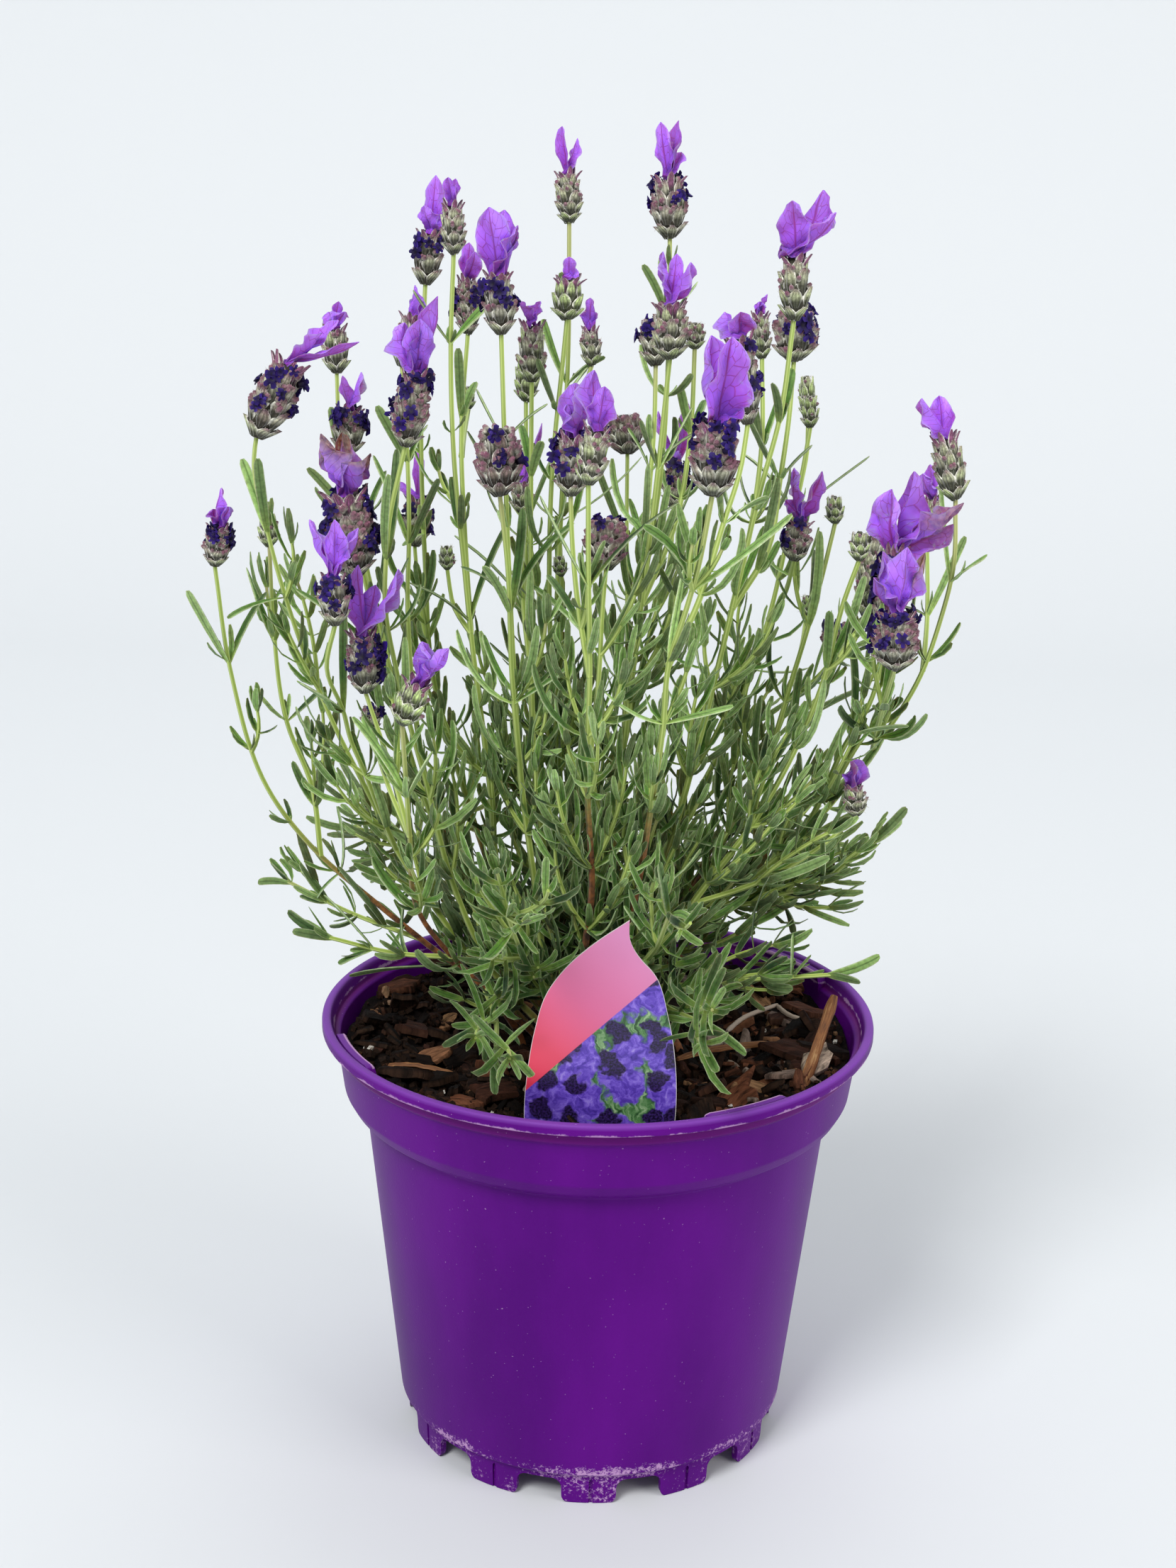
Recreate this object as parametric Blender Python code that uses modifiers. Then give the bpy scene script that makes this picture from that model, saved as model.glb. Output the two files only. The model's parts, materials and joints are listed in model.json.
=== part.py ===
"""Potted lavender: a purple nursery pot of bark potting mix, its plant label and a flowering lavender.

The plant is 18 leafy stems, each in a hole of its own in the soil. A stem's cones, dark florets and
leaves are fused to it; the purple bracts on top of a cone are one tuft each.
Sizes are in mm, turned into metres where a mesh is made. The origin is under the middle of the plant's
outline, at the feet of the pot. The front of the pot faces -Y.
"""
import math

import bmesh
import bpy
import numpy as np

MM = 0.001

# Pot, in mm above the soil line's zero. The feet reach below zero, and the whole is lifted at the end.
POT_STEPS = 36
RIM_R = 85.0
RIM_Z = 135.5
POT_PROFILE = (
    (0.0, 9.5), (59.5, 9.5), (70.4, 108.2), (74.9, 110.8), (77.2, 113.5), (79.2, 130.2), (80.9, 130.9),
    (82.4, RIM_Z), (RIM_R, RIM_Z), (RIM_R, 132.2), (82.1, 131.8), (81.9, 128.4), (80.3, 127.4),
    (78.4, 113.6), (76.4, 110.0), (71.8, 107.2), (61.1, 9.7), (58.9, 8.0), (58.5, -1.6), (56.6, -1.6),
    (56.4, 7.9), (0.0, 7.9))
FEET = 12
FOOT_GAP = 14.0
FOOT_LOW = -1.6
FOOT_HEIGHT = 8.2
FOOT_TURN = -89.0
DRAIN_HOLES = 4
DRAIN_R = 4.5
DRAIN_RING_R = 38.0
LUG_TURNS = (36.5, 121.5, 206.0, 303.0)
LUG_SPAN = 21.0
LUG_R = (79.3, 81.3)
LUG_Z = (129.0, 134.0)

# Soil
SOIL_PROFILE = (
    (0.0, 121.0), (77.65, 121.0), (76.8, 113.8), (74.6, 111.1), (70.05, 108.5), (59.1, 9.9), (0.0, 9.9))
HOLE_R = 2.6
HOLE_DEPTH = 9.6

# Plant label: outline across and up in mm, front face at LABEL_Y
LABEL_Y = -66.0
LABEL_THICK = 0.7
LABEL_OUTLINE = (
    (8.9, 188.7), (9.3, 182.6), (12.2, 177.6), (16.1, 173.4), (20.6, 160.0), (22.9, 146.3), (23.2, 128.0),
    (22.0, 118.0), (8.0, 112.0), (5.0, 107.0), (1.6, 92.0), (-1.6, 92.0), (-5.0, 107.0), (-8.0, 112.0),
    (-18.4, 118.0), (-19.5, 128.0), (-18.7, 143.8), (-16.9, 155.5), (-13.8, 166.4), (-8.4, 174.4),
    (-0.9, 181.5))
LABEL_SLOT = (
    (-20.2, 126.0), (-19.1, 117.5), (-8.2, 111.4), (-5.5, 107.0), (-2.1, 91.5), (2.1, 91.5), (5.5, 107.0),
    (8.2, 111.4), (22.7, 117.5), (23.8, 126.0))

# How many pairs of leaves the solids show
LEAF_PAIRS = 70

VIEW_FOCAL = 3259.0
VIEW_MID = (829.5, 1106.0)
VIEW_EYE = (7.5, -665.6, 408.3)
VIEW_PITCH = 0.292
VIEW_YAW = -0.018
VIEW_ROLL = 0.020
SOIL_Z = 121.0
ROOT_DEPTH = 9.0
STEP = 4.0
STEM_R_LOW = 1.7
STEM_R_TOP = 0.85
CLEAR = 0.9

# Flower heads: foot of the cone and top of the cone across and down on the reference view, depth
# behind the pot's axis in mm, cone width on the view, 1 where dark florets are open, tips of the
# purple bracts (across, down, extra depth), bract width in mm.
HEADS = {
    "h01": (945, 335, 943, 252, 25, 48, 1, ((958, 170, 2), (932, 172, -2), (962, 215, 5)), 6.0),
    "h02": (803, 313, 800, 245, 30, 38, 0, ((793, 178, 0), (815, 195, 2)), 4.5),
    "h03": (600, 400, 607, 330, 10, 42, 1, ((615, 247, 0), (622, 285, 3), (598, 290, -3)), 6.0),
    "h04": (640, 357, 638, 290, -5, 36, 0, ((632, 250, -2), (643, 252, 2)), 4.0),
    "h05": (707, 470, 702, 388, -25, 46, 1, ((690, 292, -4), (712, 296, 4), (731, 318, -1)), 10.0),
    "h06": (660, 470, 660, 395, 15, 36, 1, ((662, 342, 0), (670, 355, -3)), 5.5),
    "h07": (572, 628, 587, 530, -35, 50, 1, ((618, 418, -2), (570, 455, 2), (593, 450, -5)), 8.5),
    "h08": (567, 515, 583, 448, 0, 40, 0, ((585, 402, 0), (594, 420, 3)), 5.0),
    "h09": (362, 615, 408, 515, -20, 60, 1, ((507, 483, -4), (478, 452, 3), (455, 470, -1)), 5.5),
    "h10": (475, 525, 473, 465, 15, 40, 0, ((478, 425, 0), (486, 440, -3), (463, 440, 3)), 5.5),
    "h11": (490, 640, 493, 580, 5, 46, 1, ((510, 525, 0), (483, 530, -2)), 4.5),
    "h12": (500, 812, 487, 700, -25, 74, 1, ((452, 612, -2), (482, 610, 3), (523, 640, -4)), 10.0),
    "h13": (473, 880, 470, 815, -48, 46, 1, ((436, 733, 0), (472, 733, -3), (506, 745, 1)), 6.0),
    "h14": (515, 975, 512, 895, -40, 50, 1, ((505, 797, 0), (562, 803, -2), (530, 825, 4)), 7.0),
    "h15": (567, 1020, 590, 965, -60, 50, 0, ((595, 905, 0), (633, 915, -2)), 10.0),
    "h16": (523, 1032, 523, 997, -30, 30, 1, (), 0),
    "h17": (303, 798, 309, 745, -10, 38, 1, ((312, 688, 0), (323, 715, -2), (300, 718, 2)), 6.5),
    "h18": (380, 770, 377, 725, 10, 32, 0, (), 0),
    "h19": (585, 770, 589, 705, 28, 42, 1, ((590, 635, 0), (564, 680, 2)), 4.0),
    "h20": (631, 803, 630, 770, 0, 24, 0, (), 0),
    "h21": (661, 577, 660, 545, 40, 20, 0, (), 0),
    "h22": (705, 697, 702, 605, -40, 66, 1, (), 0),
    "h23": (735, 722, 738, 680, 12, 32, 0, ((765, 597, 0), (742, 640, 2)), 4.0),
    "h24": (750, 538, 750, 460, 0, 42, 0, ((733, 425, -1), (763, 425, 1)), 5.0),
    "h25": (742, 565, 743, 505, 25, 36, 0, (), 0),
    "h26": (800, 450, 802, 395, -10, 46, 0, ((803, 362, 0), (812, 378, 2)), 4.0),
    "h27": (835, 515, 832, 465, 20, 30, 0, ((833, 420, 0), (827, 437, 2)), 5.5),
    "h28": (945, 505, 946, 430, -15, 52, 0, ((935, 355, 0), (955, 358, 3), (975, 370, -2)), 6.0),
    "h29": (925, 515, 921, 450, 14, 42, 1, (), 0),
    "h30": (980, 492, 980, 455, 38, 30, 0, (), 0),
    "h31": (1005, 697, 1012, 600, -70, 68, 1, ((1003, 473, 0), (1033, 475, -6), (1047, 545, 4)), 11.5),
    "h32": (1055, 597, 1043, 475, -22, 44, 1, ((1022, 440, 1), (1045, 440, -2)), 7.5),
    "h33": (1075, 505, 1072, 445, 30, 30, 0, ((1083, 415, 0), (1072, 425, -1)), 3.5),
    "h34": (1120, 450, 1122, 362, -20, 46, 0,
            ((1118, 283, -2), (1162, 268, 4), (1180, 300, -3), (1102, 345, 2)), 9.5),
    "h35": (1120, 508, 1123, 440, 15, 62, 1, (), 0),
    "h36": (1140, 590, 1138, 530, 62, 26, 0, (), 0),
    "h37": (1143, 603, 1142, 560, 42, 26, 0, (), 0),
    "h38": (1120, 790, 1128, 737, 10, 42, 1, ((1120, 660, 0), (1160, 665, -3), (1108, 705, 3)), 7.5),
    "h39": (1178, 738, 1177, 700, 20, 28, 0, (), 0),
    "h40": (1212, 790, 1213, 750, -18, 30, 0, (), 0),
    "h41": (1222, 868, 1232, 755, 22, 42, 0, (), 0),
    "h42": (1348, 703, 1332, 618, 10, 46, 0, ((1300, 562, 0), (1325, 558, 3)), 7.5),
    "h43": (1308, 772, 1315, 705, 50, 30, 0, ((1312, 655, 0), (1302, 668, -2)), 6.5),
    "h44": (1245, 932, 1260, 780, -14, 46, 1,
            ((1290, 665, 1), (1360, 710, -4), (1345, 740, 3), (1258, 690, -2)), 11.0),
    "h45": (1262, 942, 1265, 868, -44, 66, 1,
            ((1245, 778, 2), (1280, 772, -4), (1305, 780, 3), (1232, 815, -1)), 8.5),
    "h46": (1180, 928, 1180, 882, 45, 44, 1, (), 0),
    "h47": (1137, 868, 1140, 840, 48, 20, 0, (), 0),
    "h48": (1208, 1150, 1204, 1110, -10, 36, 0, ((1202, 1070, 0), (1208, 1085, -2)), 7.0),
    "h50": (805, 697, 808, 615, -46, 50, 1, ((812, 540, 2), (830, 540, -1), (800, 570, 0)), 9.0),
    "h51": (830, 682, 842, 605, -68, 46, 0, ((838, 522, 1), (853, 545, -2)), 7.0),
    "h52": (950, 715, 953, 655, 42, 36, 1, ((928, 580, 1), (945, 640, -3), (967, 563, 0)), 5.5),
    "h53": (885, 640, 880, 585, 56, 54, 1, (), 0),
    "h54": (855, 800, 855, 735, -12, 64, 1, (), 0),
    "h55": (792, 812, 788, 785, 12, 22, 0, (), 0),
}

# Leafy stems: where each stands in the soil (mm), then its branches. A branch names its flower
# head, or the tip of a leafy shoot (across, down, depth), the branch it grows from, and points
# along it on the reference view from below upwards.
STEMS = {
    "lavender_stem_01": ((-15, -13), (
        ("h15", None, ((690, 1400), (648, 1360), (590, 1285), (578, 1180), (573, 1110))),
        ("h14", 0, ((578, 1180), (556, 1100))),
        ("h16", 0, ((578, 1180), (548, 1110))),
        ((462, 1322, -35), 0, ((640, 1350), (560, 1345))),
        ((700, 1480, -62), 0, ((690, 1400), (700, 1440))))),
    "lavender_stem_02": ((-23, -3), (
        ("h17", None, ((700, 1410), (600, 1330), (520, 1265), (450, 1205), (385, 1125), (325, 945))),
        ("h18", 0, ((450, 1205), (440, 1110), (405, 1020), (385, 870))),
        ((405, 1243, 5), 0, ((600, 1330), (500, 1290))))),
    "lavender_stem_03": ((-17, -5), (
        ("h09", None, ((700, 1400), (620, 1290), (560, 1200), (520, 1120), (470, 1020), (420, 895), (375, 740),
                       (358, 650))),
        ("h13", 0, ((560, 1200), (530, 1130), (500, 1040), (485, 960))))),
    "lavender_stem_04": ((-13, 3), (
        ("h12", None, ((730, 1380), (650, 1250), (600, 1130), (560, 1000), (520, 880))),
        ("h11", 0, ((560, 1000), (540, 900), (505, 740))),
        ("h10", 0, ((560, 1000), (530, 880), (490, 700), (478, 600))),
        ((520, 1130, 60), 0, ((650, 1250), (580, 1190))))),
    "lavender_stem_05": ((-8, -19), (
        ("h07", None, ((700, 1380), (640, 1250), (600, 1100), (560, 950), (540, 820), (548, 740))),
        ("h08", 0, ((600, 1100), (585, 1000), (575, 850), (577, 760), (575, 650), (570, 560))))),
    "lavender_stem_06": ((-8, -8), (
        ("h04", None, ((740, 1380), (705, 1250), (690, 1100), (665, 900), (655, 800), (640, 640), (636, 480))),
        ("h06", 0, ((665, 900), (656, 760), (651, 600))),
        ("h21", 1, ((651, 640), (656, 605))),
        ("h20", 0, ((665, 900), (642, 860))))),
    "lavender_stem_07": ((-7, 8), (
        ("h03", None, ((745, 1370), (700, 1250), (650, 1100), (610, 950), (600, 800), (594, 600), (598, 450))),
        ("h19", 0, ((610, 950), (592, 850))),
        ((640, 1190, 85), 0, ((745, 1370), (680, 1290))))),
    "lavender_stem_08": ((0, -24), (
        ("h05", None, ((775, 1390), (755, 1250), (735, 1100), (725, 950), (714, 700), (711, 600))),
        ("h22", 0, ((735, 1100), (722, 950), (716, 800))),
        ((715, 1290, -78), 0, ((775, 1390), (740, 1350))))),
    "lavender_stem_09": ((-1, -1), (
        ("h24", None, ((790, 1380), (775, 1250), (755, 1100), (750, 950), (749, 700))),
        ("h25", 0, ((755, 1100), (745, 900), (742, 700))),
        ("h23", 0, ((750, 950), (738, 850), (736, 780))))),
    "lavender_stem_10": ((2, 10), (
        ("h02", None, ((805, 1370), (800, 1250), (790, 1100), (785, 900), (795, 650), (802, 480))),
        ("h26", 0, ((790, 1100), (775, 850), (780, 650), (795, 500))),
        ("h27", 1, ((780, 650), (815, 570))),
        ("h55", 0, ((785, 900), (792, 860))),
        ((800, 1180, 88), 0, ((805, 1370), (800, 1270))))),
    "lavender_stem_11": ((8, -24), (
        ("h51", None, ((825, 1400), (835, 1250), (828, 1100), (832, 950), (830, 800))),
        ("h50", 0, ((832, 950), (815, 850), (807, 760))),
        ("h54", 0, ((828, 1100), (845, 950), (850, 860))))),
    "lavender_stem_12": ((8, 1), (
        ("h28", None, ((850, 1370), (860, 1250), (880, 1050), (905, 850), (925, 690))),
        ("h01", 0, ((880, 1050), (905, 850), (935, 640), (944, 450))),
        ("h29", 0, ((905, 850), (915, 700), (923, 600))),
        ("h30", 0, ((905, 850), (955, 730), (975, 600))),
        ("h52", 0, ((880, 1050), (915, 900), (945, 790))),
        ("h53", 0, ((880, 1050), (885, 900), (884, 760))))),
    "lavender_stem_13": ((15, -18), (
        ("h31", None, ((860, 1390), (895, 1270), (920, 1130), (935, 1030), (945, 930), (965, 870), (985, 800))),
        ("h32", 0, ((945, 930), (985, 850), (1020, 740), (1045, 660))),
        ((945, 1290, -74), 0, ((860, 1390), (915, 1350))))),
    "lavender_stem_14": ((16, -7), (
        ("h34", None, ((880, 1370), (930, 1240), (985, 1050), (1035, 850), (1073, 690), (1100, 590))),
        ("h35", 0, ((1035, 850), (1085, 770), (1100, 680), (1113, 590))),
        ("h33", 0, ((1035, 850), (1060, 740), (1075, 620))))),
    "lavender_stem_15": ((14, 11), (
        ("h37", None, ((880, 1350), (940, 1200), (1020, 1050), (1085, 870), (1115, 740), (1133, 660))),
        ("h36", 0, ((1115, 740), (1130, 680), (1138, 640))),
        ("h38", 0, ((1085, 870), (1108, 835))),
        ((930, 1190, 84), 0, ((880, 1350), (905, 1270))))),
    "lavender_stem_16": ((23, 4), (
        ("h39", None, ((900, 1370), (980, 1250), (1070, 1100), (1120, 950), (1150, 850), (1168, 780))),
        ("h47", 0, ((1120, 950), (1132, 905))),
        ("h46", 0, ((1070, 1100), (1130, 1010), (1168, 965))),
        ((1110, 1180, 62), 0, ((980, 1250), (1050, 1220))))),
    "lavender_stem_17": ((26, -6), (
        ("h42", None, ((900, 1390), (1010, 1280), (1130, 1180), (1230, 1060), (1300, 950), (1325, 880),
                       (1345, 800))),
        ("h43", 0, ((1300, 950), (1308, 870))),
        ("h45", 0, ((1230, 1060), (1245, 1000))),
        ("h44", 0, ((1130, 1180), (1190, 1060), (1230, 985))),
        ((1235, 1185, 0), 0, ((1010, 1280), (1130, 1260))))),
    "lavender_stem_18": ((23, -17), (
        ("h40", None, ((900, 1390), (980, 1270), (1070, 1150), (1130, 1040), (1160, 965), (1190, 850))),
        ("h41", 0, ((1160, 965), (1195, 910))),
        ("h48", 0, ((980, 1270), (1080, 1240), (1170, 1185))),
        ((1175, 1375, -30), 0, ((900, 1390), (1020, 1385))),
        ((985, 1440, -60), 0, ((880, 1400), (940, 1420))))),
}


def unit(v):
    """Return the vector at length one."""
    v = np.asarray(v, float)
    return v / max(np.linalg.norm(v), 1e-9)


def view_axes():
    """Return the forward, right and up directions of the reference view."""
    cp, sp = np.cos(VIEW_PITCH), np.sin(VIEW_PITCH)
    cy, sy = np.cos(VIEW_YAW), np.sin(VIEW_YAW)
    forward = np.array([sy * cp, cy * cp, -sp])
    right = np.array([cy, -sy, 0.0])
    up = np.cross(right, forward)
    cr, sr = np.cos(VIEW_ROLL), np.sin(VIEW_ROLL)
    return forward, cr * right + sr * up, -sr * right + cr * up


def sight(across, down, depth):
    """Return the point in mm seen at a place on the reference view, at a depth behind the axis."""
    forward, right, up = view_axes()
    ray = forward + (across - VIEW_MID[0]) / VIEW_FOCAL * right + (VIEW_MID[1] - down) / VIEW_FOCAL * up
    eye = np.array(VIEW_EYE)
    return eye + ray * (depth - eye[1]) / ray[1]


def smooth_line(points, step):
    """Return a smooth curve through the points, at an even step."""
    pts = np.array(points, float)
    span = np.maximum(np.linalg.norm(np.diff(pts, axis=0), axis=1), 1e-6)
    slope = np.diff(pts, axis=0) / span[:, None]
    lean = np.vstack([slope[:1], slope[-1:]]) if len(pts) == 2 else np.vstack([
        slope[:1],
        (span[:-1, None] * slope[1:] + span[1:, None] * slope[:-1]) / (span[:-1] + span[1:])[:, None],
        slope[-1:]])
    dense = []
    for k in range(len(span)):
        for t in np.linspace(0, 1, 12, endpoint=False):
            ease = 3 * t ** 2 - 2 * t ** 3
            near, far = t ** 3 - 2 * t ** 2 + t, t ** 3 - t ** 2
            dense.append((1 - ease) * pts[k] + ease * pts[k + 1]
                         + span[k] * (near * lean[k] + far * lean[k + 1]))
    dense.append(pts[-1])
    dense = np.array(dense)
    run = np.concatenate([[0], np.cumsum(np.linalg.norm(np.diff(dense, axis=0), axis=1))])
    count = max(2, int(round(run[-1] / step)) + 1)
    at = np.linspace(0, run[-1], count)
    return np.column_stack([np.interp(at, run, dense[:, k]) for k in range(3)])


def head_frame(name):
    """Return the foot, top and radius of a head's cone in mm."""
    bu, bv, tu, tv, depth, width = HEADS[name][:6]
    foot = sight(bu, bv, depth)
    size = np.linalg.norm(sight(tu, tv, depth) - foot)
    lean = 0.12 * depth / 60.0 * size
    top = sight(tu, tv, depth + lean)
    radius = 0.5 * width * (foot[1] - VIEW_EYE[1]) / VIEW_FOCAL * 0.98
    return foot, top, radius


def bract_lines(name):
    """Return each bract of a head: root, middle, tip and the way its back faces."""
    foot, top, radius = head_frame(name)
    axis = unit(top - foot)
    lines = []
    root = top + axis * 0.9
    for k, (tu, tv, extra) in enumerate(HEADS[name][7]):
        tip = sight(tu, tv, top[1] + extra)
        reach = tip - root
        along = unit(reach)
        out = reach - axis * float(reach @ axis)
        out = out + np.array([0.0, 0.35 * (1 if extra > 0 else -1), 0.0]) * abs(extra)
        out = out + np.array([0.0, -0.5 if extra <= 0 else 0.5, 0.0])
        out = unit(out - along * float(out @ along))
        middle = root + reach * 0.5 + out * (0.10 * np.linalg.norm(reach) + 0.35 * k)
        lines.append((root, middle, tip, out))
    return lines


def build_branches():
    """Return each leafy stem's branches as lists of points from below upwards."""
    plants = {}
    for stem, (root, rows) in STEMS.items():
        lines = []
        for end, parent, marks in rows:
            if isinstance(end, str):
                tip = head_frame(end)[0]
            else:
                tip = sight(*end)
            if parent is None:
                start = np.array([root[0], root[1], SOIL_Z - ROOT_DEPTH])
                collar = np.array([root[0], root[1], SOIL_Z + 2.0])
                low = collar
                head_points = [start, collar]
                rest = marks
            else:
                target = marks[0]
                best = min(range(2, len(lines[parent]) - 2),
                           key=lambda k: np.hypot(*(np.array(project(lines[parent][k])) - target)))
                low = lines[parent][best]
                head_points = [low]
                rest = marks[1:]
            v_low = project(low)[1]
            v_top = project(tip)[1]
            for across, down in rest:
                share = (v_low - down) / (v_low - v_top)
                share = min(max(share, 0.02), 0.98) ** 0.85
                if abs(v_low - v_top) < 60:
                    share = (across - project(low)[0]) / (project(tip)[0] - project(low)[0])
                head_points.append(sight(across, down, low[1] + (tip[1] - low[1]) * share))
            head_points.append(tip)
            line = smooth_line(head_points, STEP)
            lines.append(line)
        plants[stem] = lines
    return plants


def project(p):
    """Return where a point in mm falls on the reference view."""
    forward, right, up = view_axes()
    d = np.asarray(p, float) - np.array(VIEW_EYE)
    scale = VIEW_FOCAL / (d @ forward)
    return VIEW_MID[0] + scale * (d @ right), VIEW_MID[1] - scale * (d @ up)


def stem_radius(plant_rows, index, share):
    """Return a branch's radius at a share of its length."""
    low = STEM_R_LOW if plant_rows[index][1] is None else 1.25
    return low + (STEM_R_TOP - low) * share


def head_balls(name):
    """Return balls that fill a head's cone and its bracts: centre, radius, and 1 for a bract."""
    foot, top, radius = head_frame(name)
    length = np.linalg.norm(top - foot)
    count = max(3, int(length / 4) + 1)
    reach = radius * (1.42 if HEADS[name][6] else 1.18)
    balls = [(foot + (top - foot) * t, reach, 0) for t in np.linspace(0.12, 0.9, count)]
    width = HEADS[name][8]
    for root, middle, tip, out in bract_lines(name):
        for t in np.linspace(0.1, 1.0, 6):
            p = (1 - t) ** 2 * root + 2 * t * (1 - t) * middle + t * t * tip
            balls.append((p, 0.5 * width * np.sin(np.pi * min(max(t, 0.12), 0.85)) ** 0.6 + 0.3, 1))
    return balls


def settle(plants):
    """Bend branches of neighbouring stems clear of one another and of the heads."""
    names = list(plants)
    free, node, rad, index = [], [], [], []
    for k, stem in enumerate(names):
        for b, line in enumerate(plants[stem]):
            for i in range(len(line)):
                node.append(k)
                rad.append(stem_radius(STEMS[stem][1], b, i / (len(line) - 1)))
                index.append((stem, b, i))
    ball_p, ball_r, ball_n = [], [], []
    for k, stem in enumerate(names):
        for end, parent, marks in STEMS[stem][1]:
            if isinstance(end, str):
                for p, r, kind in head_balls(end):
                    ball_p.append(p)
                    ball_r.append(r)
                    ball_n.append(k if kind == 0 else 100 + len(ball_n) * 0 + int(end[1:]))
    ball_p, ball_r, ball_n = np.array(ball_p), np.array(ball_r), np.array(ball_n)
    node, rad = np.array(node), np.array(rad)
    for turn in range(14):
        pos = np.concatenate([line for stem in names for line in plants[stem]])
        move = np.zeros_like(pos)
        gap = pos[:, None, :] - pos[None, :, :]
        dist = np.sqrt((gap ** 2).sum(2)) + 1e-9
        need = rad[:, None] + rad[None, :] + 1.6
        short = np.where((node[:, None] != node[None, :]) & (dist < need), need - dist, 0.0)
        move += 0.35 * (gap / dist[:, :, None] * short[:, :, None]).sum(1)
        gap = pos[:, None, :] - ball_p[None, :, :]
        dist = np.sqrt((gap ** 2).sum(2)) + 1e-9
        need = rad[:, None] + ball_r[None, :] + 1.4
        short = np.where((node[:, None] != ball_n[None, :]) & (dist < need), need - dist, 0.0)
        move += 0.6 * (gap / dist[:, :, None] * short[:, :, None]).sum(1)
        at = 0
        for stem in names:
            for b, line in enumerate(plants[stem]):
                n = len(line)
                m = move[at:at + n].copy()
                at += n
                hold = 5 if STEMS[stem][1][b][1] is None else 1
                m[:hold] = 0
                if isinstance(STEMS[stem][1][b][0], str):
                    m[-2:] = 0
                for _ in range(6):
                    m[1:-1] = 0.25 * m[:-2] + 0.5 * m[1:-1] + 0.25 * m[2:]
                    m[:hold] = 0
                    if isinstance(STEMS[stem][1][b][0], str):
                        m[-1:] = 0
                line += m * 1.6
                line[hold + 3:, 2] = np.maximum(line[hold + 3:, 2], SOIL_Z + 4)
        for stem in names:
            rows = STEMS[stem][1]
            for b, (end, parent, marks) in enumerate(rows):
                if parent is None:
                    continue
                host = plants[stem][parent]
                line = plants[stem][b]
                k = int(np.argmin(np.linalg.norm(host - line[0], axis=1)))
                shift = host[k] - line[0]
                fade = np.linspace(1, 0, min(8, len(line)))[:, None]
                line[:len(fade)] += shift * fade
    return plants


def leaf_curve(leaf, shares):
    """Return points along a leaf, which bends from its stem's direction outwards."""
    p, along, side, size, width, start, end = leaf
    points = []
    here = np.array(p, float)
    last = 0.0
    for t in shares:
        bend = start + (end - start) * 0.5 * (t + last)
        here = here + (along * np.cos(bend) + side * np.sin(bend)) * size * (t - last)
        last = t
        points.append(here.copy())
    return points


def leaf_pairs(plants):
    """Return every stem's leaves, in crossed pairs at its joints: joint number and leaf."""
    rng = np.random.default_rng(17)
    sites = {}
    for stem, lines in plants.items():
        rows = []
        for b, line in enumerate(lines):
            end, parent, marks = STEMS[stem][1][b]
            flower = isinstance(end, str)
            length = STEP * (len(line) - 1)
            spin = rng.uniform(0, np.pi)
            at = length - (rng.uniform(24, 36) if flower else 1.5)
            low = 26.0 if parent is None else 10.0
            joint = 0
            while at > low:
                k = min(at / STEP, len(line) - 1.001)
                i = int(k)
                p = line[i] + (line[i + 1] - line[i]) * (k - i)
                along = unit(line[min(i + 2, len(line) - 1)] - line[max(i - 1, 0)])
                ref = unit(np.cross(along, (0.31, 0.95, 0.1)))
                side = np.cos(spin) * ref + np.sin(spin) * np.cross(along, ref)
                height = (p[2] - SOIL_Z) / 200.0
                for sign in (1, -1):
                    size = rng.uniform(21, 33) if flower else rng.uniform(15, 27)
                    size = size * (0.85 if height < 0.15 else 1.0)
                    start = rng.uniform(0.35, 0.7) if flower else rng.uniform(0.45, 0.8)
                    turn = rng.uniform(-0.1, 0.75)
                    if not flower and joint == 0:
                        start, turn = 0.2, 0.25
                    leaf = (p, along, side * sign, size, rng.uniform(2.7, 3.4), start, start + turn)
                    rows.append((joint, b, leaf))
                at -= rng.uniform(19, 29) if flower else rng.uniform(9, 14)
                spin += np.pi / 2 + rng.uniform(-0.25, 0.25)
                joint += 1
        sites[stem] = rows
    return sites


def off_limits(p, margin):
    """Tell whether a point comes too near the soil, the pot's rim or the plant label."""
    out = np.hypot(p[0], p[1])
    if p[2] < SOIL_Z + 6.0 + margin:
        return True
    if 70.0 < out < 92.0 and p[2] < 139.0 + margin:
        return True
    return abs(p[1] + 66.0) < 3.0 + margin and -24.0 < p[0] < 27.0 and p[2] < 193.0


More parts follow.
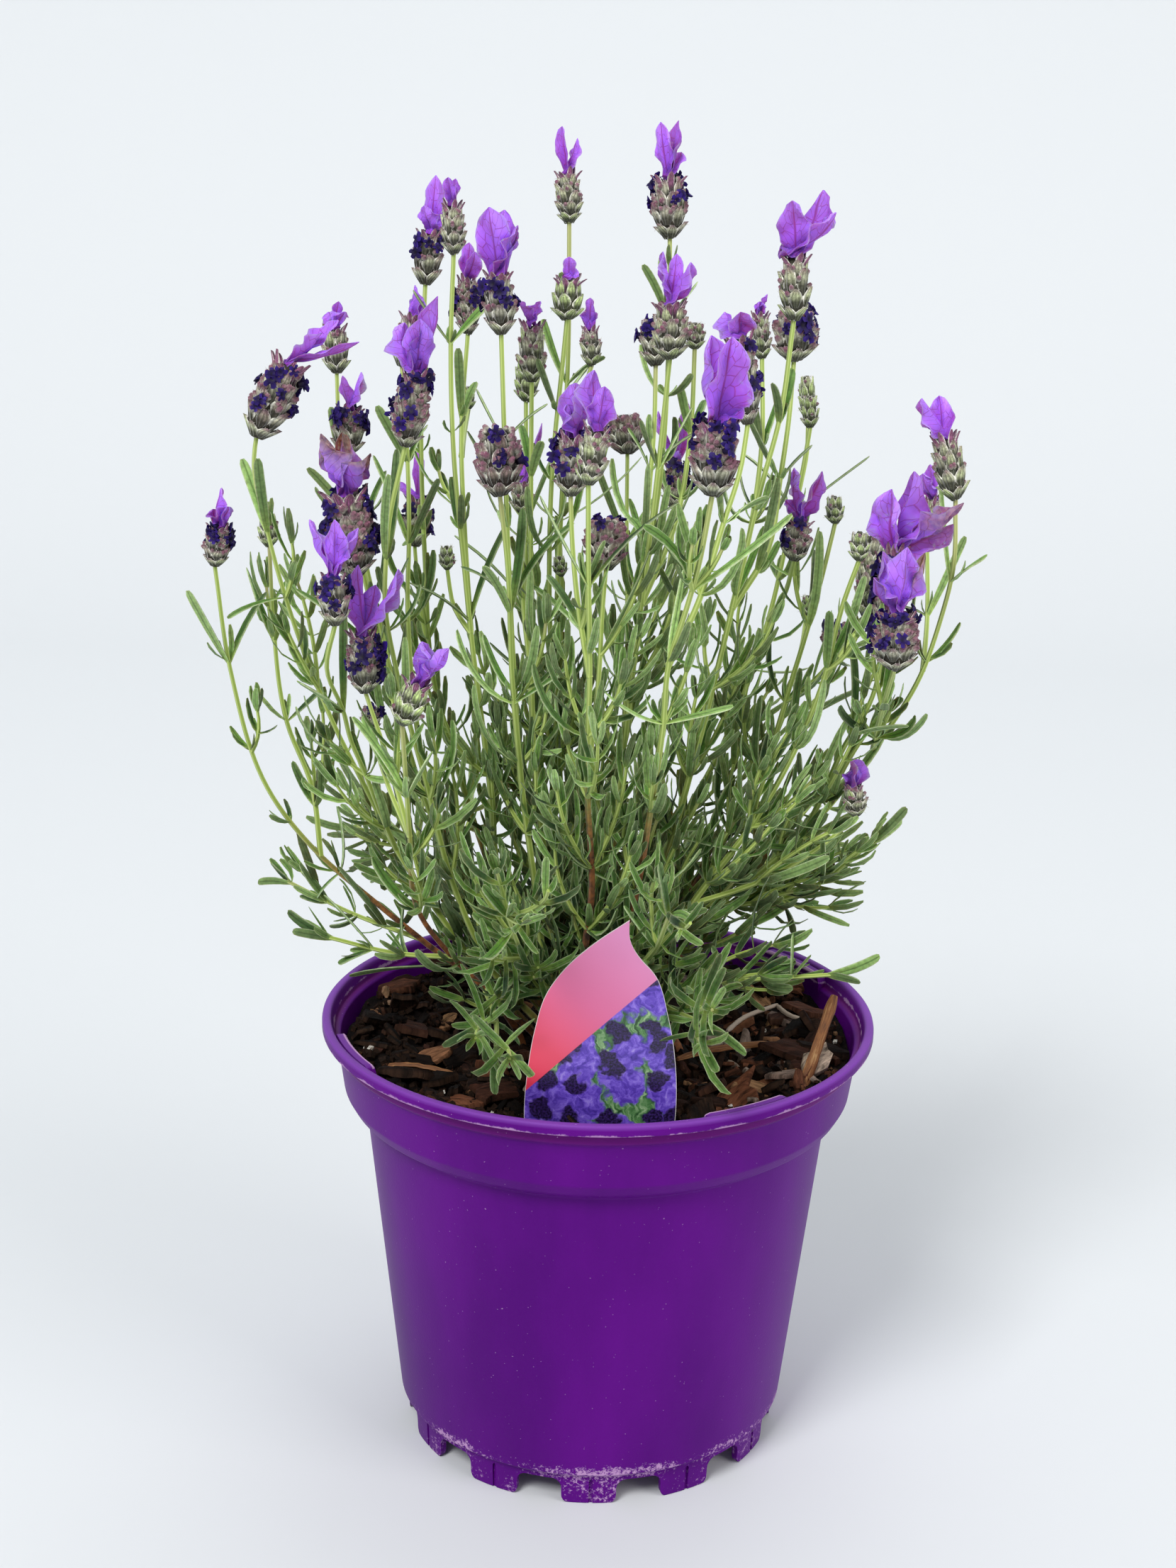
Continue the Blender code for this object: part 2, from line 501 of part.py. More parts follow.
def place_leaves(plants, sites, wanted):
    """Choose leaf pairs evenly, each bent clear of every other stem, head, bract and leaf."""
    names = list(plants)
    points, radii, owner = [], [], []
    for k, stem in enumerate(names):
        for b, line in enumerate(plants[stem]):
            for i, p in enumerate(line):
                points.append(p)
                radii.append(stem_radius(STEMS[stem][1], b, i / (len(line) - 1)) + 0.5)
                owner.append(k)
        for end, parent, marks in STEMS[stem][1]:
            if isinstance(end, str):
                for p, r, kind in head_balls(end):
                    points.append(p)
                    radii.append(r)
                    owner.append(k if kind == 0 else 100)
    shares = (0.2, 0.36, 0.52, 0.68, 0.84, 1.0)
    kept = {stem: [] for stem in names}
    order = []
    for k, stem in enumerate(names):
        for n in range(0, len(sites[stem]), 2):
            joint = sites[stem][n][0]
            order.append((0 if joint == 0 else 1 + (joint * 7 + n * 5 + k * 3) % 11, k, n))
    total = 0
    for rank, k, n in sorted(order):
        if total >= wanted:
            break
        cloud, reach, whose = np.array(points), np.array(radii), np.array(owner)
        near, need = cloud[whose != k], reach[whose != k]
        for attempt in range(12):
            twist = (0, 0.4, -0.4, 0.8, -0.8, 1.2, -1.2, 1.57, 0.2, -0.2, 0.6, -0.6)[attempt]
            shrink = 1.0 if attempt < 8 else 0.78
            pair, spots = [], []
            for joint, b, leaf in sites[names[k]][n:n + 2]:
                base_p, along, side, size, width, start, end = leaf
                turned_side = np.cos(twist) * side + np.sin(twist) * np.cross(along, side)
                trial = (base_p, along, turned_side, size * shrink, width, start, end)
                pair.append(trial)
                spots += leaf_curve(trial, shares)
            if any(off_limits(p, 1.5) for p in spots):
                continue
            gaps = [np.min(np.linalg.norm(near - p, axis=1) - need) for p in spots]
            if min(gaps) > 0.5 * width + 0.5:
                kept[names[k]].append((joint, b, pair))
                for p in spots:
                    points.append(p)
                    radii.append(0.5 * width + 0.3)
                    owner.append(k)
                total += 1
                break
    return kept


def clear_scene():
    """Remove everything that the scene holds."""
    for item in list(bpy.data.objects):
        bpy.data.objects.remove(item, do_unlink=True)
    for group in list(bpy.data.collections):
        bpy.data.collections.remove(group)


def new_collection(name):
    """Return a new collection in the scene."""
    group = bpy.data.collections.new(name)
    bpy.context.scene.collection.children.link(group)
    return group


def srgb(text):
    """Turn a hex colour into linear red, green, blue and alpha."""
    parts = [int(text[i:i + 2], 16) / 255 for i in (0, 2, 4)]
    return [p / 12.92 if p <= 0.04045 else ((p + 0.055) / 1.055) ** 2.4 for p in parts] + [1.0]


def principled(name, colour, roughness):
    """Return a Principled material."""
    mat = bpy.data.materials.new(name)
    mat.use_nodes = True
    shader = mat.node_tree.nodes["Principled BSDF"]
    shader.inputs["Base Color"].default_value = srgb(colour)
    shader.inputs["Roughness"].default_value = roughness
    shader.inputs["Metallic"].default_value = 0.0
    mat.diffuse_color = srgb(colour)
    return mat


def mesh_object(name, verts, faces, group, split=True):
    """Return an object from points in mm and faces, with its normals turned outwards."""
    mesh = bpy.data.meshes.new(name)
    mesh.from_pydata([tuple(float(c) * MM for c in v) for v in verts], [], faces)
    form = bmesh.new()
    form.from_mesh(mesh)
    if split:
        bmesh.ops.triangulate(form, faces=form.faces)
    bmesh.ops.recalc_face_normals(form, faces=form.faces)
    form.to_mesh(mesh)
    form.free()
    obj = bpy.data.objects.new(name, mesh)
    group.objects.link(obj)
    return obj


def turned(name, profile, group):
    """Return a turned solid from a profile of radius and height, from the axis round to the axis."""
    mesh = bpy.data.meshes.new(name)
    points = [(r * MM, 0.0, z * MM) for r, z in profile]
    mesh.from_pydata(points, [(i, i + 1) for i in range(len(points) - 1)], [])
    obj = bpy.data.objects.new(name, mesh)
    group.objects.link(obj)
    screw = obj.modifiers.new("Turn", "SCREW")
    screw.angle = math.tau
    screw.steps = POT_STEPS
    screw.render_steps = POT_STEPS
    screw.use_merge_vertices = True
    screw.merge_threshold = 0.00001
    screw.use_normal_calculate = True
    return settle_mesh(obj)


def settle_mesh(obj, weld=True, split=False):
    """Apply an object's modifiers, or turn its curve into a mesh with welded caps."""
    graph = bpy.context.evaluated_depsgraph_get()
    mesh = bpy.data.meshes.new_from_object(obj.evaluated_get(graph))
    if weld:
        form = bmesh.new()
        form.from_mesh(mesh)
        bmesh.ops.remove_doubles(form, verts=form.verts, dist=0.000002)
        if split:
            bmesh.ops.triangulate(form, faces=form.faces)
        bmesh.ops.recalc_face_normals(form, faces=form.faces)
        form.to_mesh(mesh)
        form.free()
    if obj.type == "MESH":
        obj.modifiers.clear()
        obj.data = mesh
        return obj
    name = obj.name
    group = obj.users_collection[0]
    bpy.data.objects.remove(obj, do_unlink=True)
    done = bpy.data.objects.new(name, mesh)
    group.objects.link(done)
    return done


def is_closed(obj):
    """Tell whether an object's evaluated mesh is closed, with two faces at every edge."""
    graph = bpy.context.evaluated_depsgraph_get()
    mesh = bpy.data.meshes.new_from_object(obj.evaluated_get(graph))
    form = bmesh.new()
    form.from_mesh(mesh)
    closed = all(len(edge.link_faces) == 2 for edge in form.edges)
    form.free()
    bpy.data.meshes.remove(mesh)
    return closed


def boolean(obj, group, operation):
    """Cut or join an object with a collection's solids, then remove them."""
    if not group.objects:
        return obj
    mod = obj.modifiers.new(operation.title(), "BOOLEAN")
    mod.operation = operation
    mod.operand_type = "COLLECTION"
    mod.collection = group
    mod.solver = "EXACT"
    if not is_closed(obj):
        mod.solver = "MANIFOLD"
    obj = settle_mesh(obj, weld=False)
    for item in list(group.objects):
        bpy.data.objects.remove(item, do_unlink=True)
    return obj


def prism(name, outline, y_front, y_back, group):
    """Return a flat plate standing along X, from an outline across and up."""
    n = len(outline)
    verts = [(x, y_front, z) for x, z in outline] + [(x, y_back, z) for x, z in outline]
    faces = [tuple(range(n)), tuple(range(2 * n - 1, n - 1, -1))]
    faces += [(i, n + i, n + (i + 1) % n, (i + 1) % n) for i in range(n)]
    return mesh_object(name, verts, faces, group, split=False)


def arc_wall(name, radii, heights, centre, span, group, steps=4):
    """Return a curved wall between two radii and two heights, about an angle in degrees."""
    verts = []
    for k in range(steps + 1):
        a = math.radians(centre + span * (k / steps - 0.5))
        corners = ((0, 0), (1, 0), (1, 1), (0, 1))
        for r, z in [(radii[i], heights[j]) for i, j in corners]:
            verts.append((r * math.cos(a), r * math.sin(a), z))
    faces = [(3, 2, 1, 0), tuple(4 * steps + i for i in range(4))]
    for k in range(steps):
        for i in range(4):
            j = (i + 1) % 4
            faces.append((4 * k + i, 4 * k + j, 4 * k + 4 + j, 4 * k + 4 + i))
    return mesh_object(name, verts, faces, group, split=False)


def cutter_box(name, size, centre, turn, group):
    """Return a box cutter at a radius along an angle in degrees."""
    form = bmesh.new()
    bmesh.ops.create_cube(form, size=1.0)
    a = math.radians(turn)
    for v in form.verts:
        x = v.co.x * size[0] + centre[0]
        y = v.co.y * size[1]
        v.co = ((x * math.cos(a) - y * math.sin(a)) * MM, (x * math.sin(a) + y * math.cos(a)) * MM,
                (v.co.z * size[2] + centre[1]) * MM)
    mesh = bpy.data.meshes.new(name)
    form.to_mesh(mesh)
    form.free()
    obj = bpy.data.objects.new(name, mesh)
    group.objects.link(obj)
    return obj


def cutter_pin(name, radius, x, y, z_low, z_high, sides, group):
    """Return an upright round cutter."""
    form = bmesh.new()
    bmesh.ops.create_cone(form, cap_ends=True, segments=sides, radius1=radius * MM, radius2=radius * MM,
                          depth=(z_high - z_low) * MM)
    bmesh.ops.translate(form, verts=form.verts, vec=(x * MM, y * MM, 0.5 * (z_low + z_high) * MM))
    mesh = bpy.data.meshes.new(name)
    form.to_mesh(mesh)
    form.free()
    obj = bpy.data.objects.new(name, mesh)
    group.objects.link(obj)
    return obj


def make_pot(parts, cutters):
    """Turn the pot, add its inside lugs, and cut the gaps between its feet and the drain holes."""
    pot = turned("pot", POT_PROFILE, parts)
    for k, turn in enumerate(LUG_TURNS):
        arc_wall(f"lug_{k}", LUG_R, LUG_Z, turn, LUG_SPAN, cutters)
    pot = boolean(pot, cutters, "UNION")
    for k in range(FEET):
        turn = FOOT_TURN + 360.0 / FEET * (k + 0.5)
        middle = FOOT_LOW + FOOT_HEIGHT / 2 - 1.0
        cutter_box(f"foot_gap_{k}", (9.0, FOOT_GAP, FOOT_HEIGHT + 2.0), (57.6, middle), turn, cutters)
    for k in range(DRAIN_HOLES):
        a = math.radians(90 + 360.0 / DRAIN_HOLES * k)
        x, y = DRAIN_RING_R * math.cos(a), DRAIN_RING_R * math.sin(a)
        cutter_pin(f"drain_{k}", DRAIN_R, x, y, 6.0, 11.0, 8, cutters)
    pot = boolean(pot, cutters, "DIFFERENCE")
    pot.data.materials.append(principled("pot_purple_plastic", "5B1587", 0.42))
    return pot


# Bark chips and sticks that lie on the soil, read on the reference view: across, down, length and
# width in mm, turn in degrees.
CHIPS = (
    (703, 1500, 17, 9, 20), (560, 1530, 15, 7, -10), (1005, 1530, 15, 9, 70), (1060, 1545, 12, 8, 10),
    (1115, 1495, 17, 9, -15), (1170, 1495, 14, 8, 15), (1165, 1440, 16, 8, -30), (1080, 1400, 14, 7, 0),
    (540, 1405, 13, 7, 10), (520, 1450, 14, 8, 60), (600, 1490, 13, 8, 15), (700, 1345, 13, 8, 30),
    (790, 1328, 14, 7, -20), (870, 1335, 13, 8, 45), (960, 1345, 13, 7, -35))
STICKS = (
    ((950, 1504), (1085, 1478), 2.0), ((548, 1512), (640, 1524), 1.6), ((1035, 1455), (1098, 1428), 1.6))
LEANING_STICK = ((1150, 1515), (58.5, -38.0, 127.0), (71.5, -13.0, 147.0), 3.0)


def on_soil(across, down):
    """Return the place on the soil seen at a place on the reference view."""
    forward, right, up = view_axes()
    ray = forward + (across - VIEW_MID[0]) / VIEW_FOCAL * right + (VIEW_MID[1] - down) / VIEW_FOCAL * up
    eye = np.array(VIEW_EYE)
    return eye + ray * (SOIL_Z - eye[2]) / ray[2]


def make_chip(k, place, length, width, turn, group):
    """Return one rough bark chip, half sunk in the soil."""
    rng = np.random.default_rng(100 + k)
    form = bmesh.new()
    bmesh.ops.create_cube(form, size=1.0)
    a = math.radians(turn)
    tilt = rng.uniform(-0.18, 0.18, 2)
    for v in form.verts:
        x = v.co.x * length * rng.uniform(0.7, 1.1) * (0.75 if v.co.y > 0 else 1.0)
        y = v.co.y * width * rng.uniform(0.65, 1.1)
        z = v.co.z * 6.0 + 1.1 + tilt[0] * x + tilt[1] * y
        v.co = ((place[0] + x * math.cos(a) - y * math.sin(a)) * MM,
                (place[1] + x * math.sin(a) + y * math.cos(a)) * MM, (place[2] + z) * MM)
    bmesh.ops.triangulate(form, faces=form.faces)
    mesh = bpy.data.meshes.new(f"chip_{k}")
    form.to_mesh(mesh)
    form.free()
    group.objects.link(bpy.data.objects.new(f"chip_{k}", mesh))


def make_soil(parts, cutters):
    """Make the plug of potting mix with bark chips on it and a plain hole for each stem."""
    soil = turned("soil", SOIL_PROFILE, parts)
    rng = np.random.default_rng(3)
    for v in soil.data.vertices:
        out = math.hypot(v.co.x, v.co.y) / MM
        if v.co.z > 120.0 * MM and 50.0 < out < 60.0:
            v.co.z += rng.uniform(-1.2, 1.6) * MM
    for k, (across, down, length, width, turn) in enumerate(CHIPS):
        place = on_soil(across, down)
        out = math.hypot(place[0], place[1])
        limit = 70.5 - 0.5 * length
        if out > limit:
            place = place * np.array([limit / out, limit / out, 1.0])
        if abs(place[1] + 66.0) < 0.5 * length + 1.0 and abs(place[0] - 2.0) < 24.0 + 0.5 * length:
            continue
        if math.hypot(place[0], place[1]) > 33.0 + 0.4 * length:
            make_chip(k, place, length, width, turn, cutters)
    for k, (one, two, width) in enumerate(STICKS):
        a, b = on_soil(*one), on_soil(*two)
        line = [a + (0, 0, 0.6), 0.5 * (a + b) + (0, 0, 1.2), b + (0, 0, 0.3)]
        tube(f"stick_{k}", line, [0.5 * width] * 3, cutters)
    line = [np.array([57.0, -42.0, 118.0]), np.array(LEANING_STICK[1]), np.array(LEANING_STICK[2])]
    tube("leaning_stick", line, [1.6, 1.6, 1.4], cutters)
    soil = boolean(soil, cutters, "UNION")
    for stem, (root, rows) in STEMS.items():
        cutter_pin(f"hole_{stem}", HOLE_R, root[0], root[1], SOIL_Z - HOLE_DEPTH, SOIL_Z + 3.0, 6, cutters)
    prism("label_slot", LABEL_SLOT, LABEL_Y - 0.4, LABEL_Y + LABEL_THICK + 0.4, cutters)
    soil = boolean(soil, cutters, "DIFFERENCE")
    soil.data.materials.append(principled("bark_potting_mix", "2A1E18", 0.95))
    return soil


def make_label(parts):
    """Make the plastic plant label with its stake in the soil."""
    label = prism("plant_label", LABEL_OUTLINE, LABEL_Y, LABEL_Y + LABEL_THICK, parts)
    label.data.materials.append(principled("label_plastic", "D4608C", 0.35))
    return label


def thin_out(line, slack):
    """Return the few points of a line that keep it within a slack."""
    if len(line) < 3:
        return list(line)
    span = line[-1] - line[0]
    size = max(np.linalg.norm(span), 1e-6)
    off = np.linalg.norm(np.cross(line - line[0], span / size), axis=1)
    k = int(np.argmax(off))
    if off[k] < slack or k == 0 or k == len(line) - 1:
        return [line[0], line[-1]]
    return thin_out(line[:k + 1], slack)[:-1] + thin_out(line[k:], slack)


def tube(name, points, radii, group):
    """Return a four-sided stem along points, as a curve with a bevel and filled caps."""
    curve = bpy.data.curves.new(name, "CURVE")
    curve.dimensions = "3D"
    curve.bevel_depth = MM
    curve.bevel_resolution = 0
    curve.use_fill_caps = True
    spline = curve.splines.new("POLY")
    spline.points.add(len(points) - 1)
    for spot, p, r in zip(spline.points, points, radii):
        spot.co = (p[0] * MM, p[1] * MM, p[2] * MM, 1.0)
        spot.radius = r
    obj = bpy.data.objects.new(name, curve)
    group.objects.link(obj)
    return settle_mesh(obj, split=True)


def blade(name, centre_line, widths, keel, across, face, group):
    """Return a thin blade with a keel: rings of three points along a line, closed at a tip."""
    verts, faces = [], []
    count = len(centre_line) - 1
    for i in range(count):
        p = centre_line[i]
        half = 0.5 * widths[i]
        verts += [p + across * half, p - across * half, p - face[i] * keel[i]]
    verts.append(centre_line[-1])
    faces.append((0, 1, 2))
    for i in range(count - 1):
        for j in range(3):
            k = (j + 1) % 3
            faces.append((3 * i + j, 3 * i + k, 3 * i + 3 + k, 3 * i + 3 + j))
    tip = 3 * count
    for j in range(3):
        faces.append((3 * count - 3 + j, 3 * count - 3 + (j + 1) % 3, tip))
    return mesh_object(name, verts, faces, group)


def make_leaf_pair(name, pair, group):
    """Return two opposite narrow leaves as one arched blade that passes through their stem."""
    verts, faces = [], []
    rings = []
    for leaf in pair:
        p, along, side, size, width, start, end = leaf
        line = leaf_curve(leaf, (0.0, 0.52, 1.0))
        bend = start + (end - start) * 0.52
        face = unit(along * math.sin(bend) - side * math.cos(bend))
        rings.append((line, face, width))
    across = unit(np.cross(pair[0][1], pair[0][2]))
    middle, along = pair[0][0], pair[0][1]
    low, high = rings
    sections = ((low[0][1], low[1], low[2]), (middle, along, 1.3), (high[0][1], high[1], high[2]))
    for p, face, width in sections:
        verts += [p + across * 0.5 * width, p - across * 0.5 * width, p - face * (0.95 if width > 2 else 0.6)]
    verts += [rings[0][0][2], rings[1][0][2]]
    for i in range(2):
        for j in range(3):
            k = (j + 1) % 3
            faces.append((3 * i + j, 3 * i + k, 3 * i + 3 + k, 3 * i + 3 + j))
    for j in range(3):
        k = (j + 1) % 3
        faces.append((j, k, 9))
        faces.append((6 + j, 6 + k, 10))
    return mesh_object(name, verts, faces, group)


def cone_rows(length):
    """Return how many rows of scales a cone of this length has."""
    if length < 10.5:
        return 2
    return 3 if length < 19.0 else (4 if length < 25.0 else 5)


def swell(t):
    """Return the share of its full radius that a cone has at a share of its height."""
    return 0.66 + 0.34 * math.sin(math.pi * min(1.0, 0.12 + 0.86 * t)) - 0.10 * t


def make_cone(name, head, group):
    """Return a flower's cone of pointed scales, some with an open floret, as one closed loft."""
    foot, top, radius = head_frame(head)
    axis = unit(top - foot)
    length = float(np.linalg.norm(top - foot))
    one = unit(np.cross(axis, (0.2, 1.0, 0.3)))
    two = np.cross(axis, one)
    rows = cone_rows(length)
    scales = 5 if radius > 6.6 else (4 if radius > 3.4 else 3)
    blooming = HEADS[head][6] == 1
    spots = 2 * scales
    step = length / (rows + 0.15)
    rings = []
    for row in range(rows):
        low = row * step
        width = radius * swell(low / length)
        if row == 0:
            inner = [(0.5 * radius, 0.0)] * spots
        else:
            inner = [(0.80 * width, low)] * spots
        outer = []
        for j in range(spots):
            tip = (j + row) % 2 == 0
            at = min((low + (1.08 if tip else 0.55) * step) / length, 1.0)
            reach = 1.16 if tip else 0.90
            if blooming and tip and (j // 2 + 2 * row) % 3 != 0:
                reach = 1.42
            outer.append((reach * radius * swell(at), at * length))
        rings += [inner, outer]
    verts = []
    for ring in rings:
        for j, (r, z) in enumerate(ring):
            a = math.tau * j / spots
            verts.append(foot + axis * z + (one * math.cos(a) + two * math.sin(a)) * r)
    verts.append(foot + axis * length)
    faces = [tuple(range(spots))]
    for i in range(len(rings) - 1):
        for j in range(spots):
            k = (j + 1) % spots
            a, b, c, d = spots * i + j, spots * i + k, spots * i + spots + k, spots * i + spots + j
            if (j + i) % 2:
                faces += [(a, b, c), (a, c, d)]
            else:
                faces += [(a, b, d), (b, c, d)]
    last = spots * (len(rings) - 1)
    for j in range(spots):
        faces.append((last + j, last + (j + 1) % spots, spots * len(rings)))
    return mesh_object(name, verts, faces, group)


def make_tuft(head, parts, cutters, paint):
    """Return the purple bracts on top of one cone, joined at their root."""
    foot, top, radius = head_frame(head)
    axis = unit(top - foot)
    width = HEADS[head][8]
    made = []
    shown = 3 if width > 8.2 else 2
    for k, (root, middle, tip, out) in enumerate(bract_lines(head)[:shown]):
        shares = (0.0, 0.4, 0.78, 1.0) if width > 8.2 else (0.0, 0.5, 1.0)
        line = [(1 - t) ** 2 * root + 2 * t * (1 - t) * middle + t * t * tip for t in shares]
        across = unit(np.cross(tip - root, out))
        line[0] = line[0] + axis * 0.17 * k - out * 0.55 + across * (0.21, -0.17, 0.09, -0.05)[k]
        group = parts if k == 0 else cutters
        name = f"bracts_{head[1:]}" if k == 0 else f"bract_{head}_{k}"
        made.append(blade(name, line, (1.9 + 0.17 * k, width, width * 0.8), (1.1 + 0.07 * k, 1.0, 0.8), across,
                          [-out] * len(line), group))
    tuft = boolean(made[0], cutters, "UNION")
    tuft.data.materials.append(paint)
    return tuft


def make_stem(stem, lines, leaves, parts, cutters, paint):
    """Return one leafy stem with its branches, leaves, cones and florets, fused into one solid."""
    rows = STEMS[stem][1]
    main = None
    for b, line in enumerate(lines):
        end, parent, marks = rows[b]
        if parent is None:
            bend = [line[0], line[3]] + thin_out(line[3:], 1.2)[1:]
        else:
            bend = thin_out(line, 1.2)
        if isinstance(end, str):
            foot, top, radius = head_frame(end)
            bend.append(foot + unit(top - foot) * 2.6)
        run = np.concatenate([[0], np.cumsum([np.linalg.norm(q - p) for p, q in zip(bend, bend[1:])])])
        radii = [stem_radius(rows, b, share) for share in run / run[-1]]
        made = tube(stem if b == 0 else f"{stem}_branch_{b}", bend, radii, parts if b == 0 else cutters)
        if b == 0:
            main = made
        if isinstance(end, str):
            make_cone(f"cone_{end}", end, cutters)
    for k, (joint, b, pair) in enumerate(leaves):
        make_leaf_pair(f"{stem}_leaves_{k}", pair, cutters)
    main = boolean(main, cutters, "UNION")
    main.data.materials.append(paint)
    return main


def main():
    """Build the pot, soil, label, leafy stems and bract tufts, and centre them on the origin."""
    clear_scene()
    parts = new_collection("potted_lavender")
    cutters = new_collection("shaping_solids")
    make_pot(parts, cutters)
    make_soil(parts, cutters)
    make_label(parts)
    plants = settle(build_branches())
    leaves = place_leaves(plants, leaf_pairs(plants), LEAF_PAIRS)
    for stem in STEMS:
        green = principled(f"{stem}_green", "6F8F55", 0.7)
        make_stem(stem, plants[stem], leaves[stem], parts, cutters, green)
    for head in HEADS:
        if HEADS[head][7]:
            make_tuft(head, parts, cutters, principled(f"bracts_{head[1:]}_violet", "8A45CF", 0.6))
    bpy.context.view_layer.update()
    low = np.full(3, 1e9)
    high = np.full(3, -1e9)
    for item in parts.objects:
        points = np.array([tuple(v.co) for v in item.data.vertices])
        low = np.minimum(low, points.min(0))
        high = np.maximum(high, points.max(0))
    for item in parts.objects:
        item.location = (-0.5 * (low[0] + high[0]), -0.5 * (low[1] + high[1]), -low[2])
        item.data.shade_smooth()
        item.data.set_sharp_from_angle(angle=math.radians(35))
    bpy.data.collections.remove(cutters)


main()
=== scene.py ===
"""Looks of a potted lavender: a purple nursery pot of bark mix, its plant label and a flowering plant.

The plant is drawn on the same lines as the solids: 18 leafy stems, each flower head with its cone of
scales, dark florets and a tuft of violet bracts. Sizes are in mm about the pot's axis, with the front of
the pot towards -Y, and are turned into the frame's metres where a mesh is made.
"""
import json
import math
from functools import partial

import bmesh
import bpy
import numpy as np
from bpy.props import BoolProperty, FloatProperty, FloatVectorProperty, IntProperty, PointerProperty
from mathutils import Matrix, Vector, noise

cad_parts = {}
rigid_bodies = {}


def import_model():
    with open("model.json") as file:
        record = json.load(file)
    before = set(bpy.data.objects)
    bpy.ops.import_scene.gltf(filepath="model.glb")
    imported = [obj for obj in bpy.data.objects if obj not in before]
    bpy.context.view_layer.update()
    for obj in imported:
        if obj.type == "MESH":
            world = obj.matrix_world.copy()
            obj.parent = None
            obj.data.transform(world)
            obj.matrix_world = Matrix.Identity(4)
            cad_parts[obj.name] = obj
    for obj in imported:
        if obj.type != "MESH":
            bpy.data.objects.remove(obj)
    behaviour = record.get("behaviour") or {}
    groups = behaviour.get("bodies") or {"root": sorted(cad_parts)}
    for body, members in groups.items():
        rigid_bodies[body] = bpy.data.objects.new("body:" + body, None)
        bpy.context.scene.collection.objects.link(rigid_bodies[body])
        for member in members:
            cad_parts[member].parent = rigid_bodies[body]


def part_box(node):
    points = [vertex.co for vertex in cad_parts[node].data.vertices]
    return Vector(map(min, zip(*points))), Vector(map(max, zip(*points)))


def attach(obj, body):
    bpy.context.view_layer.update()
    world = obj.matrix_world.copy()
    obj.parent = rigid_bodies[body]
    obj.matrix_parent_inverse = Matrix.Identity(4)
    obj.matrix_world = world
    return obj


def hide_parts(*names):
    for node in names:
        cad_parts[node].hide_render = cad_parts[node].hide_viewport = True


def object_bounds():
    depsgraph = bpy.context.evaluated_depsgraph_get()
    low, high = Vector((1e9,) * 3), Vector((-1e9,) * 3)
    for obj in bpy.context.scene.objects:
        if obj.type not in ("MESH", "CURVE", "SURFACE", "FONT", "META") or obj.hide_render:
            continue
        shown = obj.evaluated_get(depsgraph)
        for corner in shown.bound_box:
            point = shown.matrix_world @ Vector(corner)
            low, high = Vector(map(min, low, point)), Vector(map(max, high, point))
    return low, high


bl_info = {
    "name": "Potted lavender",
    "version": (1, 0, 0),
    "blender": (4, 5, 0),
    "location": "View3D > Sidebar > Lavender",
    "description": "Dresses the solids of a potted lavender with its pot, soil, leaves and flowers",
    "category": "Object",
}

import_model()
CAD_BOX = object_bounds()

# Pot, as radius and height round its wall. The feet reach below the soil line's zero.
RIM_R = 85.0
RIM_Z = 135.5
FOOT_LOW = -1.6
POT_PROFILE = (
    (0.0, 9.5), (59.5, 9.5), (70.4, 108.2), (74.9, 110.8), (77.2, 113.5), (79.2, 130.2), (80.9, 130.9),
    (82.4, RIM_Z), (RIM_R, RIM_Z), (RIM_R, 132.2), (82.1, 131.8), (81.9, 128.4), (80.3, 127.4),
    (78.4, 113.6), (76.4, 110.0), (71.8, 107.2), (61.1, 9.7), (58.9, 8.0), (58.5, FOOT_LOW),
    (56.6, FOOT_LOW), (56.4, 7.9), (0.0, 7.9))
POT_ROUNDING = (
    0, 2.0, 2.5, 1.5, 3.0, 1.0, 0.9, 1.1, 1.3, 0.35, 0.5, 1.2, 1.0, 3.0, 3.0, 1.6, 0.8, 0.5, 0.5, 0.5, 0.6, 0)
FEET = 12
FOOT_GAP = 14.0
FOOT_HEIGHT = 8.2
FOOT_TURN = -89.0
FOOT_GROOVE = 1.2
DRAIN_HOLES = 4
DRAIN_R = 4.5
DRAIN_RING_R = 38.0
LUG_TURNS = (36.5, 121.5, 206.0, 303.0)
LUG_SPAN = 21.0
LUG_R = (78.9, 81.6)
LUG_Z = (129.0, 134.9)

MM = 0.001
POT_LOW, POT_HIGH = (np.array(corner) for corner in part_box("pot"))
AXIS_SHIFT = np.array([0.5 * (POT_LOW[0] + POT_HIGH[0]), 0.5 * (POT_LOW[1] + POT_HIGH[1]), -FOOT_LOW * MM])

# Mix: the plug's side below its lumpy top
SOIL_SIDE = ((76.8, 113.8), (74.6, 111.1), (70.05, 108.5), (59.1, 9.9), (0.0, 9.9))
SOIL_R = 77.65

# Plant label: its right and left edges from the tip down, across and up
LABEL_Y = -66.0
LABEL_THICK = 0.7
LABEL_BORDER = 155.5
LABEL_RIGHT = (
    (8.9, 188.7), (9.3, 182.6), (12.2, 177.6), (16.1, 173.4), (20.6, 160.0), (22.9, 146.3), (23.2, 128.0),
    (22.0, 118.0), (8.0, 112.0), (5.0, 107.0), (1.6, 92.0))
LABEL_LEFT = (
    (8.9, 188.7), (-0.9, 181.5), (-8.4, 174.4), (-13.8, 166.4), (-16.9, 155.5), (-18.7, 143.8),
    (-19.5, 128.0), (-18.4, 118.0), (-8.0, 112.0), (-5.0, 107.0), (-1.6, 92.0))

# How many pairs of leaves the solids show
LEAF_PAIRS = 70

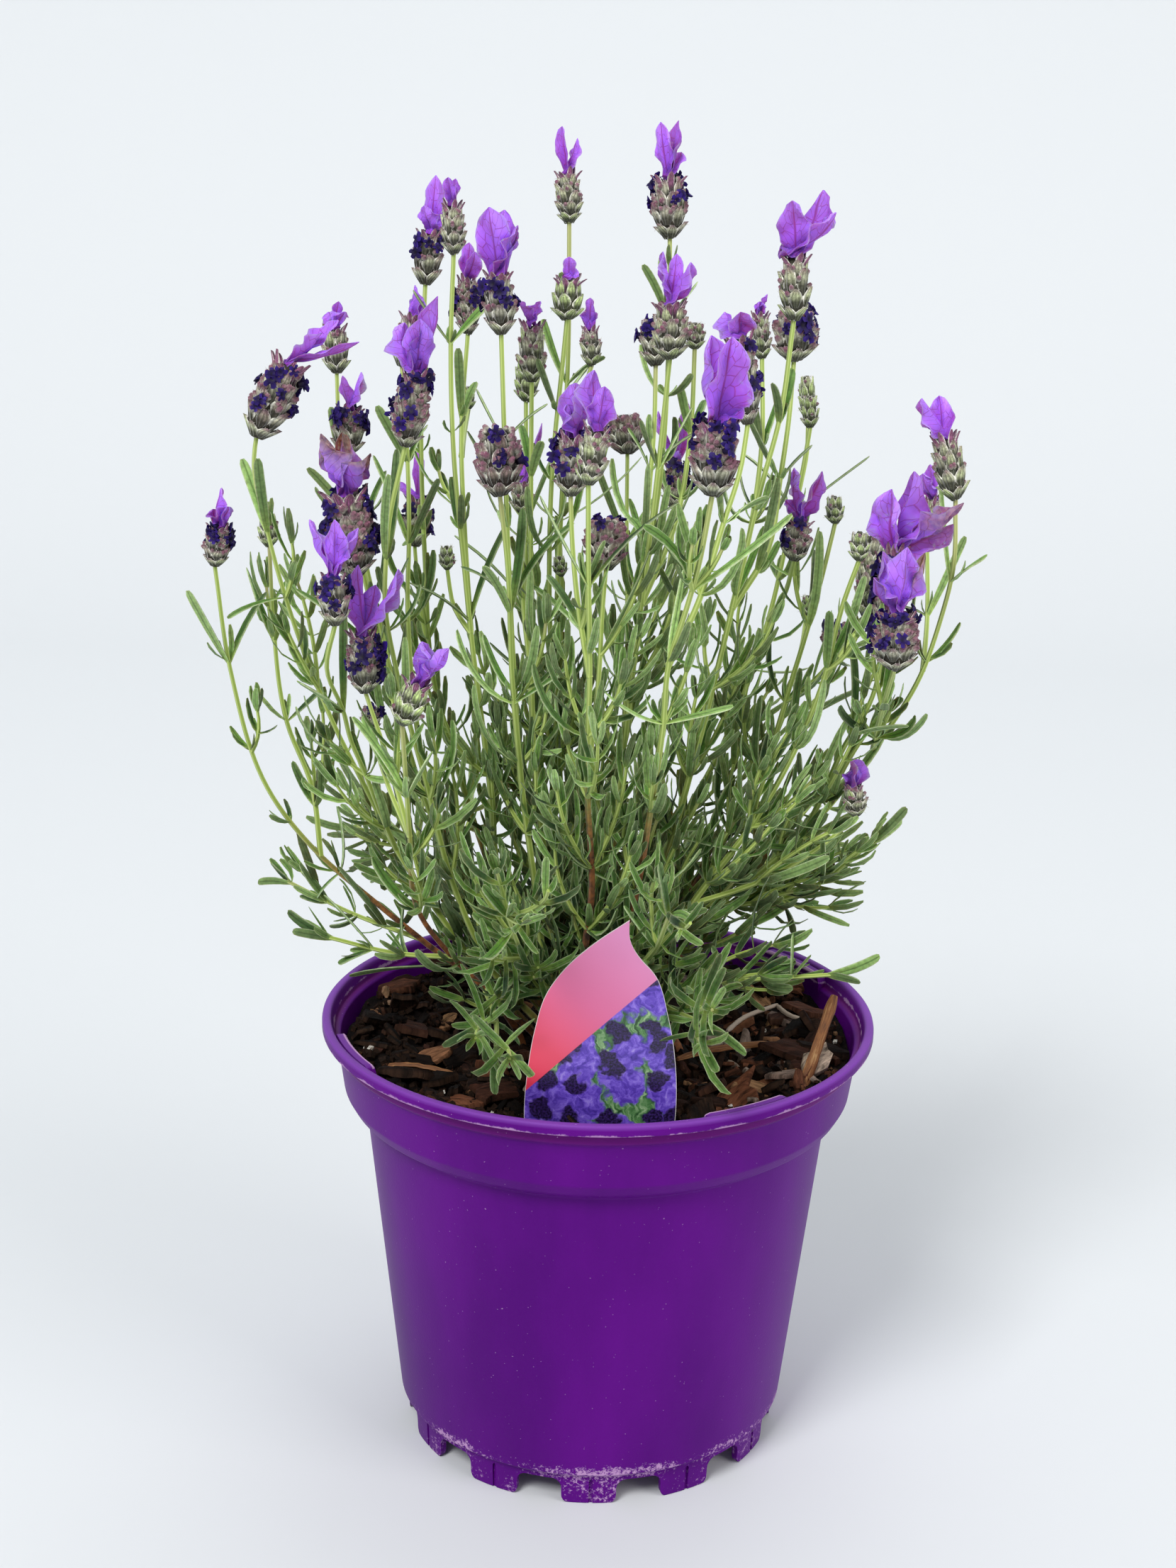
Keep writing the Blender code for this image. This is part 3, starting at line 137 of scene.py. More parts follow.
# Bark chips read on the reference view: across, down, length and width in mm, turn in degrees, tint
CHIPS = (
    (703, 1500, 17, 10, 20, 0.66), (560, 1530, 16, 8, -10, 0.35), (1005, 1530, 17, 11, 70, 0.55),
    (1060, 1545, 13, 8, 10, 0.82), (1115, 1495, 18, 10, -15, 0.50), (1170, 1495, 15, 9, 15, 0.30),
    (1165, 1440, 17, 9, -30, 0.58), (1080, 1400, 15, 8, 0, 0.20), (540, 1405, 14, 8, 10, 0.60),
    (520, 1450, 15, 8, 60, 0.25), (600, 1490, 14, 9, 15, 0.74), (700, 1345, 13, 8, 30, 0.40),
    (790, 1328, 14, 7, -20, 0.55), (870, 1335, 13, 8, 45, 0.30), (960, 1345, 13, 7, -35, 0.62),
    (612, 1528, 12, 7, 5, 0.15), (655, 1560, 14, 8, -20, 0.68), (1112, 1530, 12, 8, 30, 0.90),
    (1105, 1440, 12, 7, 50, 0.45), (1130, 1400, 13, 6, -10, 0.64), (585, 1455, 13, 8, -30, 0.50),
    (1040, 1440, 12, 7, 10, 0.72), (655, 1480, 12, 8, 40, 0.25), (1000, 1380, 12, 7, -25, 0.35),
    (620, 1370, 12, 7, 15, 0.55), (690, 1555, 15, 9, 10, 0.55), (770, 1580, 15, 8, -5, 0.62),
    (850, 1582, 13, 9, 25, 0.30), (905, 1575, 15, 9, -15, 0.76), (960, 1560, 14, 8, 20, 0.48))
STICKS = (((956, 1502), (1086, 1481), 2.0), ((548, 1512), (640, 1524), 1.6))
FORKS = (((1025, 1470), (1048, 1451), (1096, 1432)), ((1096, 1433), (1112, 1446), (1160, 1461)))
LEANING_STICK = ((56.0, -45.0, 116.0), (63.0, -31.0, 129.0), (71.5, -13.0, 147.0), 3.4)

# The bush's edge on the reference view: down, left and right
BUSH_EDGE = (
    (300, 560, 1150), (560, 440, 1200), (650, 330, 1390), (868, 255, 1375), (1072, 298, 1312),
    (1213, 372, 1250), (1297, 425, 1235), (1346, 455, 1205), (1410, 540, 1120), (1450, 600, 1060))

# The reference view in its own pixels, and the plant's measures
FRAME_LONG = 2212.0
VIEW_FOCAL = 3259.0
VIEW_MID = (829.5, 1106.0)
VIEW_EYE = (7.5, -665.6, 408.3)
VIEW_PITCH = 0.292
VIEW_YAW = -0.018
VIEW_ROLL = 0.020
SOIL_Z = 121.0
ROOT_DEPTH = 9.0
STEP = 4.0
STEM_R_LOW = 1.7
STEM_R_TOP = 0.85

# A stem shows its collar this far above the soil. A branch that climbs less on the view is level.
COLLAR = 2.0
LEVEL_BRANCH = 60
# Leaf pairs are tried at these turns about their stem, and tested at these shares of their length
PAIR_TWISTS = (0, 0.4, -0.4, 0.8, -0.8, 1.2, -1.2, 1.57, 0.2, -0.2, 0.6, -0.6)
PAIR_SHARES = (0.2, 0.36, 0.52, 0.68, 0.84, 1.0)
# Bracts belong to no stem: their owners are numbered from here
BRACT_OWNER = 100
# The bush is thinner left of here. Leaves above the high line are shorter, and so are those past its edge
THIN_SIDE = -26.0
HIGH_LEAF = 290.0
HIGH_SHRINK = 0.6
# How far above the soil line the bark lies that the view shows, and how far out mix and chips reach
BED_RISE = 4.5
BED_R = 76.8
# Leaves keep off the ring between these radii, and off the label's left, right and top
RIM_KEEP = (70.0, 92.0)
LABEL_KEEP = (-24.0, 27.0, 193.0)
# Heights above the soil: the bush is densest below the first, and sparse above the second
LOW_BUSH = 100
MIDDLE_BUSH = 135
# Shoots that start below this height above the soil hang
HANGING = 55.0
# Half the width of a woolly hair at its foot: thicker than real, so that it shows
HAIR_R = 0.085

# Flower heads: foot of the cone and top of the cone across and down on the reference view, depth
# behind the pot's axis in mm, cone width on the view, 1 where dark florets are open, tips of the
# purple bracts (across, down, extra depth), bract width in mm.
HEADS = {
    "h01": (945, 335, 943, 252, 25, 48, 1, ((958, 170, 2), (932, 172, -2), (962, 215, 5)), 6.0),
    "h02": (803, 313, 800, 245, 30, 38, 0, ((793, 178, 0), (815, 195, 2)), 4.5),
    "h03": (600, 400, 607, 330, 10, 42, 1, ((615, 247, 0), (622, 285, 3), (598, 290, -3)), 6.0),
    "h04": (640, 357, 638, 290, -5, 36, 0, ((632, 250, -2), (643, 252, 2)), 4.0),
    "h05": (707, 470, 702, 388, -25, 46, 1, ((690, 292, -4), (712, 296, 4), (731, 318, -1)), 10.0),
    "h06": (660, 470, 660, 395, 15, 36, 1, ((662, 342, 0), (670, 355, -3)), 5.5),
    "h07": (572, 628, 587, 530, -35, 50, 1, ((618, 418, -2), (570, 455, 2), (593, 450, -5)), 8.5),
    "h08": (567, 515, 583, 448, 0, 40, 0, ((585, 402, 0), (594, 420, 3)), 5.0),
    "h09": (362, 615, 408, 515, -20, 60, 1, ((507, 483, -4), (478, 452, 3), (455, 470, -1)), 5.5),
    "h10": (475, 525, 473, 465, 15, 40, 0, ((478, 425, 0), (486, 440, -3), (463, 440, 3)), 5.5),
    "h11": (490, 640, 493, 580, 5, 46, 1, ((510, 525, 0), (483, 530, -2)), 4.5),
    "h12": (500, 812, 487, 700, -25, 74, 1, ((452, 612, -2), (482, 610, 3), (523, 640, -4)), 10.0),
    "h13": (473, 880, 470, 815, -48, 46, 1, ((436, 733, 0), (472, 733, -3), (506, 745, 1)), 6.0),
    "h14": (515, 975, 512, 895, -40, 50, 1, ((505, 797, 0), (562, 803, -2), (530, 825, 4)), 7.0),
    "h15": (567, 1020, 590, 965, -60, 50, 0, ((595, 905, 0), (633, 915, -2)), 10.0),
    "h16": (523, 1032, 523, 997, -30, 30, 1, (), 0),
    "h17": (303, 798, 309, 745, -10, 38, 1, ((312, 688, 0), (323, 715, -2), (300, 718, 2)), 6.5),
    "h18": (380, 770, 377, 725, 10, 32, 0, (), 0),
    "h19": (585, 770, 589, 705, 28, 42, 1, ((590, 635, 0), (564, 680, 2)), 4.0),
    "h20": (631, 803, 630, 770, 0, 24, 0, (), 0),
    "h21": (661, 577, 660, 545, 40, 20, 0, (), 0),
    "h22": (705, 697, 702, 605, -40, 66, 1, (), 0),
    "h23": (735, 722, 738, 680, 12, 32, 0, ((765, 597, 0), (742, 640, 2)), 4.0),
    "h24": (750, 538, 750, 460, 0, 42, 0, ((733, 425, -1), (763, 425, 1)), 5.0),
    "h25": (742, 565, 743, 505, 25, 36, 0, (), 0),
    "h26": (800, 450, 802, 395, -10, 46, 0, ((803, 362, 0), (812, 378, 2)), 4.0),
    "h27": (835, 515, 832, 465, 20, 30, 0, ((833, 420, 0), (827, 437, 2)), 5.5),
    "h28": (945, 505, 946, 430, -15, 52, 0, ((935, 355, 0), (955, 358, 3), (975, 370, -2)), 6.0),
    "h29": (925, 515, 921, 450, 14, 42, 1, (), 0),
    "h30": (980, 492, 980, 455, 38, 30, 0, (), 0),
    "h31": (1005, 697, 1012, 600, -70, 68, 1, ((1003, 473, 0), (1033, 475, -6), (1047, 545, 4)), 11.5),
    "h32": (1055, 597, 1043, 475, -22, 44, 1, ((1022, 440, 1), (1045, 440, -2)), 7.5),
    "h33": (1075, 505, 1072, 445, 30, 30, 0, ((1083, 415, 0), (1072, 425, -1)), 3.5),
    "h34": (1120, 450, 1122, 362, -20, 46, 0,
            ((1118, 283, -2), (1162, 268, 4), (1180, 300, -3), (1102, 345, 2)), 9.5),
    "h35": (1120, 508, 1123, 440, 15, 62, 1, (), 0),
    "h36": (1140, 590, 1138, 530, 62, 26, 0, (), 0),
    "h37": (1143, 603, 1142, 560, 42, 26, 0, (), 0),
    "h38": (1120, 790, 1128, 737, 10, 42, 1, ((1120, 660, 0), (1160, 665, -3), (1108, 705, 3)), 7.5),
    "h39": (1178, 738, 1177, 700, 20, 28, 0, (), 0),
    "h40": (1212, 790, 1213, 750, -18, 30, 0, (), 0),
    "h41": (1222, 868, 1232, 755, 22, 42, 0, (), 0),
    "h42": (1348, 703, 1332, 618, 10, 46, 0, ((1300, 562, 0), (1325, 558, 3)), 7.5),
    "h43": (1308, 772, 1315, 705, 50, 30, 0, ((1312, 655, 0), (1302, 668, -2)), 6.5),
    "h44": (1245, 932, 1260, 780, -14, 46, 1,
            ((1290, 665, 1), (1360, 710, -4), (1345, 740, 3), (1258, 690, -2)), 11.0),
    "h45": (1262, 942, 1265, 868, -44, 66, 1,
            ((1245, 778, 2), (1280, 772, -4), (1305, 780, 3), (1232, 815, -1)), 8.5),
    "h46": (1180, 928, 1180, 882, 45, 44, 1, (), 0),
    "h47": (1137, 868, 1140, 840, 48, 20, 0, (), 0),
    "h48": (1208, 1150, 1204, 1110, -10, 36, 0, ((1202, 1070, 0), (1208, 1085, -2)), 7.0),
    "h50": (805, 697, 808, 615, -46, 50, 1, ((812, 540, 2), (830, 540, -1), (800, 570, 0)), 9.0),
    "h51": (830, 682, 842, 605, -68, 46, 0, ((838, 522, 1), (853, 545, -2)), 7.0),
    "h52": (950, 715, 953, 655, 42, 36, 1, ((928, 580, 1), (945, 640, -3), (967, 563, 0)), 5.5),
    "h53": (885, 640, 880, 585, 56, 54, 1, (), 0),
    "h54": (855, 800, 855, 735, -12, 64, 1, (), 0),
    "h55": (792, 812, 788, 785, 12, 22, 0, (), 0),
}

# Leafy stems: where each stands in the soil (mm), then its branches. A branch names its flower
# head, or the tip of a leafy shoot (across, down, depth), the branch it grows from, and points
# along it on the reference view from below upwards.
STEMS = {
    "lavender_stem_01": ((-15, -13), (
        ("h15", None, ((690, 1400), (648, 1360), (590, 1285), (578, 1180), (573, 1110))),
        ("h14", 0, ((578, 1180), (556, 1100))),
        ("h16", 0, ((578, 1180), (548, 1110))),
        ((462, 1322, -35), 0, ((640, 1350), (560, 1345))),
        ((700, 1480, -62), 0, ((690, 1400), (700, 1440))))),
    "lavender_stem_02": ((-23, -3), (
        ("h17", None, ((700, 1410), (600, 1330), (520, 1265), (450, 1205), (385, 1125), (325, 945))),
        ("h18", 0, ((450, 1205), (440, 1110), (405, 1020), (385, 870))),
        ((405, 1243, 5), 0, ((600, 1330), (500, 1290))))),
    "lavender_stem_03": ((-17, -5), (
        ("h09", None, ((700, 1400), (620, 1290), (560, 1200), (520, 1120), (470, 1020), (420, 895),
                       (375, 740), (358, 650))),
        ("h13", 0, ((560, 1200), (530, 1130), (500, 1040), (485, 960))))),
    "lavender_stem_04": ((-13, 3), (
        ("h12", None, ((730, 1380), (650, 1250), (600, 1130), (560, 1000), (520, 880))),
        ("h11", 0, ((560, 1000), (540, 900), (505, 740))),
        ("h10", 0, ((560, 1000), (530, 880), (490, 700), (478, 600))),
        ((520, 1130, 60), 0, ((650, 1250), (580, 1190))))),
    "lavender_stem_05": ((-8, -19), (
        ("h07", None, ((700, 1380), (640, 1250), (600, 1100), (560, 950), (540, 820), (548, 740))),
        ("h08", 0, ((600, 1100), (585, 1000), (575, 850), (577, 760), (575, 650), (570, 560))))),
    "lavender_stem_06": ((-8, -8), (
        ("h04", None, ((740, 1380), (705, 1250), (690, 1100), (665, 900), (655, 800), (640, 640),
                       (636, 480))),
        ("h06", 0, ((665, 900), (656, 760), (651, 600))),
        ("h21", 1, ((651, 640), (656, 605))),
        ("h20", 0, ((665, 900), (642, 860))))),
    "lavender_stem_07": ((-7, 8), (
        ("h03", None, ((745, 1370), (700, 1250), (650, 1100), (610, 950), (600, 800), (594, 600),
                       (598, 450))),
        ("h19", 0, ((610, 950), (592, 850))),
        ((640, 1190, 85), 0, ((745, 1370), (680, 1290))))),
    "lavender_stem_08": ((0, -24), (
        ("h05", None, ((775, 1390), (755, 1250), (735, 1100), (725, 950), (714, 700), (711, 600))),
        ("h22", 0, ((735, 1100), (722, 950), (716, 800))),
        ((715, 1290, -78), 0, ((775, 1390), (740, 1350))))),
    "lavender_stem_09": ((-1, -1), (
        ("h24", None, ((790, 1380), (775, 1250), (755, 1100), (750, 950), (749, 700))),
        ("h25", 0, ((755, 1100), (745, 900), (742, 700))),
        ("h23", 0, ((750, 950), (738, 850), (736, 780))))),
    "lavender_stem_10": ((2, 10), (
        ("h02", None, ((805, 1370), (800, 1250), (790, 1100), (785, 900), (795, 650), (802, 480))),
        ("h26", 0, ((790, 1100), (775, 850), (780, 650), (795, 500))),
        ("h27", 1, ((780, 650), (815, 570))),
        ("h55", 0, ((785, 900), (792, 860))),
        ((800, 1180, 88), 0, ((805, 1370), (800, 1270))))),
    "lavender_stem_11": ((8, -24), (
        ("h51", None, ((825, 1400), (835, 1250), (828, 1100), (832, 950), (830, 800))),
        ("h50", 0, ((832, 950), (815, 850), (807, 760))),
        ("h54", 0, ((828, 1100), (845, 950), (850, 860))))),
    "lavender_stem_12": ((8, 1), (
        ("h28", None, ((850, 1370), (860, 1250), (880, 1050), (905, 850), (925, 690))),
        ("h01", 0, ((880, 1050), (905, 850), (935, 640), (944, 450))),
        ("h29", 0, ((905, 850), (915, 700), (923, 600))),
        ("h30", 0, ((905, 850), (955, 730), (975, 600))),
        ("h52", 0, ((880, 1050), (915, 900), (945, 790))),
        ("h53", 0, ((880, 1050), (885, 900), (884, 760))))),
    "lavender_stem_13": ((15, -18), (
        ("h31", None, ((860, 1390), (895, 1270), (920, 1130), (935, 1030), (945, 930), (965, 870),
                       (985, 800))),
        ("h32", 0, ((945, 930), (985, 850), (1020, 740), (1045, 660))),
        ((945, 1290, -74), 0, ((860, 1390), (915, 1350))))),
    "lavender_stem_14": ((16, -7), (
        ("h34", None, ((880, 1370), (930, 1240), (985, 1050), (1035, 850), (1073, 690), (1100, 590))),
        ("h35", 0, ((1035, 850), (1085, 770), (1100, 680), (1113, 590))),
        ("h33", 0, ((1035, 850), (1060, 740), (1075, 620))))),
    "lavender_stem_15": ((14, 11), (
        ("h37", None, ((880, 1350), (940, 1200), (1020, 1050), (1085, 870), (1115, 740), (1133, 660))),
        ("h36", 0, ((1115, 740), (1130, 680), (1138, 640))),
        ("h38", 0, ((1085, 870), (1108, 835))),
        ((930, 1190, 84), 0, ((880, 1350), (905, 1270))))),
    "lavender_stem_16": ((23, 4), (
        ("h39", None, ((900, 1370), (980, 1250), (1070, 1100), (1120, 950), (1150, 850), (1168, 780))),
        ("h47", 0, ((1120, 950), (1132, 905))),
        ("h46", 0, ((1070, 1100), (1130, 1010), (1168, 965))),
        ((1110, 1180, 62), 0, ((980, 1250), (1050, 1220))))),
    "lavender_stem_17": ((26, -6), (
        ("h42", None, ((900, 1390), (1010, 1280), (1130, 1180), (1230, 1060), (1300, 950), (1325, 880),
                       (1345, 800))),
        ("h43", 0, ((1300, 950), (1308, 870))),
        ("h45", 0, ((1230, 1060), (1245, 1000))),
        ("h44", 0, ((1130, 1180), (1190, 1060), (1230, 985))),
        ((1235, 1185, 0), 0, ((1010, 1280), (1130, 1260))))),
    "lavender_stem_18": ((23, -17), (
        ("h40", None, ((900, 1390), (980, 1270), (1070, 1150), (1130, 1040), (1160, 965), (1190, 850))),
        ("h41", 0, ((1160, 965), (1195, 910))),
        ("h48", 0, ((980, 1270), (1080, 1240), (1170, 1185))),
        ((1175, 1375, -30), 0, ((900, 1390), (1020, 1385))),
        ((985, 1440, -60), 0, ((880, 1400), (940, 1420))))),
}


def unit(v):
    """Return the vector at length one."""
    v = np.asarray(v, float)
    return v / max(np.linalg.norm(v), 1e-9)


def cross_ways(way, hint):
    """Return two directions square to a way and to one another."""
    one = unit(np.cross(way, hint))
    return one, np.cross(way, one)


def bow(start, middle, end, t):
    """Return the place at a share of a curve that leaves start towards middle and comes to end."""
    return (1 - t) ** 2 * start + 2 * t * (1 - t) * middle + t * t * end


def view_axes():
    """Return the forward, right and up directions of the reference view."""
    cp, sp = np.cos(VIEW_PITCH), np.sin(VIEW_PITCH)
    cy, sy = np.cos(VIEW_YAW), np.sin(VIEW_YAW)
    forward = np.array([sy * cp, cy * cp, -sp])
    right = np.array([cy, -sy, 0.0])
    up = np.cross(right, forward)
    cr, sr = np.cos(VIEW_ROLL), np.sin(VIEW_ROLL)
    return forward, cr * right + sr * up, -sr * right + cr * up


def sight_ray(across, down):
    """Return the way from the camera to a place on the reference view."""
    forward, right, up = view_axes()
    return forward + (across - VIEW_MID[0]) / VIEW_FOCAL * right + (VIEW_MID[1] - down) / VIEW_FOCAL * up


def sight(across, down, depth):
    """Return the point in mm seen at a place on the reference view, at a depth behind the axis."""
    ray, eye = sight_ray(across, down), np.array(VIEW_EYE)
    return eye + ray * (depth - eye[1]) / ray[1]


def smooth_line(points, step):
    """Return a smooth curve through the points, at an even step."""
    pts = np.array(points, float)
    span = np.maximum(np.linalg.norm(np.diff(pts, axis=0), axis=1), 1e-6)
    slope = np.diff(pts, axis=0) / span[:, None]
    lean = np.vstack([slope[:1], slope[-1:]]) if len(pts) == 2 else np.vstack([
        slope[:1],
        (span[:-1, None] * slope[1:] + span[1:, None] * slope[:-1]) / (span[:-1] + span[1:])[:, None],
        slope[-1:]])
    dense = []
    for k in range(len(span)):
        for t in np.linspace(0, 1, 12, endpoint=False):
            ease = 3 * t ** 2 - 2 * t ** 3
            near, far = t ** 3 - 2 * t ** 2 + t, t ** 3 - t ** 2
            dense.append((1 - ease) * pts[k] + ease * pts[k + 1]
                         + span[k] * (near * lean[k] + far * lean[k + 1]))
    dense.append(pts[-1])
    dense = np.array(dense)
    run = np.concatenate([[0], np.cumsum(np.linalg.norm(np.diff(dense, axis=0), axis=1))])
    count = max(2, int(round(run[-1] / step)) + 1)
    at = np.linspace(0, run[-1], count)
    return np.column_stack([np.interp(at, run, dense[:, k]) for k in range(3)])


def head_frame(name):
    """Return the foot, top and radius of a head's cone in mm."""
    bu, bv, tu, tv, depth, width = HEADS[name][:6]
    foot = sight(bu, bv, depth)
    size = np.linalg.norm(sight(tu, tv, depth) - foot)
    lean = 0.12 * depth / 60.0 * size
    top = sight(tu, tv, depth + lean)
    radius = 0.5 * width * (foot[1] - VIEW_EYE[1]) / VIEW_FOCAL * 0.98
    return foot, top, radius


def bract_lines(name):
    """Return each bract of a head: root, middle, tip and the way its back faces."""
    foot, top, _ = head_frame(name)
    axis = unit(top - foot)
    lines = []
    root = top + axis * 0.9
    for k, (tu, tv, extra) in enumerate(HEADS[name][7]):
        tip = sight(tu, tv, top[1] + extra)
        reach = tip - root
        along = unit(reach)
        out = reach - axis * float(reach @ axis)
        out = out + np.array([0.0, 0.35 * (1 if extra > 0 else -1), 0.0]) * abs(extra)
        out = out + np.array([0.0, -0.5 if extra <= 0 else 0.5, 0.0])
        out = unit(out - along * float(out @ along))
        middle = root + reach * 0.5 + out * (0.10 * np.linalg.norm(reach) + 0.35 * k)
        lines.append((root, middle, tip, out))
    return lines


def build_branches():
    """Return each leafy stem's branches as lists of points from below upwards."""
    plants = {}
    for stem, (root, rows) in STEMS.items():
        lines = []
        for end, parent, marks in rows:
            tip = head_frame(end)[0] if isinstance(end, str) else sight(*end)
            if parent is None:
                points = [np.array([*root, SOIL_Z - ROOT_DEPTH]), np.array([*root, SOIL_Z + COLLAR])]
            else:
                fork, marks = marks[0], marks[1:]
                points = [min(lines[parent][2:-2], key=lambda p: np.hypot(*(np.array(project(p)) - fork)))]
            low = points[-1]
            (low_across, low_down), (tip_across, tip_down) = project(low), project(tip)
            for across, down in marks:
                share = min(max((low_down - down) / (low_down - tip_down), 0.02), 0.98) ** 0.85
                if abs(low_down - tip_down) < LEVEL_BRANCH:
                    share = (across - low_across) / (tip_across - low_across)
                points.append(sight(across, down, low[1] + (tip[1] - low[1]) * share))
            lines.append(smooth_line([*points, tip], STEP))
        plants[stem] = lines
    return plants


def project(p):
    """Return where a point in mm falls on the reference view."""
    forward, right, up = view_axes()
    d = np.asarray(p, float) - np.array(VIEW_EYE)
    scale = VIEW_FOCAL / (d @ forward)
    return VIEW_MID[0] + scale * (d @ right), VIEW_MID[1] - scale * (d @ up)


def stem_radius(plant_rows, index, share):
    """Return a branch's radius at a share of its length."""
    low = STEM_R_LOW if plant_rows[index][1] is None else 1.25
    return low + (STEM_R_TOP - low) * share


def head_balls(name):
    """Return balls that fill a head's cone and its bracts: centre, radius, and 1 for a bract."""
    foot, top, radius = head_frame(name)
    length = np.linalg.norm(top - foot)
    count = max(3, int(length / 4) + 1)
    reach = radius * (1.42 if HEADS[name][6] else 1.18)
    balls = [(foot + (top - foot) * t, reach, 0) for t in np.linspace(0.12, 0.9, count)]
    width = HEADS[name][8]
    for root, middle, tip, _ in bract_lines(name):
        for t in np.linspace(0.1, 1.0, 6):
            reach = 0.5 * width * np.sin(np.pi * min(max(t, 0.12), 0.85)) ** 0.6 + 0.3
            balls.append((bow(root, middle, tip, t), reach, 1))
    return balls


def settle(plants):
    """Bend branches of neighbouring stems clear of one another and of the heads."""
    names = list(plants)
    node, rad = np.array([
        (k, stem_radius(STEMS[stem][1], b, i / (len(line) - 1)))
        for k, stem in enumerate(names) for b, line in enumerate(plants[stem]) for i in range(len(line))]).T
    ball_p, ball_r, ball_n = (np.array(column) for column in zip(*(
        (p, r, BRACT_OWNER + int(end[1:]) if kind else k)
        for k, stem in enumerate(names) for end, _, _ in STEMS[stem][1] if isinstance(end, str)
        for p, r, kind in head_balls(end))))
    for _ in range(14):
        pos = np.concatenate([line for stem in names for line in plants[stem]])
        move = np.zeros_like(pos)
        for other, reach, whose, slack, push in (
                (pos, rad, node, 1.6, 0.35), (ball_p, ball_r, ball_n, 1.4, 0.6)):
            gap = pos[:, None, :] - other[None, :, :]
            dist = np.sqrt((gap ** 2).sum(2)) + 1e-9
            need = rad[:, None] + reach[None, :] + slack
            short = np.where((node[:, None] != whose[None, :]) & (dist < need), need - dist, 0.0)
            move += push * (gap / dist[:, :, None] * short[:, :, None]).sum(1)
        at = 0
        for stem in names:
            for (end, parent, _), line in zip(STEMS[stem][1], plants[stem]):
                m = move[at:at + len(line)].copy()
                at += len(line)
                hold = 5 if parent is None else 1
                flower = isinstance(end, str)
                m[:hold] = 0
                if flower:
                    m[-2:] = 0
                for _ in range(6):
                    m[1:-1] = 0.25 * m[:-2] + 0.5 * m[1:-1] + 0.25 * m[2:]
                    m[:hold] = 0
                    if flower:
                        m[-1:] = 0
                line += m * 1.6
                line[hold + 3:, 2] = np.maximum(line[hold + 3:, 2], SOIL_Z + 4)
        for stem in names:
            for (_, parent, _), line in zip(STEMS[stem][1], plants[stem]):
                if parent is not None:
                    host = plants[stem][parent]
                    k = int(np.argmin(np.linalg.norm(host - line[0], axis=1)))
                    fade = np.linspace(1, 0, min(8, len(line)))[:, None]
                    line[:len(fade)] += (host[k] - line[0]) * fade
    return plants


def leaf_curve(leaf, shares):
    """Return points along a leaf, which bends from its stem's direction outwards."""
    p, along, side, size, _, start, end = leaf
    points = []
    here = np.array(p, float)
    last = 0.0
    for t in shares:
        bend = start + (end - start) * 0.5 * (t + last)
        here = here + (along * np.cos(bend) + side * np.sin(bend)) * size * (t - last)
        last = t
        points.append(here.copy())
    return points


def leaf_pairs(plants):
    """Return every stem's leaves, in crossed pairs at its joints: joint number and leaf."""
    rng = np.random.default_rng(17)
    sites = {}
    for stem, lines in plants.items():
        rows = []
        for b, line in enumerate(lines):
            end, parent, _ = STEMS[stem][1][b]
            flower = isinstance(end, str)
            length = STEP * (len(line) - 1)
            spin = rng.uniform(0, np.pi)
            at = length - (rng.uniform(24, 36) if flower else 1.5)
            low = 26.0 if parent is None else 10.0
            joint = 0
            while at > low:
                k = min(at / STEP, len(line) - 1.001)
                i = int(k)
                p = line[i] + (line[i + 1] - line[i]) * (k - i)
                along = unit(line[min(i + 2, len(line) - 1)] - line[max(i - 1, 0)])
                one, two = cross_ways(along, (0.31, 0.95, 0.1))
                side = np.cos(spin) * one + np.sin(spin) * two
                height = (p[2] - SOIL_Z) / 200.0
                for sign in (1, -1):
                    size = rng.uniform(21, 33) if flower else rng.uniform(15, 27)
                    size = size * (0.85 if height < 0.15 else 1.0)
                    start = rng.uniform(0.35, 0.7) if flower else rng.uniform(0.45, 0.8)
                    turn = rng.uniform(-0.1, 0.75)
                    if not flower and joint == 0:
                        start, turn = 0.2, 0.25
                    leaf = (p, along, side * sign, size, rng.uniform(2.7, 3.4), start, start + turn)
                    rows.append((joint, b, leaf))
                at -= rng.uniform(19, 29) if flower else rng.uniform(9, 14)
                spin += np.pi / 2 + rng.uniform(-0.25, 0.25)
                joint += 1
        sites[stem] = rows
    return sites


def off_limits(p, margin):
    """Tell whether a point comes too near the soil, the pot's rim or the plant label."""
    near_rim = RIM_KEEP[0] < np.hypot(p[0], p[1]) < RIM_KEEP[1] and p[2] < RIM_Z + 3.5 + margin
    label_left, label_right, label_top = LABEL_KEEP
    near_label = (abs(p[1] - LABEL_Y) < 3.0 + margin and label_left < p[0] < label_right
                  and p[2] < label_top)
    return p[2] < SOIL_Z + 6.0 + margin or near_rim or near_label


def fit_pair(leaves, owner, taken):
    """Return a pair of leaves turned about its stem until it is clear of the rest, and take its place."""
    cloud, reach, whose = (np.array(column) for column in zip(*taken))
    near, need = cloud[whose != owner], reach[whose != owner]
    for attempt, twist in enumerate(PAIR_TWISTS):
        shrink = 1.0 if attempt < 8 else 0.78
        pair = [(p, along, np.cos(twist) * side + np.sin(twist) * np.cross(along, side), size * shrink, *rest)
                for p, along, side, size, *rest in leaves]
        spots = [p for leaf in pair for p in leaf_curve(leaf, PAIR_SHARES)]
        if any(off_limits(p, 1.5) for p in spots):
            continue
        width = pair[-1][4]
        if min(np.min(np.linalg.norm(near - p, axis=1) - need) for p in spots) > 0.5 * width + 0.5:
            taken += [(p, 0.5 * width + 0.3, owner) for p in spots]
            return pair
    return None


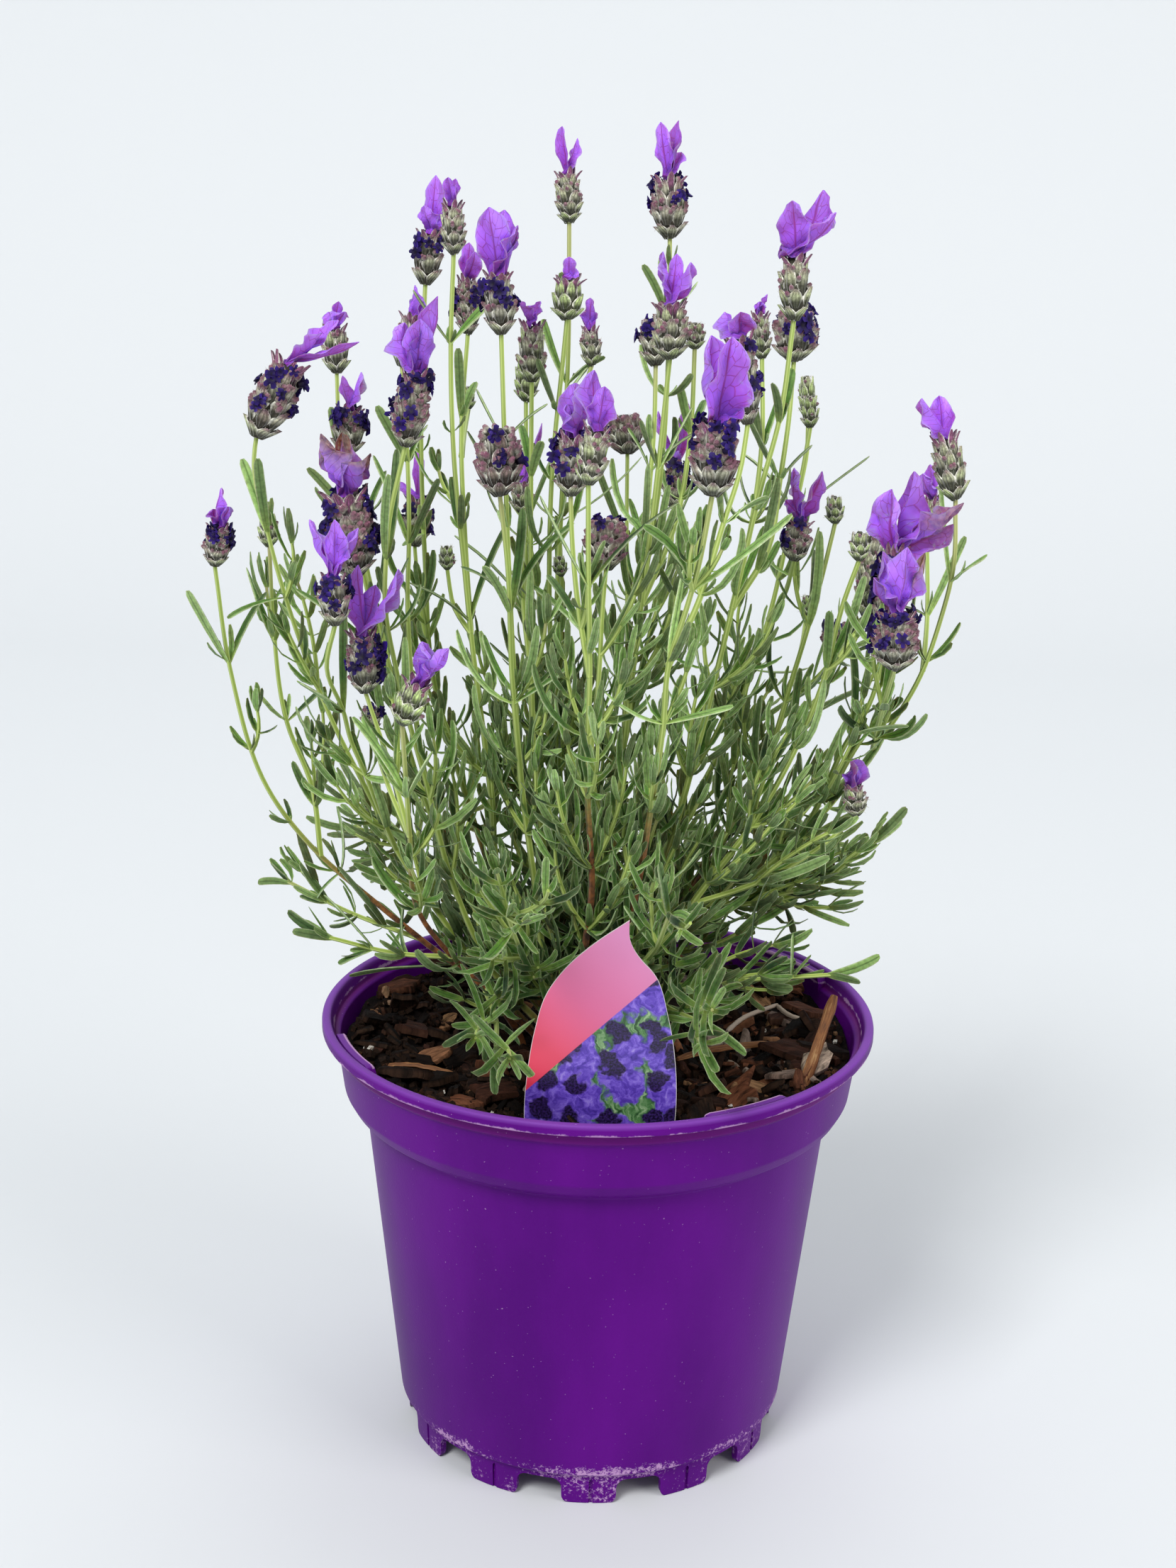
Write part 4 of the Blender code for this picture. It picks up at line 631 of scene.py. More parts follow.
def place_leaves(plants, sites):
    """Return the leaf pairs that the solids show, bent clear of everything, and all the others."""
    names = list(plants)
    taken = []
    for k, stem in enumerate(names):
        rows = STEMS[stem][1]
        for b, line in enumerate(plants[stem]):
            taken += [(p, stem_radius(rows, b, i / (len(line) - 1)) + 0.5, k) for i, p in enumerate(line)]
        taken += [(p, r, BRACT_OWNER if kind else k)
                  for end, _, _ in rows if isinstance(end, str) for p, r, kind in head_balls(end)]
    kept, spare = ({stem: [] for stem in names} for _ in range(2))
    order = []
    for k, stem in enumerate(names):
        for n in range(0, len(sites[stem]), 2):
            joint = sites[stem][n][0]
            order.append((0 if joint == 0 else 1 + (joint * 7 + n * 5 + k * 3) % 11, k, n))
    total = 0
    for _, k, n in sorted(order):
        leaves = [row[2] for row in sites[names[k]][n:n + 2]]
        pair = fit_pair(leaves, k, taken) if total < LEAF_PAIRS else None
        total += pair is not None
        (kept if pair else spare)[names[k]].append(pair or leaves)
    return kept, spare


def linear(text):
    """Turn an sRGB hex colour into linear red, green and blue."""
    parts = [int(text[i:i + 2], 16) / 255 for i in (1, 3, 5)]
    return tuple(p / 12.92 if p <= 0.04045 else ((p + 0.055) / 1.055) ** 2.4 for p in parts)


def to_frame(points):
    """Turn points in mm about the pot's axis into the frame's metres."""
    return np.asarray(points, float) * MM + AXIS_SHIFT


def seat(obj, slot, *nodes):
    """Let a piece ride on the part and hide the solids that it stands for; the slot is not used."""
    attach(obj, "root")
    if nodes:
        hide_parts(*nodes)


def smoothstep(low, high, value):
    """Rise smoothly from 0 at low to 1 at high."""
    t = np.clip((np.asarray(value, float) - low) / (high - low), 0.0, 1.0)
    return t * t * (3.0 - 2.0 * t)


def put(name, data, group=None):
    """Return a new object in a collection, or else in the scene."""
    obj = bpy.data.objects.new(name, data)
    (group or bpy.context.scene.collection).objects.link(obj)
    return obj


def turn_outwards(mesh, merge=0.0):
    """Turn a mesh's faces outwards, after merging points that are closer than a distance."""
    form = bmesh.new()
    form.from_mesh(mesh)
    if merge:
        bmesh.ops.remove_doubles(form, verts=form.verts, dist=merge)
    bmesh.ops.recalc_face_normals(form, faces=form.faces)
    form.to_mesh(mesh)
    form.free()


def loft_faces(rings, spots):
    """Return the faces of a closed loft of rings, with a cap at each end."""
    caps = [tuple(range(spots - 1, -1, -1)), tuple(range(spots * (rings - 1), spots * rings))]
    return caps + [
        (spots * i + j, spots * i + (j + 1) % spots, spots * (i + 1) + (j + 1) % spots, spots * (i + 1) + j)
        for i in range(rings - 1) for j in range(spots)]


class Pile:
    """Gathers one piece's points in mm, its faces and four marks for each point.

    The marks are read by the materials: place across, place along, a random tint, and one more that
    each material has its own use for.
    """

    def __init__(self):
        self.points = []
        self.faces = []
        self.marks = []
        self.count = 0

    def add(self, points, faces, across, along, tint, extra):
        """Add a closed form."""
        points = np.asarray(points, float).reshape(-1, 3)
        marks = np.empty((len(points), 4))
        for column, values in enumerate((across, along, tint, extra)):
            marks[:, column] = values
        self.points.append(points)
        self.marks.append(marks)
        self.faces += [tuple(i + self.count for i in face) for face in faces]
        self.count += len(points)

    def loft(self, rings, across, along, tint, extra):
        """Add a closed loft, with marks for each ring and spot."""
        n, m = rings.shape[:2]
        across = np.broadcast_to(across, (n, m)).ravel()
        along = np.broadcast_to(np.asarray(along, float)[:, None], (n, m)).ravel()
        extra = np.broadcast_to(extra, (n, m)).ravel()
        self.add(rings, loft_faces(n, m), across, along, tint, extra)

    def piece(self, name, material, slot, *nodes):
        """Make the object, smooth where its faces meet gently."""
        mesh = bpy.data.meshes.new(name)
        mesh.from_pydata(to_frame(np.concatenate(self.points)).tolist(), [], self.faces)
        marks = mesh.attributes.new("marks", "FLOAT_COLOR", "POINT")
        marks.data.foreach_set("color", np.concatenate(self.marks).astype(np.float32).ravel())
        turn_outwards(mesh)
        mesh.shade_smooth()
        mesh.set_sharp_from_angle(angle=math.radians(50))
        mesh.materials.append(material)
        seat(put(name, mesh), slot, *nodes)


def carried_frames(line):
    """Return the direction and two cross directions along a line, carried along without twist."""
    line = np.asarray(line, float)
    run = np.gradient(line, axis=0)
    run /= np.linalg.norm(run, axis=1)[:, None] + 1e-12
    side = unit(np.cross(run[0], (0.31, 0.95, 0.1)))
    sides = []
    for t in run:
        side = unit(side - t * float(side @ t))
        sides.append(side)
    sides = np.array(sides)
    return run, sides, np.cross(run, sides)


def tube_rings(line, radii, spots, square=0.0):
    """Return the rings of a round or slightly square stem along a line."""
    line = np.asarray(line, float)
    _, one, two = carried_frames(line)
    a = np.arange(spots) * math.tau / spots
    shape = 1.0 + square * np.cos(4 * a)
    ring = (one[:, None] * (np.cos(a) * shape)[None, :, None]
            + two[:, None] * (np.sin(a) * shape)[None, :, None])
    return line[:, None] + ring * np.asarray(radii, float)[:, None, None]


def sheet_rings(line, across, out, half, xs, ys):
    """Return rings across a line: xs as shares of the half width, ys in mm outwards."""
    return (line[:, None] + across[:, None] * (half[:, None] * xs)[:, :, None]
            + out[:, None] * ys[:, :, None])


def thin_section(columns, rings, rise, thick):
    """Return xs and ys of a thin sheet: its front from edge to edge, then its back."""
    front = np.linspace(-1.0, 1.0, columns)
    xs = np.concatenate([front, front[-2:0:-1]])
    ys = np.concatenate([rise, rise[:, -2:0:-1] - np.asarray(thick, float)[:, None]], axis=1)
    return np.broadcast_to(xs, (rings, len(xs))), ys


# How far in metres leaves may reach past the solids' box
BOX_MARGIN = 0.008

# Leaf sections: fine ones for the larger leaves, plainer ones for the small leaves. Rows: shares of the
# length and the width there, then places across, their rise, and 1 for the upper side.
FINE_LEAF = (
    (0.0, 0.06, 0.18, 0.34, 0.52, 0.70, 0.85, 0.95, 1.0),
    (0.42, 0.56, 0.78, 0.92, 1.0, 1.0, 0.96, 0.82, 0.42),
    (-1.0, -0.84, -0.42, 0.0, 0.42, 0.84, 1.0, 0.55, 0.0, -0.55),
    (-0.40, 0.06, 0.22, -0.20, 0.22, 0.06, -0.40, -0.38, -0.66, -0.38),
    (0.5, 1.0, 1.0, 1.0, 1.0, 1.0, 0.5, 0.0, 0.0, 0.0))
PLAIN_LEAF = (
    (0.0, 0.22, 0.55, 0.85, 1.0),
    (0.50, 0.86, 1.0, 0.92, 0.44),
    (-1.0, -0.5, 0.0, 0.5, 1.0, 0.0),
    (-0.26, 0.18, -0.12, 0.18, -0.26, -0.50),
    (0.6, 1.0, 1.0, 1.0, 0.6, 0.0))


def inside_bush(p, margin=0.0):
    """Tell whether a point lies within the bush's edge on the reference view and near the solids."""
    place = to_frame(p)[:2]
    low, high = (np.array(corner)[:2] for corner in CAD_BOX)
    if (place < low - BOX_MARGIN).any() or (place > high + BOX_MARGIN).any():
        return False
    across, down = project(p)
    rows = np.array(BUSH_EDGE).T
    return np.interp(down, rows[0], rows[1]) + margin < across < np.interp(down, rows[0], rows[2]) - margin


def buried(p):
    """Tell whether a point lies in the mix."""
    return math.hypot(p[0], p[1]) < 80.0 and p[2] < soil_height(p[0], p[1]) + 1.0


def add_leaf(pile, leaf, rng, section=FINE_LEAF, lift=0.0):
    """Add one narrow leaf with rolled edges, a groove above, a rib below and a blunt, lifted tip."""
    p, along, side, size, width, start, end = leaf
    shares, widths, xs, ys, upper = (np.array(row) for row in section)
    line = np.array(leaf_curve(leaf, shares))
    bend = (start + (end - start) * shares)[:, None]
    face = along * np.sin(bend) - side * np.cos(bend)
    across = np.broadcast_to(unit(np.cross(along, side)), face.shape)
    turn = (rng.normal(0, 0.45) * shares)[:, None]
    across, face = np.cos(turn) * across + np.sin(turn) * face, np.cos(turn) * face - np.sin(turn) * across
    line = line + across * (rng.normal(0, 0.09) * size * shares ** 2)[:, None]
    line[:, 2] += lift * size * shares ** 2.2
    ys = np.broadcast_to(ys * width / 3.0, (len(shares), len(ys)))
    rings = sheet_rings(line, across, face, 0.5 * width * widths, xs, ys * np.clip(widths, 0.35, 1)[:, None])
    # Leaves low inside the bush are drawn darkest: older leaves there, and painted shade of the bush's
    # interior
    fresh_and_lit = smoothstep(20.0, 120.0, math.hypot(p[0], p[1]) + 0.7 * (p[2] - SOIL_Z))
    pile.loft(rings, xs, shares, rng.uniform(0.0, 0.25 + 0.75 * fresh_and_lit), upper)


def keep_leaves(plants, sites):
    """Return the pairs that the solids show, and the rest where there is room, bent out and then up."""
    kept, spare = place_leaves(plants, sites)
    rng = np.random.default_rng(17)
    more = {stem: [] for stem in plants}
    for stem, pairs in spare.items():
        for p, along, side, size, width, start, end in (leaf for pair in pairs for leaf in pair):
            high = p[2] - SOIL_Z
            if p[0] < THIN_SIDE and p[2] > SOIL_Z + 25.0 and rng.uniform() < 0.5:
                continue
            # High leaves turn up at the tip, and more of the low ones hang
            hanging = 0.52 - 0.30 * float(smoothstep(30.0, 130.0, high))
            start = rng.uniform(0.75 + 0.4 * hanging, 1.35 + 0.4 * hanging)
            end = rng.uniform(-0.2, 0.6) if rng.uniform() > hanging else start + rng.uniform(-0.1, 0.8)
            broad = 1.22 - 0.27 * float(smoothstep(40.0, 130.0, high))
            leaf = (p, along, side, size * rng.uniform(0.65, 0.9), width * rng.uniform(0.8, 1.0) * broad,
                    start, end)
            spots = leaf_curve(leaf, (0.2, 0.5, 0.8, 1.0))
            if inside_bush(spots[-1]) and not any(off_limits(q, 0.8) or buried(q) for q in spots):
                more[stem].append(leaf)
    return kept, more


def small_leaf(p, along, side, spread, size, width, rng):
    """Return a small leaf at a joint, turned about the stem by a spread."""
    side = math.cos(spread) * side + math.sin(spread) * np.cross(along, side)
    start = rng.uniform(0.6, 1.35)
    return p + along * rng.uniform(0.0, 1.2), along, side, size, width, start, rng.uniform(-0.2, 0.7)


def side_shoot(p, along, side, length, rng):
    """Return a short leafy shoot's line and its leaves, which stand close and upright."""
    lean = rng.uniform(0.55, 1.05)
    line = [np.array(p, float)]
    for t in np.linspace(0.0, 1.0, 7)[1:]:
        bend = lean * (1.0 - 0.8 * t)
        line.append(line[-1] + (along * math.cos(bend) + side * math.sin(bend)) * length / 6)
    line = np.array(line)
    run, one, two = carried_frames(line)
    leaves = []
    count = max(2, int(length / 5.2))
    spin = rng.uniform(0, math.pi)
    for k in range(1, count + 1):
        t = k / count * 6 * 0.98
        i = min(int(t), 5)
        q = line[i] + (line[i + 1] - line[i]) * (t - i)
        top = k == count
        for arm in range(4 if top else 2):
            a = spin + arm * math.pi * (0.5 if top else 1.0)
            d = math.cos(a) * one[i] + math.sin(a) * two[i]
            start = rng.uniform(0.25, 0.6) if top else rng.uniform(0.7, 1.25)
            size = rng.uniform(5, 10) if top else rng.uniform(8, 15)
            end = start - rng.uniform(0.2, 0.6) if top else rng.uniform(-0.1, 0.7)
            width = rng.uniform(1.9, 2.7)
            if q[2] < SOIL_Z + HANGING:
                # The lowest shoots hang and have long, broad leaves that turn up at the tip
                size, width, start = size * 1.45, width * 1.05, start + 0.45
            leaves.append((q, run[i], d, size, width, start, end))
        spin += math.pi / 2 + rng.uniform(-0.3, 0.3)
    return line, leaves


def fill_joints(plants, sites):
    """Return each stem's small leaves and short side shoots, which make the bush full."""
    rng = np.random.default_rng(29)
    balls = [ball for head in HEADS for ball in head_balls(head)]
    centres = np.array([ball[0] for ball in balls])
    reach = np.array([ball[1] for ball in balls]) + 0.8
    shoots, smalls = ({stem: [] for stem in plants} for _ in range(2))

    def clear(points, margin=0.0):
        """Tell whether points keep clear of the pot, soil, label and every head, inside the bush."""
        if not inside_bush(points[-1], margin) or any(off_limits(p, 0.6) or buried(p) for p in points):
            return False
        gaps = np.linalg.norm(np.asarray(points)[:, None] - centres, axis=2) - reach
        return gaps.min() > 0

    for stem, rows in sites.items():
        for _, _, (p, along, side, *_) in rows:
            height = p[2] - SOIL_Z
            low = height < 125
            for _ in range(2 if low else 1):
                small = small_leaf(p, along, side, rng.uniform(-0.9, 0.9), rng.uniform(5, 12 if low else 9),
                                   rng.uniform(1.7, 2.4), rng)
                if clear(leaf_curve(small, (0.5, 1.0))):
                    smalls[stem].append(small)
            chance = 0.9 if height < LOW_BUSH else (0.7 if height < MIDDLE_BUSH else 0.16)
            if p[0] < THIN_SIDE and height > 25.0:
                chance *= 0.4
            for _ in range(2 if height < LOW_BUSH else 1):
                if rng.uniform() > 0.8 * chance:
                    continue
                turned_side = unit(side + 0.7 * rng.normal(0, 1) * np.cross(along, side))
                length = rng.uniform(12, 34 if height < MIDDLE_BUSH else 18)
                line, leaves = side_shoot(p, along, turned_side, length, rng)
                if clear(line, 75.0 if height > 60 else 40.0):
                    shoots[stem].append(line)
                    smalls[stem] += [item for item in leaves if clear(leaf_curve(item, (0.5, 1.0)))]
    return shoots, smalls


def add_stem(pile, line, radii, woody, rng, spots=8):
    """Add a square-cornered green stem, woody up to a height."""
    fine = smooth_line(line, 3.0) if len(line) > 3 else np.asarray(line, float)
    share = np.linspace(0, 1, len(fine))
    size = np.interp(share, np.linspace(0, 1, len(radii)), radii)
    rings = tube_rings(fine, size, spots, 0.08 if spots == 8 else 0.0)
    wood = 1.0 - smoothstep(woody - 25.0, woody + 20.0, fine[:, 2])
    pile.loft(rings, np.arange(spots) / spots, share, rng.uniform(), np.repeat(wood[:, None], spots, axis=1))


SCALE_T = np.array((0.0, 0.28, 0.56, 0.80, 0.93, 1.0))
SCALE_W = np.array((0.62, 0.98, 0.96, 0.58, 0.26, 0.04))
SCALE_X = np.array((-1.0, -0.5, 0.0, 0.5, 1.0))
SCALE_THICK = np.array((0.9, 0.8, 0.6, 0.45, 0.3, 0.2))
GREEN_HEADS = ("h15", "h18", "h20", "h21", "h25", "h26", "h36", "h37", "h39", "h40", "h47", "h55")
SPENT_HEADS = ("h22", "h46", "h53", "h54")
WITHERED = {"h12": (0.9, 0.95, 0.9, 0.9), "h44": (0.1, 0.75, 0.4, 0.1), "h45": (0.2, 0.1, 0.95, 0.1)}


def head_swell(t):
    """Return the share of its full radius that a cone has at a share of its height: an egg, blunt above."""
    if t < 0.38:
        return math.sqrt(max(0.0, 1.0 - ((0.38 - t) / 0.42) ** 2))
    return 1.0 - 0.40 * ((t - 0.38) / 0.62) ** 1.7


class Cone:
    """One flower head's cone: where it stands, how big it is and how ripe."""

    def __init__(self, head):
        self.foot, self.top, self.radius = head_frame(head)
        self.axis = unit(self.top - self.foot)
        self.length = float(np.linalg.norm(self.top - self.foot))
        self.one, self.two = cross_ways(self.axis, (0.2, 1.0, 0.3))
        self.blooming = HEADS[head][6] == 1
        self.spent = head in SPENT_HEADS
        self.tufted = len(HEADS[head][7]) > 0
        self.ripe = 0.74 if self.blooming else 0.42
        if head in GREEN_HEADS:
            self.ripe = 0.0
        if self.spent:
            self.ripe = 0.95

    def around(self, z):
        """Return the cone's radius at a height along it."""
        past = max(0.0, z / self.length - 1.0)
        return self.radius * head_swell(min(z / self.length, 1.0)) * math.sqrt(max(0.06, 1 - past * 3))

    def out(self, a):
        """Return the direction away from the axis at an angle."""
        return self.one * math.cos(a) + self.two * math.sin(a)

    def at(self, radial, angle, z):
        """Return points of the cone in mm, one row for each height."""
        return (self.foot + self.axis * z[:, None, None] + self.one * (np.cos(angle) * radial)[:, :, None]
                + self.two * (np.sin(angle) * radial)[:, :, None])


def add_scale(pile, cone, a0, z0, height, half, flare, tint, ripe):
    """Add one pointed scale that hugs its cone, its tip bent out by the flare."""
    z = z0 + SCALE_T * height
    around = np.maximum(np.array([cone.around(max(v, 0.0)) for v in z]), 0.35 * cone.radius)
    xs = SCALE_X[None, :]
    a = a0 + xs * (half * SCALE_W / around)[:, None]
    lift = 0.76 + 0.30 * SCALE_T + flare * np.clip(SCALE_T - 0.5, 0, 1) ** 1.4
    r = around[:, None] * (lift[:, None] - 0.18 * xs ** 2 + 0.06 * (1 - np.abs(xs)))
    r = np.concatenate([r, r[:, 3:0:-1] - SCALE_THICK[:, None]], axis=1)
    a = np.concatenate([a, a[:, 3:0:-1]], axis=1)
    rings = cone.at(r, a, z)
    pile.loft(rings, np.concatenate([SCALE_X, SCALE_X[3:0:-1]]), SCALE_T, tint, ripe)
    return rings[3, 2], rings[4, 0], rings[4, 4]


def add_floret(pile, centre, facing, size, tint, rng):
    """Add one dark floret: five crumpled round lobes about a sunken throat, on a short tube."""
    one, two = cross_ways(facing, (0.3, 0.9, 0.4))
    spots = 20
    a = np.arange(spots) * math.tau / spots
    petal = 0.44 + 0.56 * np.abs(np.cos(2.5 * a)) ** 0.45 * np.repeat(rng.uniform(0.7, 1.1, 5), 4)
    ripple = np.repeat(rng.uniform(-0.7, 0.7, 5), 4) + rng.uniform(-0.12, 0.12, spots)
    a = a + rng.uniform(0, math.tau)
    direction = one * np.cos(a)[:, None] + two * np.sin(a)[:, None]
    rim = centre + direction * (size * petal)[:, None] + facing * (ripple - 0.35 * petal)[:, None]
    inner, under, tube = (centre + direction * share * size + facing * rise
                          for share, rise in ((0.42, 0.25), (0.38, -0.55), (0.28, -2.2)))
    points = np.concatenate([inner, rim, under, tube, [centre - facing * 0.4]])
    faces = [tuple(range(4 * spots - 1, 3 * spots - 1, -1))]
    for j in range(spots):
        k = (j + 1) % spots
        faces += [(4 * spots, j, k), *((i + j, i + spots + j, i + spots + k, i + k)
                                       for i in range(0, 3 * spots, spots))]
    along = np.repeat((0.4, 1.0, 0.3, 0.0, 0.0), (spots, spots, spots, spots, 1))
    pile.add(points, faces, 0.0, along, tint, 0.0)


def add_calyx(pile, start, direction, length, radius, tint, ripe):
    """Add one small hairy calyx, a blunt ribbed tube that shows between the scales."""
    line = start + direction * np.linspace(0, 1, 4)[:, None] * length
    rings = tube_rings(line, radius * np.array((0.7, 1.0, 0.95, 0.5)), 6)
    pile.loft(rings, 0.0, np.array((0.2, 0.6, 0.9, 1.0)), tint, ripe)


def add_hair(pile, base, direction, length, rng):
    """Add one fine hair, a thin spike of four faces."""
    one, two = cross_ways(direction, rng.normal(0, 1, 3))
    foot = base - 0.5 * one * HAIR_R
    points = [base + one * HAIR_R, foot + two * HAIR_R, foot - two * HAIR_R, base + direction * length]
    pile.add(points, [(0, 2, 1), (0, 1, 3), (1, 2, 3), (2, 0, 3)], 0.0, (0, 0, 0, 1), rng.uniform(), 0.0)


def add_cone(cones, florets, hairs, head):
    """Add a flower head's cone: core, rows of scales, small calyces, florets and woolly hairs."""
    rng = np.random.default_rng(int(head[1:]) + 300)
    cone = Cone(head)
    radius, length, axis, ripe = cone.radius, cone.length, cone.axis, cone.ripe
    core = cone.foot + axis * np.linspace(0.0, 1.0, 8)[:, None] * length
    thickness = [0.74 * radius * head_swell(t) for t in np.linspace(0.02, 1, 8)]
    thickness[-1] *= 0.5
    cones.loft(tube_rings(core, thickness, 10), 0.0, np.full(8, 0.1), 0.5, ripe + 0.3)
    rows = max(3, int(round(length / (4.1 if radius > 4 else 3.0))))
    per_row = 7 if radius > 6.0 else (6 if radius > 4.5 else 5)
    columns = rng.uniform(0, math.tau) + np.array((0.0, 1.9, 3.7))
    step = 0.94 * length / (rows + 0.6)
    for row in range(rows):
        for k in range(per_row):
            a0 = math.tau * (k + 0.5 * (row % 2)) / per_row + rng.normal(0, 0.09)
            z0 = (row - 0.05) * step + rng.normal(0, 0.2)
            around = cone.around(max(z0 + 0.8 * step, 0.0))
            half = 0.62 * math.tau * around / per_row * rng.uniform(0.85, 1.05)
            local = ripe + rng.normal(0, 0.12)
            if row == 0 and 0.2 < ripe < 0.9:
                local -= 0.2
            flare = rng.uniform(-0.02, 0.22) + (0.35 if row >= rows - 2 and ripe > 0.1 else 0.0)
            # The lowest rows show their whole length, so their scales are shorter
            height = min(step * rng.uniform(1.75, 2.15) * (0.62, 0.80, 1.0)[min(row, 2)], length * 0.99 - z0)
            tip, left, right = add_scale(cones, cone, a0, z0, height, half, flare, rng.uniform(), local)
            radial = cone.out(a0)
            for spot in (tip, left, right, left, right, left, right):
                lean = unit(radial * rng.uniform(0.2, 1.0) + axis * rng.uniform(-0.2, 1.0)
                            + rng.normal(0, 0.45, 3))
                add_hair(hairs, spot - radial * 0.1, lean, rng.uniform(0.5, 1.3), rng)
            if not (ripe > 0.1 and row > 0 or rng.uniform() < 0.2):
                continue
            for _ in range(3 if cone.blooming or cone.spent else 1):
                a1 = a0 + math.pi / per_row * rng.choice((-1.0, 1.0)) * rng.uniform(0.4, 1.0)
                out = cone.out(a1)
                z1 = min(z0 + step * rng.uniform(0.8, 1.7), length * 0.97)
                around = cone.around(z1)
                way = unit(out * 0.75 + axis * rng.uniform(0.4, 0.95))
                start = cone.foot + axis * z1 + out * around * 0.70
                size = rng.uniform(0.42, 0.58) * around
                add_calyx(cones, start, way, size, 0.13 * radius + 0.2, rng.uniform(), rng.uniform(1.6, 2.1))
                for _ in range(3):
                    add_hair(hairs, start + way * size * rng.uniform(0.4, 1.0),
                             unit(way + rng.normal(0, 0.7, 3)), rng.uniform(0.6, 1.4), rng)
                near = np.cos(a1 - columns).max() > 0.86
                if cone.blooming and rng.uniform() < (0.45 if near else 0.05) * (0.4 if cone.spent else 1.0):
                    facing = unit(out + axis * 0.25 + rng.normal(0, 0.3, 3))
                    add_floret(florets, start + way * (size + 0.9), facing,
                               rng.uniform(1.9, 2.9) * min(1.0, radius / 4.5), rng.uniform(), rng)
    if cone.tufted:
        count = 8 if radius > 4.5 else 6
        for k in range(count):
            a0 = math.tau * k / count + rng.normal(0, 0.15)
            add_scale(cones, cone, a0, length * 0.70, rng.uniform(0.28, 0.40) * length + 0.8, 0.32 * radius,
                      rng.uniform(1.5, 2.9), rng.uniform(), 1.5)


def add_petal(pile, line_of, width, wither, rng):
    """Add one thin violet bract: narrow at its root, widest past the middle, creased along its length."""
    root, middle, tip, out = line_of
    root = root - unit(middle - root) * 1.6
    rings, columns = 15, 9
    t = np.linspace(0, 1, rings)
    line = bow(root, middle, tip, t[:, None])
    run, _, _ = carried_frames(line)
    across = np.broadcast_to(unit(np.cross(tip - root, out)), line.shape)
    outs = np.cross(across, run)
    outs *= np.sign(outs @ out)[:, None]
    phase = rng.uniform(0, math.tau, 6)
    widest = rng.uniform(0.44, 0.62)
    body = 0.42 + 0.58 * smoothstep(-0.05, widest, t)
    end = np.clip(1.0 - (np.clip(t - widest, 0, 1) / (1.0 - widest)) ** 2.1, 0.0, 1.0) ** 0.74
    shrink = 1.0 - 0.45 * wither * smoothstep(0.3, 0.9, t)
    half = 0.5 * width * np.maximum(body * end, 0.04) * shrink * (
        1 + 0.09 * np.sin(11 * t + phase[0]) + 0.04 * np.sin(25 * t + phase[5]))
    xs = np.linspace(-1, 1, columns)[None, :]
    tt = t[:, None]
    trough = rng.choice((-1.0, 1.0)) * rng.uniform(0.2, 0.75)
    rise = half[:, None] * (
        trough * np.abs(xs) ** 1.6
        + rng.uniform(0.16, 0.32) * np.sin(rng.uniform(3.5, 6.5) * xs + phase[1] + 2.0 * tt)
        + 0.32 * np.abs(xs) ** 2 * np.sin(2 * math.pi * rng.uniform(1.6, 2.8) * tt + phase[2] + 2.0 * xs)
        + 0.10 * np.sin(11 * tt + phase[3]) * np.cos(5 * xs + phase[4]))
    rise = rise + half[:, None] * wither * 0.5 * np.sin(6 * xs + 8 * tt + phase[5])
    rise = (rise - 0.30 * np.exp(-(xs / 0.16) ** 2) * (1 - tt)) * smoothstep(0.0, 0.2, tt)
    xs, ys = thin_section(columns, rings, rise, np.interp(t, (0, 0.3, 1), (0.8, 0.32, 0.2)))
    brown = wither * smoothstep(0.35, 0.85, tt + 0.15 * np.sin(5 * xs + phase[3]))
    pile.loft(sheet_rings(line, across, outs, half, xs, ys), xs, t, rng.uniform(), brown)


def rounded(profile, rounding):
    """Return a profile with its corners turned into arcs."""
    points = [np.array(profile[0], float)]
    for before, corner, after, radius in zip(profile, profile[1:], profile[2:], rounding[1:]):
        corner = np.array(corner, float)
        one, two = np.array(before) - corner, np.array(after) - corner
        size_one, size_two = np.linalg.norm(one), np.linalg.norm(two)
        one, two = one / size_one, two / size_two
        half = 0.5 * math.acos(float(np.clip(one @ two, -1, 1)))
        cut = min(radius / math.tan(half), 0.45 * size_one, 0.45 * size_two)
        start, end = corner + one * cut, corner + two * cut
        steps = 3 if radius < 1.5 else 5
        for t in np.linspace(0, 1, steps + 1):
            points.append(bow(start, corner, end, t))
    points.append(np.array(profile[-1], float))
    return points


def turned(name, profile, steps):
    """Return a turned solid in mm about the pot's axis, with the profile run from axis to axis."""
    mesh = bpy.data.meshes.new(name)
    edges = [(i, i + 1) for i in range(len(profile) - 1)]
    mesh.from_pydata([(r * MM, 0.0, z * MM) for r, z in profile], edges, [])
    obj = put(name, mesh)
    screw = obj.modifiers.new("Turn", "SCREW")
    for key, value in {"angle": math.tau, "steps": steps, "render_steps": steps, "use_merge_vertices": True,
                       "merge_threshold": 0.00001, "use_normal_calculate": True}.items():
        setattr(screw, key, value)
    return settle_modifiers(obj)


def settle_modifiers(obj):
    """Apply an object's modifiers and turn its faces outwards."""
    graph = bpy.context.evaluated_depsgraph_get()
    mesh = bpy.data.meshes.new_from_object(obj.evaluated_get(graph))
    turn_outwards(mesh, 0.000002)
    obj.modifiers.clear()
    obj.data = mesh
    return obj


def finish_turned(obj, material, slot, node):
    """Move a turned piece to the pot's axis, and give it its material and its place on the part."""
    obj.data.transform(Matrix.Translation(Vector(AXIS_SHIFT)))
    obj.data.shade_smooth()
    obj.data.materials.clear()
    obj.data.materials.append(material)
    seat(obj, slot, node)


def solid(name, points, faces, group):
    """Return a plain solid in mm, for joining or cutting."""
    mesh = bpy.data.meshes.new(name)
    mesh.from_pydata((np.asarray(points, float) * MM).tolist(), [], faces)
    turn_outwards(mesh)
    return put(name, mesh, group)


